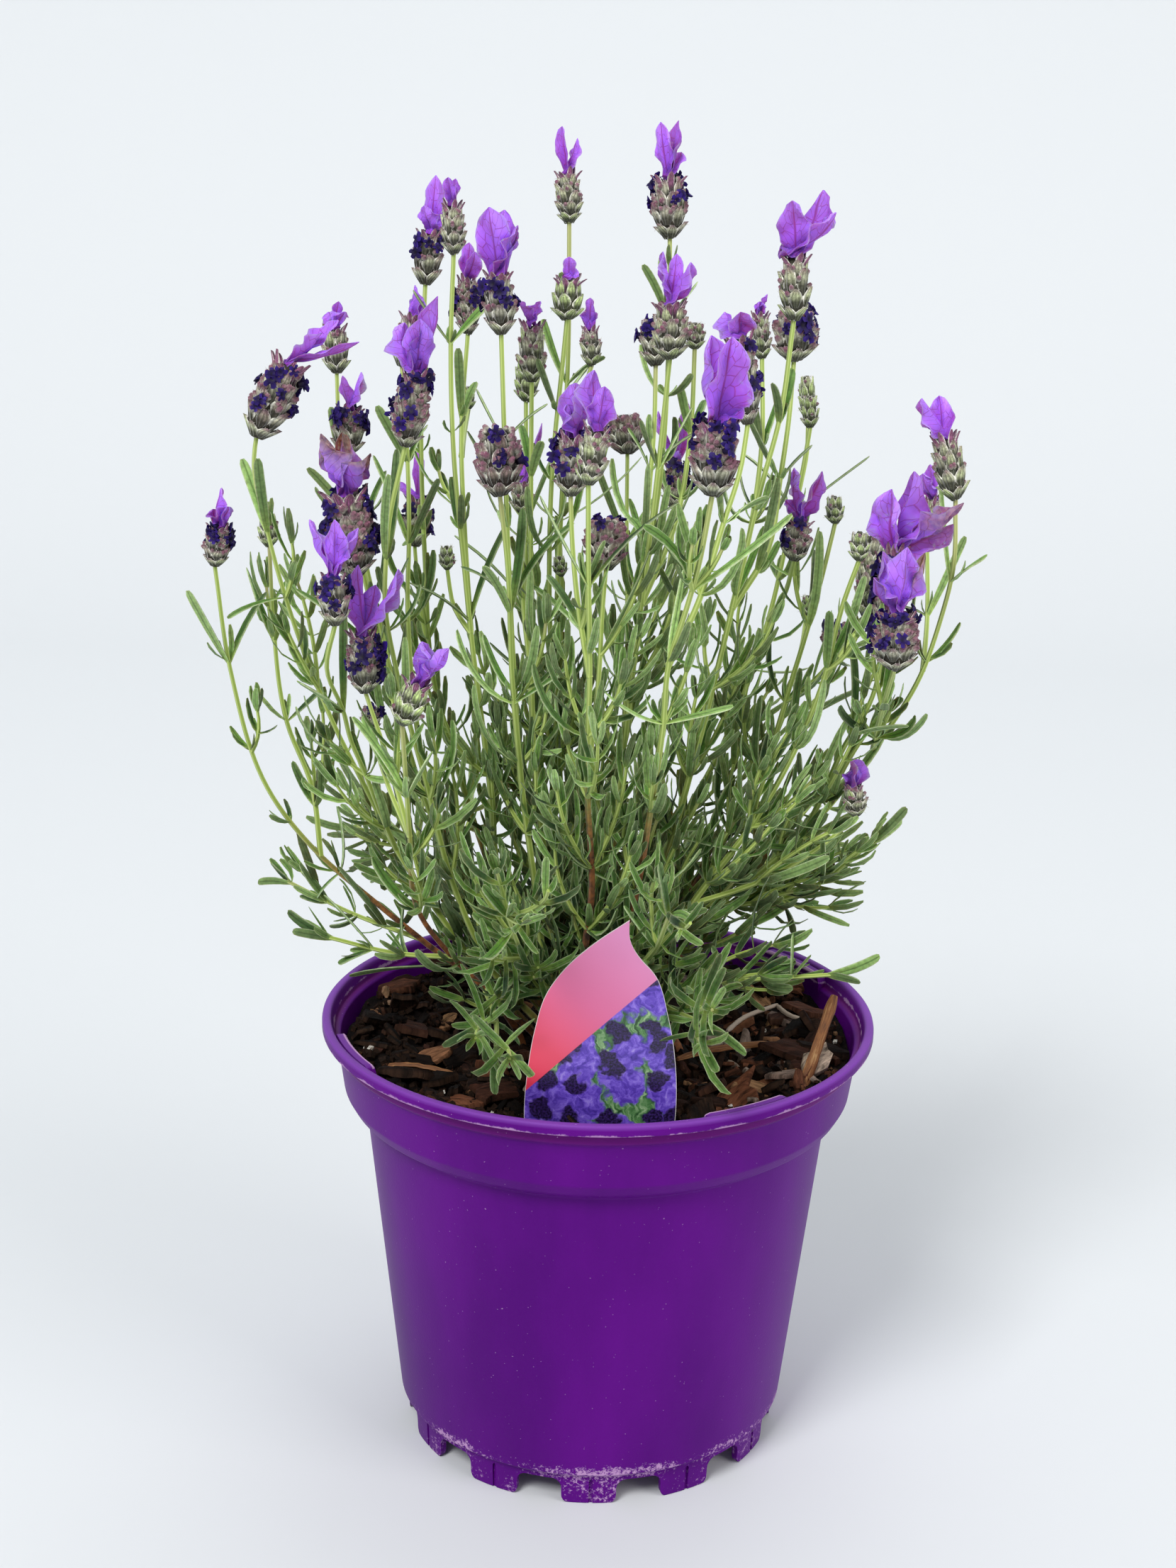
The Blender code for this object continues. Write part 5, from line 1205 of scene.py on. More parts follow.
def join_or_cut(obj, group, operation):
    """Join a collection's solids to an object, or cut them out of it, and remove them."""
    mod = obj.modifiers.new(operation.title(), "BOOLEAN")
    mod.operation, mod.operand_type, mod.solver = operation, "COLLECTION", "EXACT"
    mod.collection = group
    settle_modifiers(obj)
    for item in list(group.objects):
        bpy.data.objects.remove(item, do_unlink=True)


def radial_prism(name, outline, near, far, turn, group):
    """Return a prism that points outwards at an angle, from an outline across and up."""
    a = math.radians(turn)
    out, side = np.array([math.cos(a), math.sin(a), 0.0]), np.array([-math.sin(a), math.cos(a), 0.0])
    rings = np.array([[out * r + side * x + (0.0, 0.0, z) for x, z in outline] for r in (near, far)])
    return solid(name, rings.reshape(-1, 3), loft_faces(2, len(outline)), group)


def lug_wall(name, turn, group):
    """Return one inside lug, a curved pad with eased corners that stands on the shelf behind the lip."""
    inner, outer = LUG_R
    low, high = LUG_Z
    steps = 24
    points = []
    for t in np.linspace(-1, 1, steps + 1):
        a = math.radians(turn + 0.5 * LUG_SPAN * t)
        ease = 5.0 * max(0.0, abs(t) - 0.86) / 0.14
        drop = ease ** 2 / 10.0
        for r, z in ((inner, low), (outer, low), (outer, high - drop), (inner + 0.5, high - drop),
                     (inner, high - drop - 0.5)):
            points.append((r * math.cos(a), r * math.sin(a), z))
    return solid(name, points, loft_faces(steps + 1, 5), group)


def foot_gap_outline():
    """Return the outline of a gap between two feet: round above, flared below."""
    half = 0.5 * FOOT_GAP
    right = [(half + 2.4, FOOT_LOW - 1.0)]
    right += [(half + 2.4 * (1 - math.sin(a)), FOOT_LOW + 2.4 * (1 - math.cos(a)))
              for a in np.linspace(0.0, math.pi / 2, 6)]
    right += [(half - 3.0 * (1 - math.cos(a)), FOOT_LOW + FOOT_HEIGHT - 3.0 * (1 - math.sin(a)))
              for a in np.linspace(0, math.pi / 2, 6)]
    return right + [(-x, z) for x, z in reversed(right)]


def make_pot(look, sizes):
    """Turn the thin moulded pot, add its lugs, and cut the gaps between its feet and the drain holes."""
    pot = turned("pot_shell", rounded(POT_PROFILE, POT_ROUNDING), sizes.pot_steps)
    group = bpy.data.collections.new("shaping_solids")
    bpy.context.scene.collection.children.link(group)
    for k, turn in enumerate(LUG_TURNS):
        lug_wall(f"lug_{k}", turn, group)
    join_or_cut(pot, group, "UNION")
    groove = [(FOOT_GROOVE * x, z) for x, z in (
        (0.5, FOOT_LOW - 1.0), (0.5, 6.4), (0.0, 7.2), (-0.5, 6.4), (-0.5, FOOT_LOW - 1.0))]
    for k in range(FEET):
        turn = FOOT_TURN + 360.0 / FEET * (k + 0.5)
        radial_prism(f"foot_gap_{k}", foot_gap_outline(), 53.0, 62.5, turn, group)
        radial_prism(f"groove_{k}", groove, 57.9, 61.0, FOOT_TURN + 360.0 / FEET * k + 0.6, group)
    for k in range(DRAIN_HOLES):
        a = math.radians(90 + 360.0 / DRAIN_HOLES * k)
        middle = DRAIN_RING_R * np.array([math.cos(a), math.sin(a)])
        ring = [middle + DRAIN_R * np.array([math.cos(b), math.sin(b)])
                for b in np.arange(28) * math.tau / 28]
        solid(f"drain_{k}", [(x, y, z) for z in (6.0, 11.0) for x, y in ring], loft_faces(2, 28), group)
    join_or_cut(pot, group, "DIFFERENCE")
    bpy.data.collections.remove(group)
    finish_turned(pot, moulded_polypropylene(look), "pot_plastic", "pot")
    pot.data.set_sharp_from_angle(angle=math.radians(32))


def on_soil(across, down):
    """Return the place on the soil seen at a place on the reference view."""
    eye = np.array(VIEW_EYE)
    ray = sight_ray(across, down)
    return eye + ray * (SOIL_Z + BED_RISE - eye[2]) / ray[2]


def soil_height(x, y):
    """Return how high the uneven mix stands at a place: it is banked up a little along the wall."""
    coarse = noise.fractal(Vector((x / 17.0, y / 17.0, 3.0)), 0.9, 2.0, 3)
    fine = noise.fractal(Vector((x / 3.2, y / 3.2, 7.0)), 0.7, 2.0, 3)
    banked = 1.5 + 5.5 * float(smoothstep(42.0, 74.0, math.hypot(x, y)))
    return SOIL_Z - 1.6 + 2.1 * coarse + 1.1 * fine + banked


def make_soil_bed():
    """Turn the plug of mix and raise its top into lumps."""
    radii = np.concatenate([np.linspace(0.0, BED_R, 58), [SOIL_R]])
    bed = turned("soil_bed", [(r, SOIL_Z) for r in radii] + list(SOIL_SIDE), 180)
    for v in bed.data.vertices:
        if v.co.z > (SOIL_Z - 0.5) * MM:
            v.co.z = soil_height(v.co.x / MM, v.co.y / MM) * MM
    finish_turned(bed, damp_bark_mix(), "bark_mix", "soil")


def in_bed(place, margin):
    """Tell whether a flat bit on the soil keeps inside the pot and off the label."""
    on_label = (abs(place[1] - LABEL_Y - 0.5 * LABEL_THICK) < margin + 0.6
                and -20.0 - margin < place[0] < 24.0 + margin)
    return math.hypot(place[0], place[1]) + margin <= BED_R and not on_label


def add_chip(pile, place, length, width, thick, turn, tilt, tint, rng):
    """Add one torn flake of bark: a worn, irregular slab, grained along its length."""
    spots = 11
    a = np.arange(spots) * math.tau / spots + rng.uniform(-0.2, 0.2, spots)
    squarish = (np.abs(np.cos(a)) ** 4 + np.abs(np.sin(a)) ** 4) ** -0.25
    edge = squarish * rng.uniform(0.62, 1.14, spots)
    outline = np.stack([0.5 * length * edge * np.cos(a), 0.5 * width * edge * np.sin(a)], axis=1)
    outline[:, 0] += 0.12 * length * np.sin(a * 2 + rng.uniform(0, 6))
    warp = rng.normal(0, 0.10, 2)
    rings = []
    for share, level in ((0.70, 0.52), (0.95, 0.40), (1.0, 0.0), (0.96, -0.42), (0.72, -0.5)):
        flat = outline * share
        rise = thick * (level + rng.uniform(-0.16, 0.16, spots)) + warp[0] * flat[:, 0] * 0.4
        rise = rise + 0.05 * flat[:, 1] ** 2 / max(width, 3) * (1 if level > 0 else 0.7)
        rings.append(np.column_stack([flat, rise]))
    local = np.array(rings).reshape(-1, 3)
    matrix = np.array(Matrix.Rotation(turn, 3, "Z") @ Matrix.Rotation(tilt[0], 3, "X")
                      @ Matrix.Rotation(tilt[1], 3, "Y"))
    points = local @ matrix.T + place
    top = points[:spots].mean(0) + matrix @ np.array([0, 0, rng.uniform(0.0, 0.25) * thick])
    face = [(j, (j + 1) % spots, 5 * spots) for j in range(spots)]
    local = np.concatenate([local, [[0, 0, 0.5 * thick]]])
    shift = rng.uniform(0, 50)
    pile.add(np.concatenate([points, [top]]), face + loft_faces(5, spots)[1:], local[:, 0] / 10.0 + shift,
             local[:, 1] / 10.0 + shift, tint, np.clip(local[:, 2] / thick + 0.5, 0, 1))


def chip_tint(rng, across):
    """Draw a bark colour: mostly dark, some fox red or weathered grey, more of it pale on the right."""
    choices = (rng.uniform(0.0, 0.3), rng.uniform(0.3, 0.62), rng.uniform(0.62, 1.0))
    dry = float(smoothstep(-20.0, 50.0, across))
    return float(rng.choice(choices, p=(0.76 - 0.30 * dry, 0.16 + 0.12 * dry, 0.08 + 0.18 * dry)))


def strewn(rng, radius):
    """Draw a place on the bed, even over its area."""
    out = radius * math.sqrt(rng.uniform())
    a = rng.uniform(0, math.tau)
    return np.array([out * math.cos(a), out * math.sin(a), 0.0])


def make_chips(sizes):
    """Lay the bark chips: the large ones seen in front, then many more over the whole bed."""
    pile = Pile()
    rng = np.random.default_rng(41)
    for across, down, length, width, turn, tint in CHIPS:
        place = on_soil(across, down)
        place[:2] *= min(1.0, (75.5 - 0.4 * length) / math.hypot(place[0], place[1]))
        if not in_bed(place, 0.3 * length):
            continue
        place[2] = soil_height(place[0], place[1]) + 2.8
        add_chip(pile, place, length, width, rng.uniform(1.8, 3.2), math.radians(turn),
                 rng.normal(0, 0.24, 2), tint, rng)
    for _ in range(sizes.chips):
        place = strewn(rng, 76.0)
        length = min(3.5 + rng.exponential(5.0), 18.0)
        if not in_bed(place, 0.42 * length):
            continue
        place[2] = soil_height(place[0], place[1]) + rng.uniform(0.0, 2.6)
        tilt = rng.normal(0, 0.50, 2)
        if place[1] < LABEL_Y and abs(place[0]) < 24.0 and rng.uniform() < 0.6:
            tilt[0] = rng.uniform(0.5, 1.1)
        add_chip(pile, place, length, length * rng.uniform(0.22, 0.7), rng.uniform(0.08, 0.18) * length + 0.5,
                 rng.uniform(0, math.tau), tilt, chip_tint(rng, place[0]), rng)
    pile.piece("bark_chips", pine_bark(), "bark_mix")


def add_crumb(pile, place, size, rng):
    """Add one rough crumb of six faces pulled out of true."""
    points = np.array([(x, y, z) for x in (-1, 1) for y in (-1, 1) for z in (-1, 1)], float)
    points = points * 0.5 * size * rng.uniform(0.5, 1.1, (8, 3)) @ np.array(
        Matrix.Rotation(rng.uniform(0, math.tau), 3, "Z") @ Matrix.Rotation(rng.uniform(0, math.tau), 3, "X"))
    faces = [(0, 1, 3), (0, 3, 2), (4, 6, 7), (4, 7, 5), (0, 4, 5), (0, 5, 1),
             (2, 3, 7), (2, 7, 6), (0, 2, 6), (0, 6, 4), (1, 5, 7), (1, 7, 3)]
    pile.add(points + place, faces, points[:, 0], points[:, 1], chip_tint(rng, place[0]) * 0.8, 0.5)


def make_crumbs(name, count, low, high, material, seed, lift):
    """Scatter small crumbs or grains over the bed."""
    pile = Pile()
    rng = np.random.default_rng(seed)
    for _ in range(count):
        place = strewn(rng, 76.3)
        size = rng.uniform(low, high)
        if in_bed(place, 0.6 * size):
            place[2] = soil_height(place[0], place[1]) + rng.uniform(0.0, lift)
            add_crumb(pile, place, size, rng)
    pile.piece(name, material, "bark_mix")


def make_sticks():
    """Lay the dead stalks on the mix and stand one up beside the plant."""
    pile = Pile()
    rng = np.random.default_rng(5)
    for one, two, width in STICKS:
        a, b = on_soil(*one), on_soil(*two)
        share = np.linspace(0, 1, 12)[:, None]
        line = a * (1 - share) + b * share + rng.normal(0, 0.12, (12, 3))
        line[:, 2] += 2.0 + 1.2 * np.sin(math.pi * share[:, 0])
        add_stick(pile, line, 0.5 * width, rng, 0.4)
    for bends in FORKS:
        add_stick(pile, smooth_line([on_soil(*bend) + (0, 0, 3.6) for bend in bends], 1.6), 0.75, rng, 0.95)
    foot, middle, top, width = LEANING_STICK
    add_stick(pile, smooth_line([foot, middle, top], 2.5), 0.5 * width, rng, 0.5, 0.55)
    pile.piece("straw_sticks", dry_straw(), "bark_mix")


def add_stick(pile, line, radius, rng, tint, flat=1.0):
    """Add one dry stalk with a rough, split outline."""
    n = len(line)
    radii = radius * rng.uniform(0.88, 1.08, n)
    radii[[0, -1]] *= 0.6
    rings = tube_rings(line, radii, 9)
    middle = np.asarray(line, float)[:, None]
    rings = middle + (rings - middle) * np.array([1.0, flat, 1.0])
    rings += rng.normal(0, 0.12 * radius, (1, 9))[:, :, None] * np.array([1.0, flat, 0.4])
    pile.loft(rings, np.arange(9) / 9.0 * 4.0, np.arange(n) * 0.12, tint, 0.0)


def make_label():
    """Lay the printed label between its two edges, bent a little, with its stake in the mix."""
    right = smooth_line([(x, 0.0, z) for x, z in LABEL_RIGHT[:9]], 2.0)
    left = smooth_line([(x, 0.0, z) for x, z in LABEL_LEFT[:9]], 2.0)
    rows = 64
    even = np.linspace(0, 1, rows)
    edges = [np.array([np.interp(even, np.linspace(0, 1, len(edge)), edge[:, k]) for k in (0, 2)]).T
             for edge in (right, left)]
    stake = [(np.array(one), np.array(two)) for one, two in zip(LABEL_RIGHT[9:], LABEL_LEFT[9:])]
    pairs = list(zip(edges[0], edges[1])) + stake
    columns = 22
    xs = np.linspace(0, 1, columns)
    rings, inner = [], []
    for i, (one, two) in enumerate(pairs):
        flat = one + (two - one) * xs[:, None]
        if i == 0:
            flat = flat + np.linspace(0.05, -0.05, columns)[:, None] * np.array([1.0, 0.0])
        bend = -0.0008 * (flat[:, 0] - 2.0) ** 2 + 0.012 * np.maximum(0.0, flat[:, 1] - 140.0)
        front = np.column_stack([flat[:, 0], LABEL_Y + bend, flat[:, 1]])
        back = front[::-1] + np.array([0.0, LABEL_THICK, 0.0])
        rings.append(np.concatenate([front, back]))
        shown = np.zeros(2 * columns)
        if 0 < i < rows:
            shown[1:columns - 1] = 1.0
        inner.append(shown)
    rings = np.array(rings)
    pile = Pile()
    pile.add(rings, loft_faces(len(pairs), 2 * columns), rings[:, :, 0].ravel(), rings[:, :, 2].ravel(),
             0.5, np.array(inner).ravel())
    pile.piece("label_plate", printed_label_film(), "label_plastic", "plant_label")


def rgba(colour):
    """Return a colour at full opacity, from linear values or an sRGB hex value."""
    return *(linear(colour) if isinstance(colour, str) else colour), 1.0


def add_node(tree, kind, sockets=None, stops=None, **own):
    """Add a node with its own settings and its sockets, each set to a value or linked to a node or socket."""
    item = tree.nodes.new("ShaderNode" + kind)
    for key, value in own.items():
        setattr(item, key, value)
    for key, value in (sockets or {}).items():
        socket = item.inputs[key]
        if isinstance(value, bpy.types.Node):
            value = value.outputs[2 if value.bl_idname == "ShaderNodeMix" else 0]
        if isinstance(value, bpy.types.NodeSocket):
            tree.links.new(value, socket)
        else:
            socket.default_value = rgba(value) if socket.type == "RGBA" else value
    for k, (position, colour) in enumerate(stops or ()):
        ramp = item.color_ramp.elements
        element = ramp[k] if k < 2 else ramp.new(position)
        element.position = position
        element.color = rgba(colour)
    return item


def new_material(name, **values):
    """Return a material, its adder of nodes and its Principled shader with plain values set."""
    mat = bpy.data.materials.new(name)
    mat.use_nodes = True
    shader = mat.node_tree.nodes["Principled BSDF"]
    for key, value in values.items():
        shader.inputs[key.replace("_", " ")].default_value = value
    return mat, partial(add_node, mat.node_tree), shader


def wire(mat, shader, colour, height=None, strength=0.5, distance=0.0004, roughness=None):
    """Wire a colour, and if given a relief and a roughness, into a material's shader."""
    tree = mat.node_tree
    out = colour.outputs[2 if colour.bl_idname == "ShaderNodeMix" else 0]
    tree.links.new(out, shader.inputs["Base Color"])
    if height:
        relief = add_node(tree, "Bump", {"Strength": strength, "Distance": distance, "Height": height})
        tree.links.new(relief.outputs[0], shader.inputs["Normal"])
    if roughness:
        tree.links.new(roughness.outputs[0], shader.inputs["Roughness"])
    return mat


def read_marks(add):
    """Return the sockets of the four marks: across, along, tint and extra."""
    marks = add("Attribute", attribute_name="marks")
    split = add("SeparateColor", {0: marks.outputs["Color"]})
    return split.outputs[0], split.outputs[1], split.outputs[2], marks.outputs["Alpha"]


def overlay(add, colour, *layers):
    """Lay colours over one another: what is read, where the layer starts and is full, how far it covers."""
    for value, start, full, cover, over in layers:
        mask = add("MapRange", {0: value, 1: start, 2: full, 4: cover})
        colour = add("Mix", {0: mask, 6: colour, 7: over}, data_type="RGBA")
    return colour


def shaded(add, colour, value, low, high, dark, light):
    """Darken and lighten a colour where a value is low and high."""
    shade = add("MapRange", {0: value, 1: low, 2: high, 3: dark, 4: light})
    return add("VectorMath", {0: colour, 1: shade.outputs[0]}, operation="MULTIPLY")


def moulded_polypropylene(look):
    """Injection moulded, dyed polypropylene: satin, faintly waxy, scuffed pale where it has been stood."""
    mat, add, shader = new_material("moulded_polypropylene", IOR=1.49, Specular_IOR_Level=0.07)
    place = add("TexCoord").outputs["Object"]
    at = add("SeparateXYZ", {0: place})
    height = at.outputs["Z"]
    flat = add("CombineXYZ", {0: at.outputs[0], 1: at.outputs[1], 2: 0.0})
    axis = add("VectorMath", {0: flat, 1: (-AXIS_SHIFT[0], -AXIS_SHIFT[1], 0.0)}, operation="ADD")
    radius = add("VectorMath", {0: axis}, operation="LENGTH").outputs["Value"]
    zero = AXIS_SHIFT[2]
    # Flow marks of the melt, some 40 mm across, drawn long down the wall
    long = add("Mapping", {"Vector": place, "Scale": (24.0, 24.0, 9.0)})
    flow = add("TexNoise", {"Vector": long, "Scale": 1.0, "Detail": 4.0, "Roughness": 0.55})
    tone = add("ValToRGB", {0: flow}, ((0.36, look.body_dark), (0.66, look.body)))
    # The lip's top is painted a shade paler: a painted highlight where the light falls on it
    lip_highlighted = overlay(add, tone, (height, zero + 0.1340, zero + 0.1354, 0.75, look.lip))
    # Broken patches, and the parting line of the mould low on the lip, with stray flash up to 1 mm
    patch = add("TexNoise", {"Vector": place, "Scale": 55.0, "Detail": 2.0})
    broken = add("TexNoise", {"Vector": place, "Scale": 120.0, "Detail": 6.0, "Roughness": 0.7})
    from_line = add("Math", {0: height, 1: zero + 0.1323}, operation="SUBTRACT")
    from_line = add("Math", {0: from_line}, operation="ABSOLUTE")
    # Masks: what is read, where each starts and is full, and its least and most
    under, over, outer, near, foot, patchy, lug_top, inner, reach = (
        add("MapRange", {0: value, 1: start, 2: full, 3: least, 4: most})
        for value, start, full, least, most in (
            (height, zero + 0.1322, zero + 0.1317, 0.0, 1.0),
            (height, zero + 0.1270, zero + 0.1290, 0.0, 0.55), (radius, 0.0796, 0.0806, 0.0, 1.0),
            (height, zero + 0.0170, zero + 0.0112, 0.0, 1.0),
            (height, zero + 0.0060, zero + 0.0092, 0.78, 1.0), (patch, 0.35, 0.65, 0.62, 1.0),
            (height, zero + 0.1338, zero + 0.1342, 0.0, 1.0), (radius, 0.0800, 0.0796, 0.0, 0.95),
            (broken, 0.42, 0.72, 0.0, 0.0013)))
    # Duller, redder band under the mould line; scuffed foot; corners of the inside lugs, drawn pale
    products = []
    for first, *others in ((under, over, outer), (near, foot, patchy), (lug_top, inner)):
        for other in others:
            first = add("Math", {0: first, 1: other}, operation="MULTIPLY")
        products.append(first)
    band, scuffed, worn = products
    banded = add("Mix", {0: band, 6: lip_highlighted, 7: look.band}, data_type="RGBA")
    # Grit scuffs along the lower edge and feet, each scratch under 1 mm, drawn as a noise of 0.8 mm
    grit = add("TexNoise", {"Vector": place, "Scale": 820.0, "Detail": 5.0, "Roughness": 0.78})
    level = add("Math", {0: scuffed, 1: -0.44, 2: 0.86}, operation="MULTIPLY_ADD")
    gap = add("Math", {0: grit, 1: level}, operation="SUBTRACT")
    inside = add("Math", {0: reach, 1: from_line}, operation="SUBTRACT")
    # Specks of dust, sparse and about 0.4 mm
    specks = add("TexNoise", {"Vector": place, "Scale": 1300.0, "Detail": 1.0})
    pale = worn
    for value, start, full, most in (
            (gap, 0.0, 0.09, 0.8), (inside, 0.0, 0.0004, 0.62), (specks, 0.77, 0.80, 0.5)):
        mark = add("MapRange", {0: value, 1: start, 2: full, 4: most})
        pale = add("Math", {0: pale, 1: mark}, operation="MAXIMUM")
    colour = add("Mix", {0: pale, 6: banded, 7: look.scuff}, data_type="RGBA")
    rough = add("MapRange", {0: pale, 3: 0.42, 4: 0.75})
    # Spark-eroded mould skin: grain of about 0.7 mm
    skin = add("TexNoise", {"Vector": place, "Scale": 1400.0, "Detail": 2.0})
    return wire(mat, shader, colour, skin, 0.10, 0.0004, rough)


def damp_bark_mix():
    """Composted bark and peat, damp: nearly black crumbs with brown fibres."""
    mat, add, shader = new_material("damp_bark_mix", IOR=1.4, Roughness=0.9, Specular_IOR_Level=0.15)
    place = add("TexCoord").outputs["Object"]
    # Crumbs of 1 to 3 mm
    crumbs = add("TexNoise", {"Vector": place, "Scale": 420.0, "Detail": 6.0, "Roughness": 0.7})
    colour = add("ValToRGB", {0: crumbs}, ((0.36, "#060404"), (0.72, "#302018"), (0.58, "#130D0B")))
    return wire(mat, shader, colour, crumbs, 0.8, 0.0016)


def pine_bark():
    """Shredded pine bark: flaky plates, black-brown to fox red and weathered grey, grained lengthwise."""
    mat, add, shader = new_material("pine_bark", IOR=1.45, Roughness=0.82, Specular_IOR_Level=0.15)
    across, along, tint, extra = read_marks(add)
    # Growth layers about 1.5 mm apart run along each chip: coarser than real, so that they show from afar
    turned_tint = add("Math", {0: tint, 1: 31.0}, operation="MULTIPLY")
    grain = add("CombineXYZ", {0: across, 1: along, 2: turned_tint})
    grain = add("Mapping", {"Vector": grain, "Scale": (1.6, 7.0, 1.0)})
    layers = add("TexNoise", {
        "Vector": grain, "Scale": 1.0, "Detail": 6.0, "Roughness": 0.68, "Distortion": 0.4})
    body = add("ValToRGB", {0: tint}, (
        (0.0, "#080504"), (1.0, "#B5A28E"), (0.34, "#1A100C"), (0.54, "#3A221A"), (0.70, "#704530"),
        (0.82, "#94704F"), (0.91, "#7A6A62")))
    # A chip's torn sides are paler than its weathered face
    edged = overlay(add, body, (extra, 0.92, 0.60, 0.30, "#4E3728"))
    return wire(mat, shader, shaded(add, edged, layers, 0.34, 0.66, 0.22, 1.60), layers, 0.9, 0.0012)


def dry_straw():
    """Dead stalks in the mix: dull tan to rust, with long fibres."""
    mat, add, shader = new_material("dry_straw", IOR=1.45, Roughness=0.7)
    across, along, tint, _ = read_marks(add)
    fibres = add("CombineXYZ", {0: across, 1: along, 2: tint})
    streaks = add("TexNoise", {"Vector": fibres, "Scale": 3.0, "Detail": 4.0, "Roughness": 0.7})
    brown = add("ValToRGB", {0: streaks}, ((0.32, "#4A2C18"), (0.74, "#A78658"), (0.54, "#7A4C26")))
    # The oldest twigs have bleached grey
    return wire(mat, shader, overlay(add, brown, (tint, 0.88, 0.94, 0.85, "#A99C8E")), streaks, 0.4, 0.0003)


def expanded_perlite():
    """White puffed perlite grains in the mix, chalky and slightly soiled."""
    mat, add, shader = new_material("expanded_perlite", IOR=1.5, Roughness=0.85)
    # Pores of 0.5 mm hold damp soil
    pores = add("TexNoise", {"Vector": add("TexCoord").outputs["Object"], "Scale": 1500.0, "Detail": 3.0})
    return wire(mat, shader, add("ValToRGB", {0: pores}, ((0.38, "#6E6459"), (0.58, "#C9C6BE"))), pores, 0.6)


def printed_label_film():
    """Printed polypropylene sheet, semi-gloss: a pink to coral band over a pattern of petals and leaves."""
    mat, add, shader = new_material("printed_label_film", IOR=1.49, Roughness=0.30)
    across, along, _, printed = read_marks(add)
    place = add("CombineXYZ", {0: across, 1: along, 2: 0.0})
    # The band's lower border rises to the right
    border = add("Math", {0: across, 1: 0.95, 2: LABEL_BORDER}, operation="MULTIPLY_ADD")
    edge = add("Math", {0: along, 1: border}, operation="SUBTRACT")
    diagonal = add("Math", {0: across, 1: 0.8, 2: along}, operation="MULTIPLY_ADD")
    warm = add("MapRange", {0: diagonal, 1: 118.0, 2: 190.0})
    pink = add("ValToRGB", {0: warm}, (
        (0.0, "#E6304A"), (1.0, "#D184B4"), (0.30, "#E04A66"), (0.62, "#D96A99")))
    # Made-up blossom: violet clusters of 9 mm and darker ones of 6 mm, over streaked leaf green
    wander = add("TexNoise", {"Vector": place, "Scale": 0.16, "Detail": 3.0, "Roughness": 0.6})
    drift = add("VectorMath", {0: wander.outputs["Color"], 1: (9.0, 9.0, 0.0)}, operation="MULTIPLY")
    bent = add("VectorMath", {0: place, 1: drift.outputs[0]}, operation="ADD")
    cells = add("TexVoronoi", {"Vector": bent, "Scale": 0.11, "Randomness": 0.9}, voronoi_dimensions="2D")
    blots = add("Mapping", {"Vector": bent, "Location": (3.1, 1.7, 0.0)})
    blots = add("TexVoronoi", {"Vector": blots, "Scale": 0.105, "Randomness": 0.8}, voronoi_dimensions="2D")
    folds = add("TexNoise", {"Vector": bent, "Scale": 0.42, "Detail": 4.0, "Roughness": 0.6})
    speckle = add("TexNoise", {"Vector": place, "Scale": 1.6, "Detail": 2.0})
    thin = add("Mapping", {"Vector": bent, "Scale": (0.9, 0.16, 1.0), "Rotation": (0.0, 0.0, 0.5)})
    leaves = add("TexNoise", {"Vector": thin, "Scale": 0.9, "Detail": 3.0})
    green = add("ValToRGB", {0: leaves}, ((0.34, "#1F3B24"), (0.72, "#A9C79A"), (0.50, "#4C7C47")))
    petal = add("ValToRGB", {0: folds}, (
        (0.32, "#3A2488"), (0.72, "#A08CE0"), (0.46, "#5B3FB4"), (0.58, "#7A5ED0")))
    dark = add("ValToRGB", {0: speckle}, ((0.40, "#120A26"), (0.66, "#3A2668")))
    face = overlay(
        add, green, (cells.outputs["Distance"], 0.66, 0.56, 1.0, petal),
        (blots.outputs["Distance"], 0.36, 0.28, 1.0, dark), (edge, -0.15, 0.15, 1.0, pink))
    # The cut edge shows the white sheet, and so does the back
    return wire(mat, shader, overlay(add, "#ECE6E6", (printed, 0.02, 0.10, 1.0, face)))


def felted_leaf(look):
    """Living lavender leaf: grey-green under a felt of short hairs, pale rolled edges partly painted as
    highlight, a groove above in painted shade, painted shade low on the plant.
    """
    mat, add, shader = new_material(
        "felted_leaf", IOR=1.42, Roughness=0.62, Sheen_Weight=0.06, Sheen_Roughness=0.5,
        Specular_IOR_Level=0.25, Subsurface_Weight=0.12, Subsurface_Scale=0.002)
    across, along, tint, upper = read_marks(add)
    place = add("TexCoord").outputs["Object"]
    height = add("SeparateXYZ", {0: place}).outputs["Z"]
    wide = add("Math", {0: across}, operation="ABSOLUTE")
    # Felt hairs clump at about 0.5 mm
    mottle = add("TexNoise", {"Vector": place, "Scale": 700.0, "Detail": 4.0, "Roughness": 0.65})
    body = add("ValToRGB", {0: tint}, ((0.0, look.leaf_dark), (1.0, look.leaf_pale), (0.55, look.leaf)))
    # Pale underside, and grey felt that thickens towards the tip
    tipped = overlay(add, body, (upper, 1.0, 0.0, 0.40, "#9DB57C"), (along, 0.45, 1.0, 0.28, "#93AC74"))
    # Pale rolled margins: the felt of the edges, and partly a painted highlight along their lit rims
    margin = add("MapRange", {0: wide, 1: 0.74, 2: 0.96, 4: 0.70})
    felted = add("MapRange", {0: tint, 2: 0.6, 3: 0.45})
    margin = add("Math", {0: margin, 1: felted}, operation="MULTIPLY")
    edged = add("Mix", {0: margin, 6: tipped, 7: "#D2E0B4"}, data_type="RGBA")
    # Painted shade of the groove as a dark line down the middle, the yellow-green base, and painted shade
    # darkening the leaves at the foot of the plant
    base_and_painted_shade = overlay(add, edged, (wide, 0.26, 0.02, 0.55, "#2C4420"), (along, 0.34, 0.0, 0.50, "#A8C25A"),
                   (height, 0.215, 0.145, 0.40, "#22401A"))
    return wire(mat, shader, shaded(add, base_and_painted_shade, mottle, 0.3, 0.7, 0.68, 1.24), mottle, 0.45)


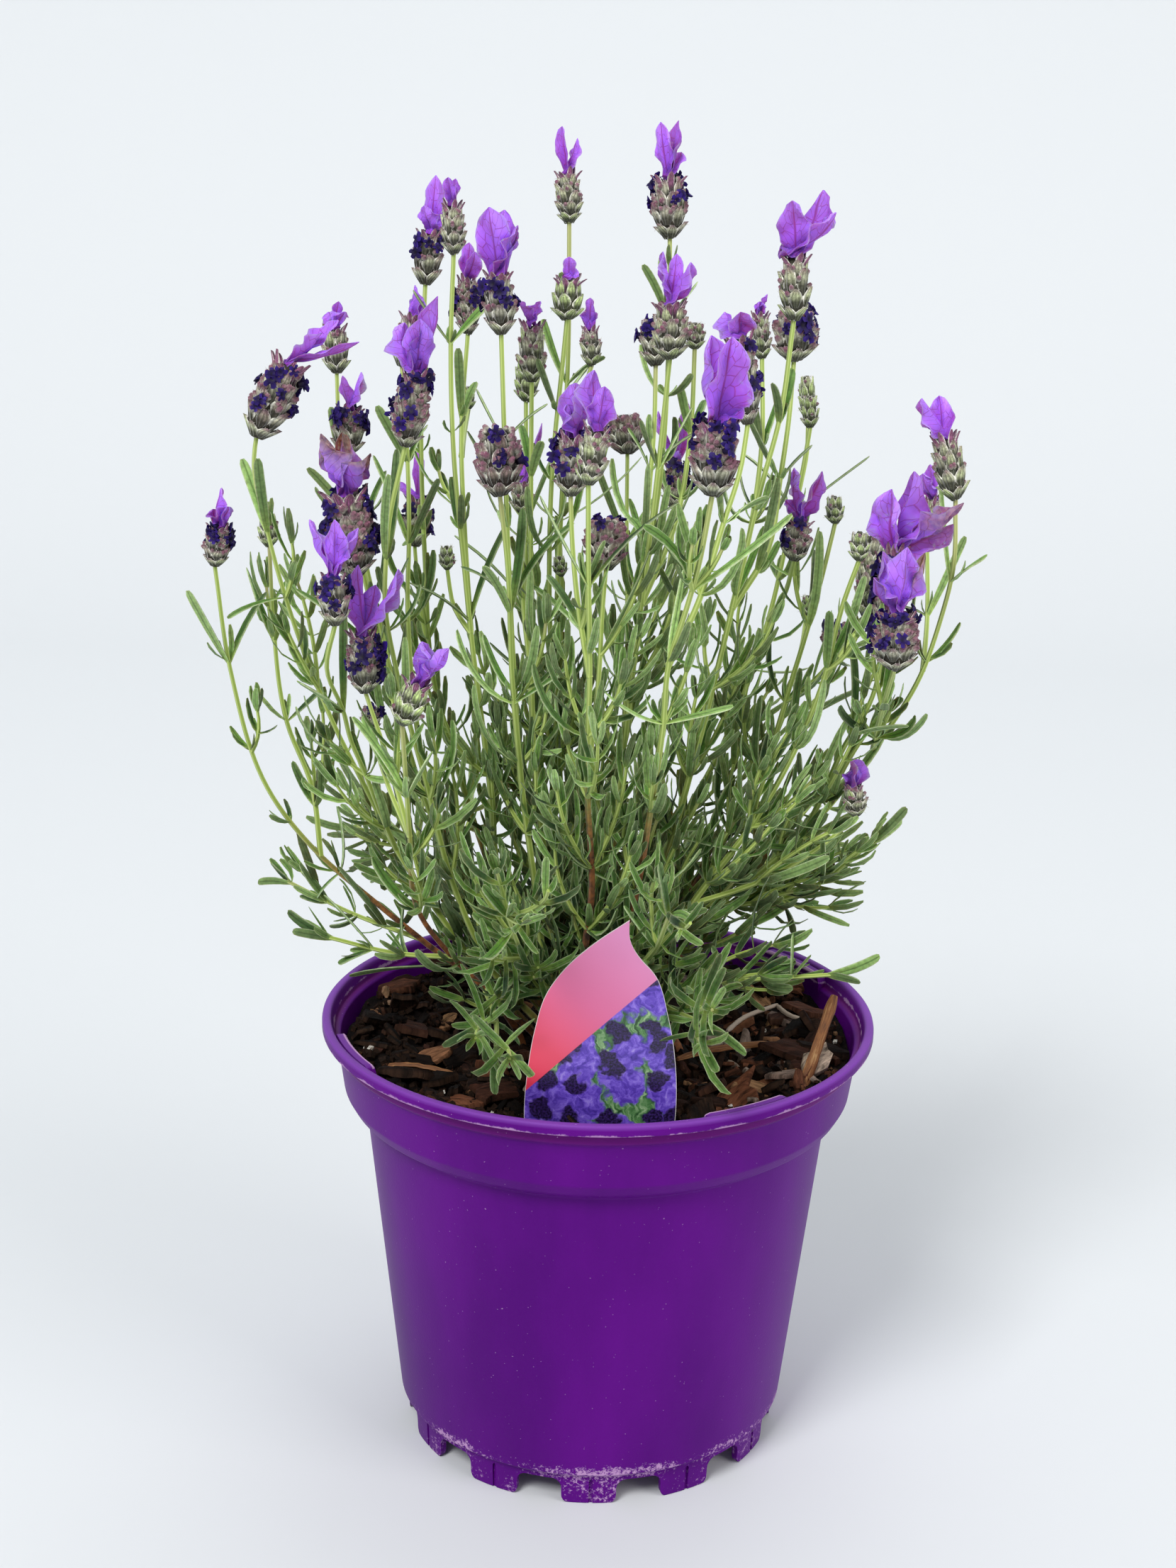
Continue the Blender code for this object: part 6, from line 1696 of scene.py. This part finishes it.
def downy_stem(look):
    """Square green stem with short down, ridged at its corners, brown and barky at the foot of the plant."""
    mat, add, shader = new_material(
        "downy_stem", IOR=1.42, Roughness=0.6, Sheen_Weight=0.2, Sheen_Roughness=0.5)
    across, along, tint, wood = read_marks(add)
    place = add("TexCoord").outputs["Object"]
    height = add("SeparateXYZ", {0: place}).outputs["Z"]
    # Ridges: four corners round the stem are paler, with darker furrows between
    turn = add("Math", {0: across, 1: 8 * math.pi}, operation="MULTIPLY")
    wave = add("Math", {0: turn}, operation="COSINE")
    furrowed = overlay(add, "#97AC48", (height, 0.17, 0.33, 1.0, look.stem), (wave, 0.0, 1.0, 0.5, "#CFDC8E"),
                       (wave, -0.2, -1.0, 0.4, "#6E8436"))
    flush = add("MapRange", {0: tint, 1: 0.62, 4: 0.6})
    top = add("MapRange", {0: along, 1: 0.78})
    rosy = add("Math", {0: flush, 1: top}, operation="MULTIPLY")
    rose = add("Mix", {0: rosy, 6: furrowed, 7: "#B59A84"}, data_type="RGBA")
    bark = add("TexNoise", {"Vector": place, "Scale": 500.0, "Detail": 4.0})
    brown = add("ValToRGB", {0: bark}, ((0.35, "#3C2012"), (0.65, "#94592A")))
    colour = add("Mix", {0: wood, 6: rose, 7: brown}, data_type="RGBA")
    return wire(mat, shader, colour, bark, 0.3, 0.0003)


def woolly_scale():
    """Flower cone scale: dry green to purple-brown, dark nerves, a pale woolly edge partly painted as
    highlight, a foot in painted shadow; woollier calyces.
    """
    mat, add, shader = new_material(
        "woolly_scale", IOR=1.42, Roughness=0.8, Sheen_Weight=0.3, Sheen_Roughness=0.45,
        Specular_IOR_Level=0.3)
    across, along, _, ripe = read_marks(add)
    wide = add("Math", {0: across}, operation="ABSOLUTE")
    stage = add("Math", {0: ripe, 1: 0.5}, operation="MULTIPLY")
    body = add("ValToRGB", {0: stage}, (
        (0.0, "#ADC27E"), (1.0, "#D6D3C8"), (0.20, "#B0B592"), (0.36, "#ABA996"), (0.50, "#8A7C70"),
        (0.74, "#944A7C"), (0.88, "#BDB8AC")))
    # Nerves about 0.9 mm apart, darker and raised
    turn = add("Math", {0: across, 1: 4.6 * math.pi}, operation="MULTIPLY")
    wave = add("Math", {0: turn}, operation="COSINE")
    # The foot of a scale is painted dark, a painted shadow of the scale below; the pale woolly edge is partly
    # a painted highlight
    woolly = overlay(add, body, (wave, 0.35, 0.9, 0.56, "#464A2C"), (along, 0.66, 0.34, 0.86, "#17150D"),
                     (wide, 0.66, 0.94, 0.92, "#EFEEDF"))
    # Tips turn purple as the head ripens
    tip = add("MapRange", {0: along, 1: 0.70, 2: 0.98, 4: 0.85})
    ripeness = add("MapRange", {0: ripe, 1: 0.10, 2: 0.5, 3: 0.12})
    stain = add("Math", {0: tip, 1: ripeness}, operation="MULTIPLY")
    tipped = add("Mix", {0: stain, 6: woolly, 7: "#6A3850"}, data_type="RGBA")
    mottle = add("TexNoise", {
        "Vector": add("TexCoord").outputs["Object"], "Scale": 1100.0, "Detail": 4.0, "Roughness": 0.7})
    return wire(mat, shader, shaded(add, tipped, mottle, 0.3, 0.7, 0.62, 2.10), wave, 0.7)


def velvet_floret(look):
    """Open floret: velvety blue-black violet lobes, darkest in the throat."""
    mat, add, shader = new_material("velvet_floret", IOR=1.42, Roughness=0.55, Specular_IOR_Level=0.3)
    _, along, tint, _ = read_marks(add)
    lobe = add("ValToRGB", {0: along}, ((0.0, "#0B0318"), (1.0, look.floret), (0.40, "#1C0A48")))
    return wire(mat, shader, shaded(add, lobe, tint, 0.0, 1.0, 0.55, 1.35))


def plant_wool():
    """Fine white hairs on the cones, some soiled by pollen."""
    mat, add, shader = new_material("plant_wool", IOR=1.45, Roughness=0.6)
    return wire(mat, shader, add("ValToRGB", {0: read_marks(add)[2]}, ((0.0, "#C2BDB0"), (1.0, "#F2F0EA"))))


def papery_bract(look):
    """Papery violet bract: thin enough to glow, netted with darker veins, paler at its wavy edge."""
    mat, add, shader = new_material(
        "papery_bract", IOR=1.40, Roughness=0.55, Sheen_Weight=0.10, Specular_IOR_Level=0.3,
        Subsurface_Weight=0.3, Subsurface_Scale=0.003)
    across, along, tint, brown = read_marks(add)
    place = add("TexCoord").outputs["Object"]
    wide = add("Math", {0: across}, operation="ABSOLUTE")
    # Darker towards the foot: painted shade where the bracts crowd at the top of the cone
    body = add("ValToRGB", {0: along}, ((0.0, look.bract_base), (1.0, look.bract_tip), (0.34, look.bract)))
    # Light and dark clouds some 5 mm across
    cloud = add("TexNoise", {"Vector": place, "Scale": 190.0, "Detail": 3.0})
    depth = add("Math", {0: tint, 1: 0.55, 2: cloud}, operation="MULTIPLY_ADD")
    toned = shaded(add, body, depth, 0.35, 1.2, 0.60, 1.42)
    # Side veins leave the rib about 2 mm apart and curve up to the edge
    climb = add("Math", {0: wide, 1: -0.30, 2: along}, operation="MULTIPLY_ADD")
    net = add("CombineXYZ", {0: across, 1: climb, 2: 0.0})
    scaled = add("Mapping", {"Vector": net, "Scale": (2.2, 8.0, 1.0)})
    cells = add("TexVoronoi", {"Vector": scaled, "Scale": 1.0, "Randomness": 0.85},
                feature="DISTANCE_TO_EDGE", voronoi_dimensions="2D")
    vein = add("MapRange", {0: cells, 1: 0.06, 2: 0.0, 4: 0.62})
    rib = add("MapRange", {0: wide, 1: 0.09, 2: 0.02, 4: 0.7})
    lines = add("Math", {0: vein, 1: rib}, operation="MAXIMUM")
    grain = add("TexNoise", {"Vector": place, "Scale": 600.0, "Detail": 3.0})
    dead = add("ValToRGB", {0: grain}, ((0.35, "#4E3A30"), (0.65, "#A08068")))
    # Veins, a paler edge, and the brown of withered parts
    dry = overlay(add, toned, (lines, 0.0, 1.0, 1.0, "#7A1F6E"), (wide, 0.86, 1.0, 0.5, "#B994E4"),
                  (brown, 0.0, 1.0, 1.0, dead))
    return wire(mat, shader, dry, lines, 0.4)


def colour_value(text, name, description):
    """Return a colour setting from an sRGB hex value."""
    return FloatVectorProperty(name=name, description=description, subtype="COLOR", size=3, min=0.0, max=1.0,
                               default=linear(text))


class LavenderColours(bpy.types.PropertyGroup):
    """Colours of the pot and the plant."""

    body: colour_value("#5E0A82", "Pot", "Purple of the pot's body")
    body_dark: colour_value("#500773", "Pot, dark flow", "Darker flow marks in the moulding")
    # The lip's paler top is a painted highlight
    lip: colour_value("#8049AC", "Pot lip", "Paler purple of the lip's top")
    band: colour_value("#651560", "Pot band", "Redder purple of the band under the lip")
    scuff: colour_value("#C79FCB", "Scuffs", "Scuffs, flash and dust on the pot")
    leaf: colour_value("#5A8832", "Leaf", "Mid green of the leaves")
    # The darkest green stands for old leaves and for painted shade inside the bush
    leaf_dark: colour_value("#142F18", "Old leaf", "Green of the darker leaves")
    leaf_pale: colour_value("#9ABE70", "Felted leaf", "Grey-green of the most felted leaves")
    stem: colour_value("#B0C768", "Stem", "Yellow-green of the flower stems")
    floret: colour_value("#2B1370", "Floret", "Dark violet of the open florets")
    bract: colour_value("#9656D8", "Bract", "Violet of the bracts on top of the heads")
    # The darker foot of a bract is painted shade
    bract_base: colour_value("#7A33A6", "Bract base", "Darker violet at the foot of a bract")
    bract_tip: colour_value("#AC76EA", "Bract tip", "Paler violet at a bract's tip")


class LavenderSizes(bpy.types.PropertyGroup):
    """Sizes and counts of the added pieces."""

    pot_steps: IntProperty(name="Pot steps", description="Steps round the pot's wall", default=160, min=48)
    chips: IntProperty(name="Bark chips", description="Chips strewn over the mix", default=620, min=0)
    crumbs: IntProperty(name="Crumbs", description="Fine crumbs strewn over the mix", default=2600, min=0)
    perlite: IntProperty(name="Perlite", description="White grains in the mix", default=70, min=0)
    leaf_width: FloatProperty(name="Leaf width", description="Leaf width as a share of the solids' width",
                              subtype="FACTOR", default=0.92, min=0.5, max=1.2)
    bract_width: FloatProperty(name="Bract width", description="Bract width as a share of the solids' width",
                               subtype="FACTOR", default=1.0, min=0.5, max=1.2)
    wool: BoolProperty(name="Wool", description="Fine hairs on the flower cones", default=True)
    floor_size: FloatProperty(name="Floor", description="Width of the floor", subtype="DISTANCE",
                              unit="LENGTH", default=6.0, min=1.0)


def draw_plant():
    """Return the branches, leaf pairs, other leaves, side shoots and small leaves, worked out once."""
    if not drawn:
        plants = settle(build_branches())
        sites = leaf_pairs(plants)
        drawn["plants"] = plants
        drawn["pairs"], drawn["leaves"] = keep_leaves(plants, sites)
        drawn["shoots"], drawn["smalls"] = fill_joints(plants, sites)
    return drawn


drawn = {}


class LAVENDER_OT_build_pot(bpy.types.Operator):
    """Mould the purple nursery pot"""

    bl_idname = "lavender.build_pot"
    bl_label = "Pot"

    def execute(self, context):
        make_pot(context.scene.lavender_colours, context.scene.lavender_sizes)
        return {"FINISHED"}


class LAVENDER_OT_build_soil(bpy.types.Operator):
    """Fill the pot with bark mix, chips, crumbs, straw and perlite"""

    bl_idname = "lavender.build_soil"
    bl_label = "Bark mix"

    def execute(self, context):
        sizes = context.scene.lavender_sizes
        make_soil_bed()
        make_chips(sizes)
        make_crumbs("bark_crumbs", sizes.crumbs, 0.9, 2.8, pine_bark(), 43, 1.2)
        make_crumbs("perlite_grains", sizes.perlite, 0.8, 1.8, expanded_perlite(), 47, 1.6)
        make_sticks()
        return {"FINISHED"}


class LAVENDER_OT_build_label(bpy.types.Operator):
    """Stand the printed plant label in the mix"""

    bl_idname = "lavender.build_label"
    bl_label = "Plant label"

    def execute(self, context):
        make_label()
        return {"FINISHED"}


class LAVENDER_OT_build_shoots(bpy.types.Operator):
    """Grow the square stems and side shoots"""

    bl_idname = "lavender.build_shoots"
    bl_label = "Stems"

    def execute(self, context):
        plant = draw_plant()
        paint = downy_stem(context.scene.lavender_colours)
        rng = np.random.default_rng(7)
        for stem, lines in plant["plants"].items():
            pile = Pile()
            rows = STEMS[stem][1]
            woody = SOIL_Z + rng.uniform(20, 115)
            for b, line in enumerate(lines):
                end = rows[b][0]
                line = np.asarray(line)
                if isinstance(end, str):
                    foot, top, _ = head_frame(end)
                    line = np.concatenate([line[:-1], [foot, foot + unit(top - foot) * 3.0]])
                radii = (1.5, 1.08, 0.88, 0.76, 0.68, 0.64) if b == 0 else (0.90, 0.78, 0.70, 0.65, 0.63)
                add_stem(pile, line, radii, woody if b == 0 else SOIL_Z + 12.0, rng)
            for line in plant["shoots"][stem]:
                add_stem(pile, line, (0.75, 0.65, 0.5), SOIL_Z - 30.0, rng, 6)
            pile.piece(f"shoots_{stem[-2:]}", paint, "lavender_green", stem)
        return {"FINISHED"}


class LAVENDER_OT_build_leaves(bpy.types.Operator):
    """Grow the felted leaves"""

    bl_idname = "lavender.build_leaves"
    bl_label = "Leaves"

    def execute(self, context):
        plant = draw_plant()
        paint = felted_leaf(context.scene.lavender_colours)
        wide = context.scene.lavender_sizes.leaf_width
        rng = np.random.default_rng(11)
        for stem in plant["plants"]:
            pile = Pile()
            rows = [(leaf, section, rng.uniform(0.0, lift)) for leaves, section, lift in (
                (sum(plant["pairs"][stem], []), FINE_LEAF, 0.08), (plant["leaves"][stem], FINE_LEAF, 0.40),
                (plant["smalls"][stem], PLAIN_LEAF, 0.30)) for leaf in leaves]
            for leaf, section, lift in rows:
                p, along, side, size, width, start, end = leaf
                if p[2] > HIGH_LEAF or not inside_bush(leaf_curve(leaf, (1.0,))[0]):
                    size *= HIGH_SHRINK
                add_leaf(pile, (p, along, side, size, width * wide, start, end), rng, section, lift)
            if pile.count:
                pile.piece(f"leaves_{stem[-2:]}", paint, "lavender_green")
        return {"FINISHED"}


class LAVENDER_OT_build_heads(bpy.types.Operator):
    """Grow the flower cones with their scales, florets and wool"""

    bl_idname = "lavender.build_heads"
    bl_label = "Flower heads"

    def execute(self, context):
        paints = woolly_scale(), velvet_floret(context.scene.lavender_colours), plant_wool()
        finishes = list(zip(("cones", "florets", "wool"), paints,
                            ("lavender_green", "lavender_violet", "lavender_green")))
        for stem, (_, rows) in STEMS.items():
            piles = Pile(), Pile(), Pile()
            for end, _, _ in rows:
                if isinstance(end, str):
                    add_cone(*piles, end)
            for pile, (part, paint, slot) in zip(piles, finishes):
                if pile.count and (part != "wool" or context.scene.lavender_sizes.wool):
                    pile.piece(f"{part}_{stem[-2:]}", paint, slot)
        return {"FINISHED"}


class LAVENDER_OT_build_bracts(bpy.types.Operator):
    """Open the violet bracts on top of the heads"""

    bl_idname = "lavender.build_bracts"
    bl_label = "Bracts"

    def execute(self, context):
        paint = papery_bract(context.scene.lavender_colours)
        wide = context.scene.lavender_sizes.bract_width
        rng = np.random.default_rng(23)
        for head in HEADS:
            width = HEADS[head][8] * wide
            withers = WITHERED.get(head, ())
            pile = Pile()
            for k, line_of in enumerate(bract_lines(head)):
                add_petal(pile, line_of, width, withers[k] if k < len(withers) else 0.0, rng)
            if pile.count:
                pile.piece(f"petals_{head[1:]}", paint, "lavender_violet", f"bracts_{head[1:]}")
        return {"FINISHED"}


def area_light(name, place, target, size, power, tint):
    """Place a soft square light that looks at a target."""
    data = bpy.data.lights.new(name, "AREA")
    data.size = size
    data.energy = power
    data.color = tint
    obj = put(name, data)
    obj.location = place
    obj.rotation_euler = (Vector(target) - Vector(place)).to_track_quat("-Z", "Y").to_euler()


class LAVENDER_OT_build_stage(bpy.types.Operator):
    """Set the pale floor, the soft studio light and the camera"""

    bl_idname = "lavender.build_stage"
    bl_label = "Stage"

    def execute(self, context):
        scene = context.scene
        size = scene.lavender_sizes.floor_size
        # Uncoated paper, lit evenly
        mat = new_material("matt_paper_sweep", Roughness=0.9, Base_Color=rgba("#D2D6D9"))[0]
        back, bend = 0.17 * size, 0.13 * size
        run = [(-0.5 * size, 0.0), (back, 0.0)]
        run += [(back + bend * math.sin(a), bend * (1 - math.cos(a))) for a in np.linspace(0.1, 1.571, 14)]
        run.append((back + bend, 0.6 * size))
        mesh = bpy.data.meshes.new("paper_sweep")
        mesh.from_pydata([(x, y, z) for y, z in run for x in (-0.5 * size, 0.5 * size)], [],
                         [(2 * i, 2 * i + 1, 2 * i + 3, 2 * i + 2) for i in range(len(run) - 1)])
        mesh.shade_smooth()
        mesh.materials.append(mat)
        sweep = put("paper_sweep", mesh)
        world = bpy.data.worlds.new("studio")
        world.use_nodes = True
        light = world.node_tree.nodes["Background"].inputs
        light["Color"].default_value, light["Strength"].default_value = rgba("#F1F3F7"), 0.52
        scene.world = world
        middle = (0.0, 0.0, 0.2)
        area_light("window_front", (-1.9, -3.6, 4.6), middle, 2.0, 264.0, (1.0, 0.99, 0.97))
        area_light("window_side", (3.4, -2.2, 2.6), middle, 2.4, 76.0, (1.0, 0.96, 0.92))
        area_light("window_top", (0.2, 0.7, 2.6), middle, 1.2, 10.0, (0.97, 0.98, 1.0))
        data = bpy.data.cameras.new("view")
        data.sensor_width = 36.0
        data.lens = VIEW_FOCAL * 36.0 / FRAME_LONG
        data.clip_start = 0.01
        view = put("view", data)
        forward, right, up = view_axes()
        turn = Matrix((right, up, -forward)).transposed().to_4x4()
        view.matrix_world = Matrix.Translation(Vector(to_frame(VIEW_EYE))) @ turn
        scene.camera = view
        scene.view_settings.view_transform = "Standard"
        scene.view_settings.look = "None"
        return {"FINISHED"}


class LAVENDER_PT_pieces(bpy.types.Panel):
    """Buttons for each group of pieces, and their settings"""

    bl_label = "Potted lavender"
    bl_idname = "LAVENDER_PT_pieces"
    bl_space_type = "VIEW_3D"
    bl_region_type = "UI"
    bl_category = "Lavender"

    def draw(self, context):
        column = self.layout.column(align=True)
        for step in STEPS:
            column.operator(step.bl_idname)
        for group in (context.scene.lavender_sizes, context.scene.lavender_colours):
            box = self.layout.box()
            for key in type(group).__annotations__:
                box.prop(group, key)


STEPS = (
    LAVENDER_OT_build_pot, LAVENDER_OT_build_soil, LAVENDER_OT_build_label, LAVENDER_OT_build_shoots,
    LAVENDER_OT_build_leaves, LAVENDER_OT_build_heads, LAVENDER_OT_build_bracts, LAVENDER_OT_build_stage)
CLASSES = (LavenderColours, LavenderSizes, *STEPS, LAVENDER_PT_pieces)


def register():
    """Add the settings, operators and panel."""
    for item in CLASSES:
        bpy.utils.register_class(item)
    bpy.types.Scene.lavender_colours = PointerProperty(type=LavenderColours)
    bpy.types.Scene.lavender_sizes = PointerProperty(type=LavenderSizes)


def unregister():
    """Remove the settings, operators and panel."""
    del bpy.types.Scene.lavender_colours
    del bpy.types.Scene.lavender_sizes
    for item in reversed(CLASSES):
        bpy.utils.unregister_class(item)


def main():
    """Add the settings, operators and panel, then build every piece and the stage."""
    register()
    for step in STEPS:
        group, name = step.bl_idname.split(".")
        getattr(getattr(bpy.ops, group), name)()


if __name__ == "__main__":
    main()
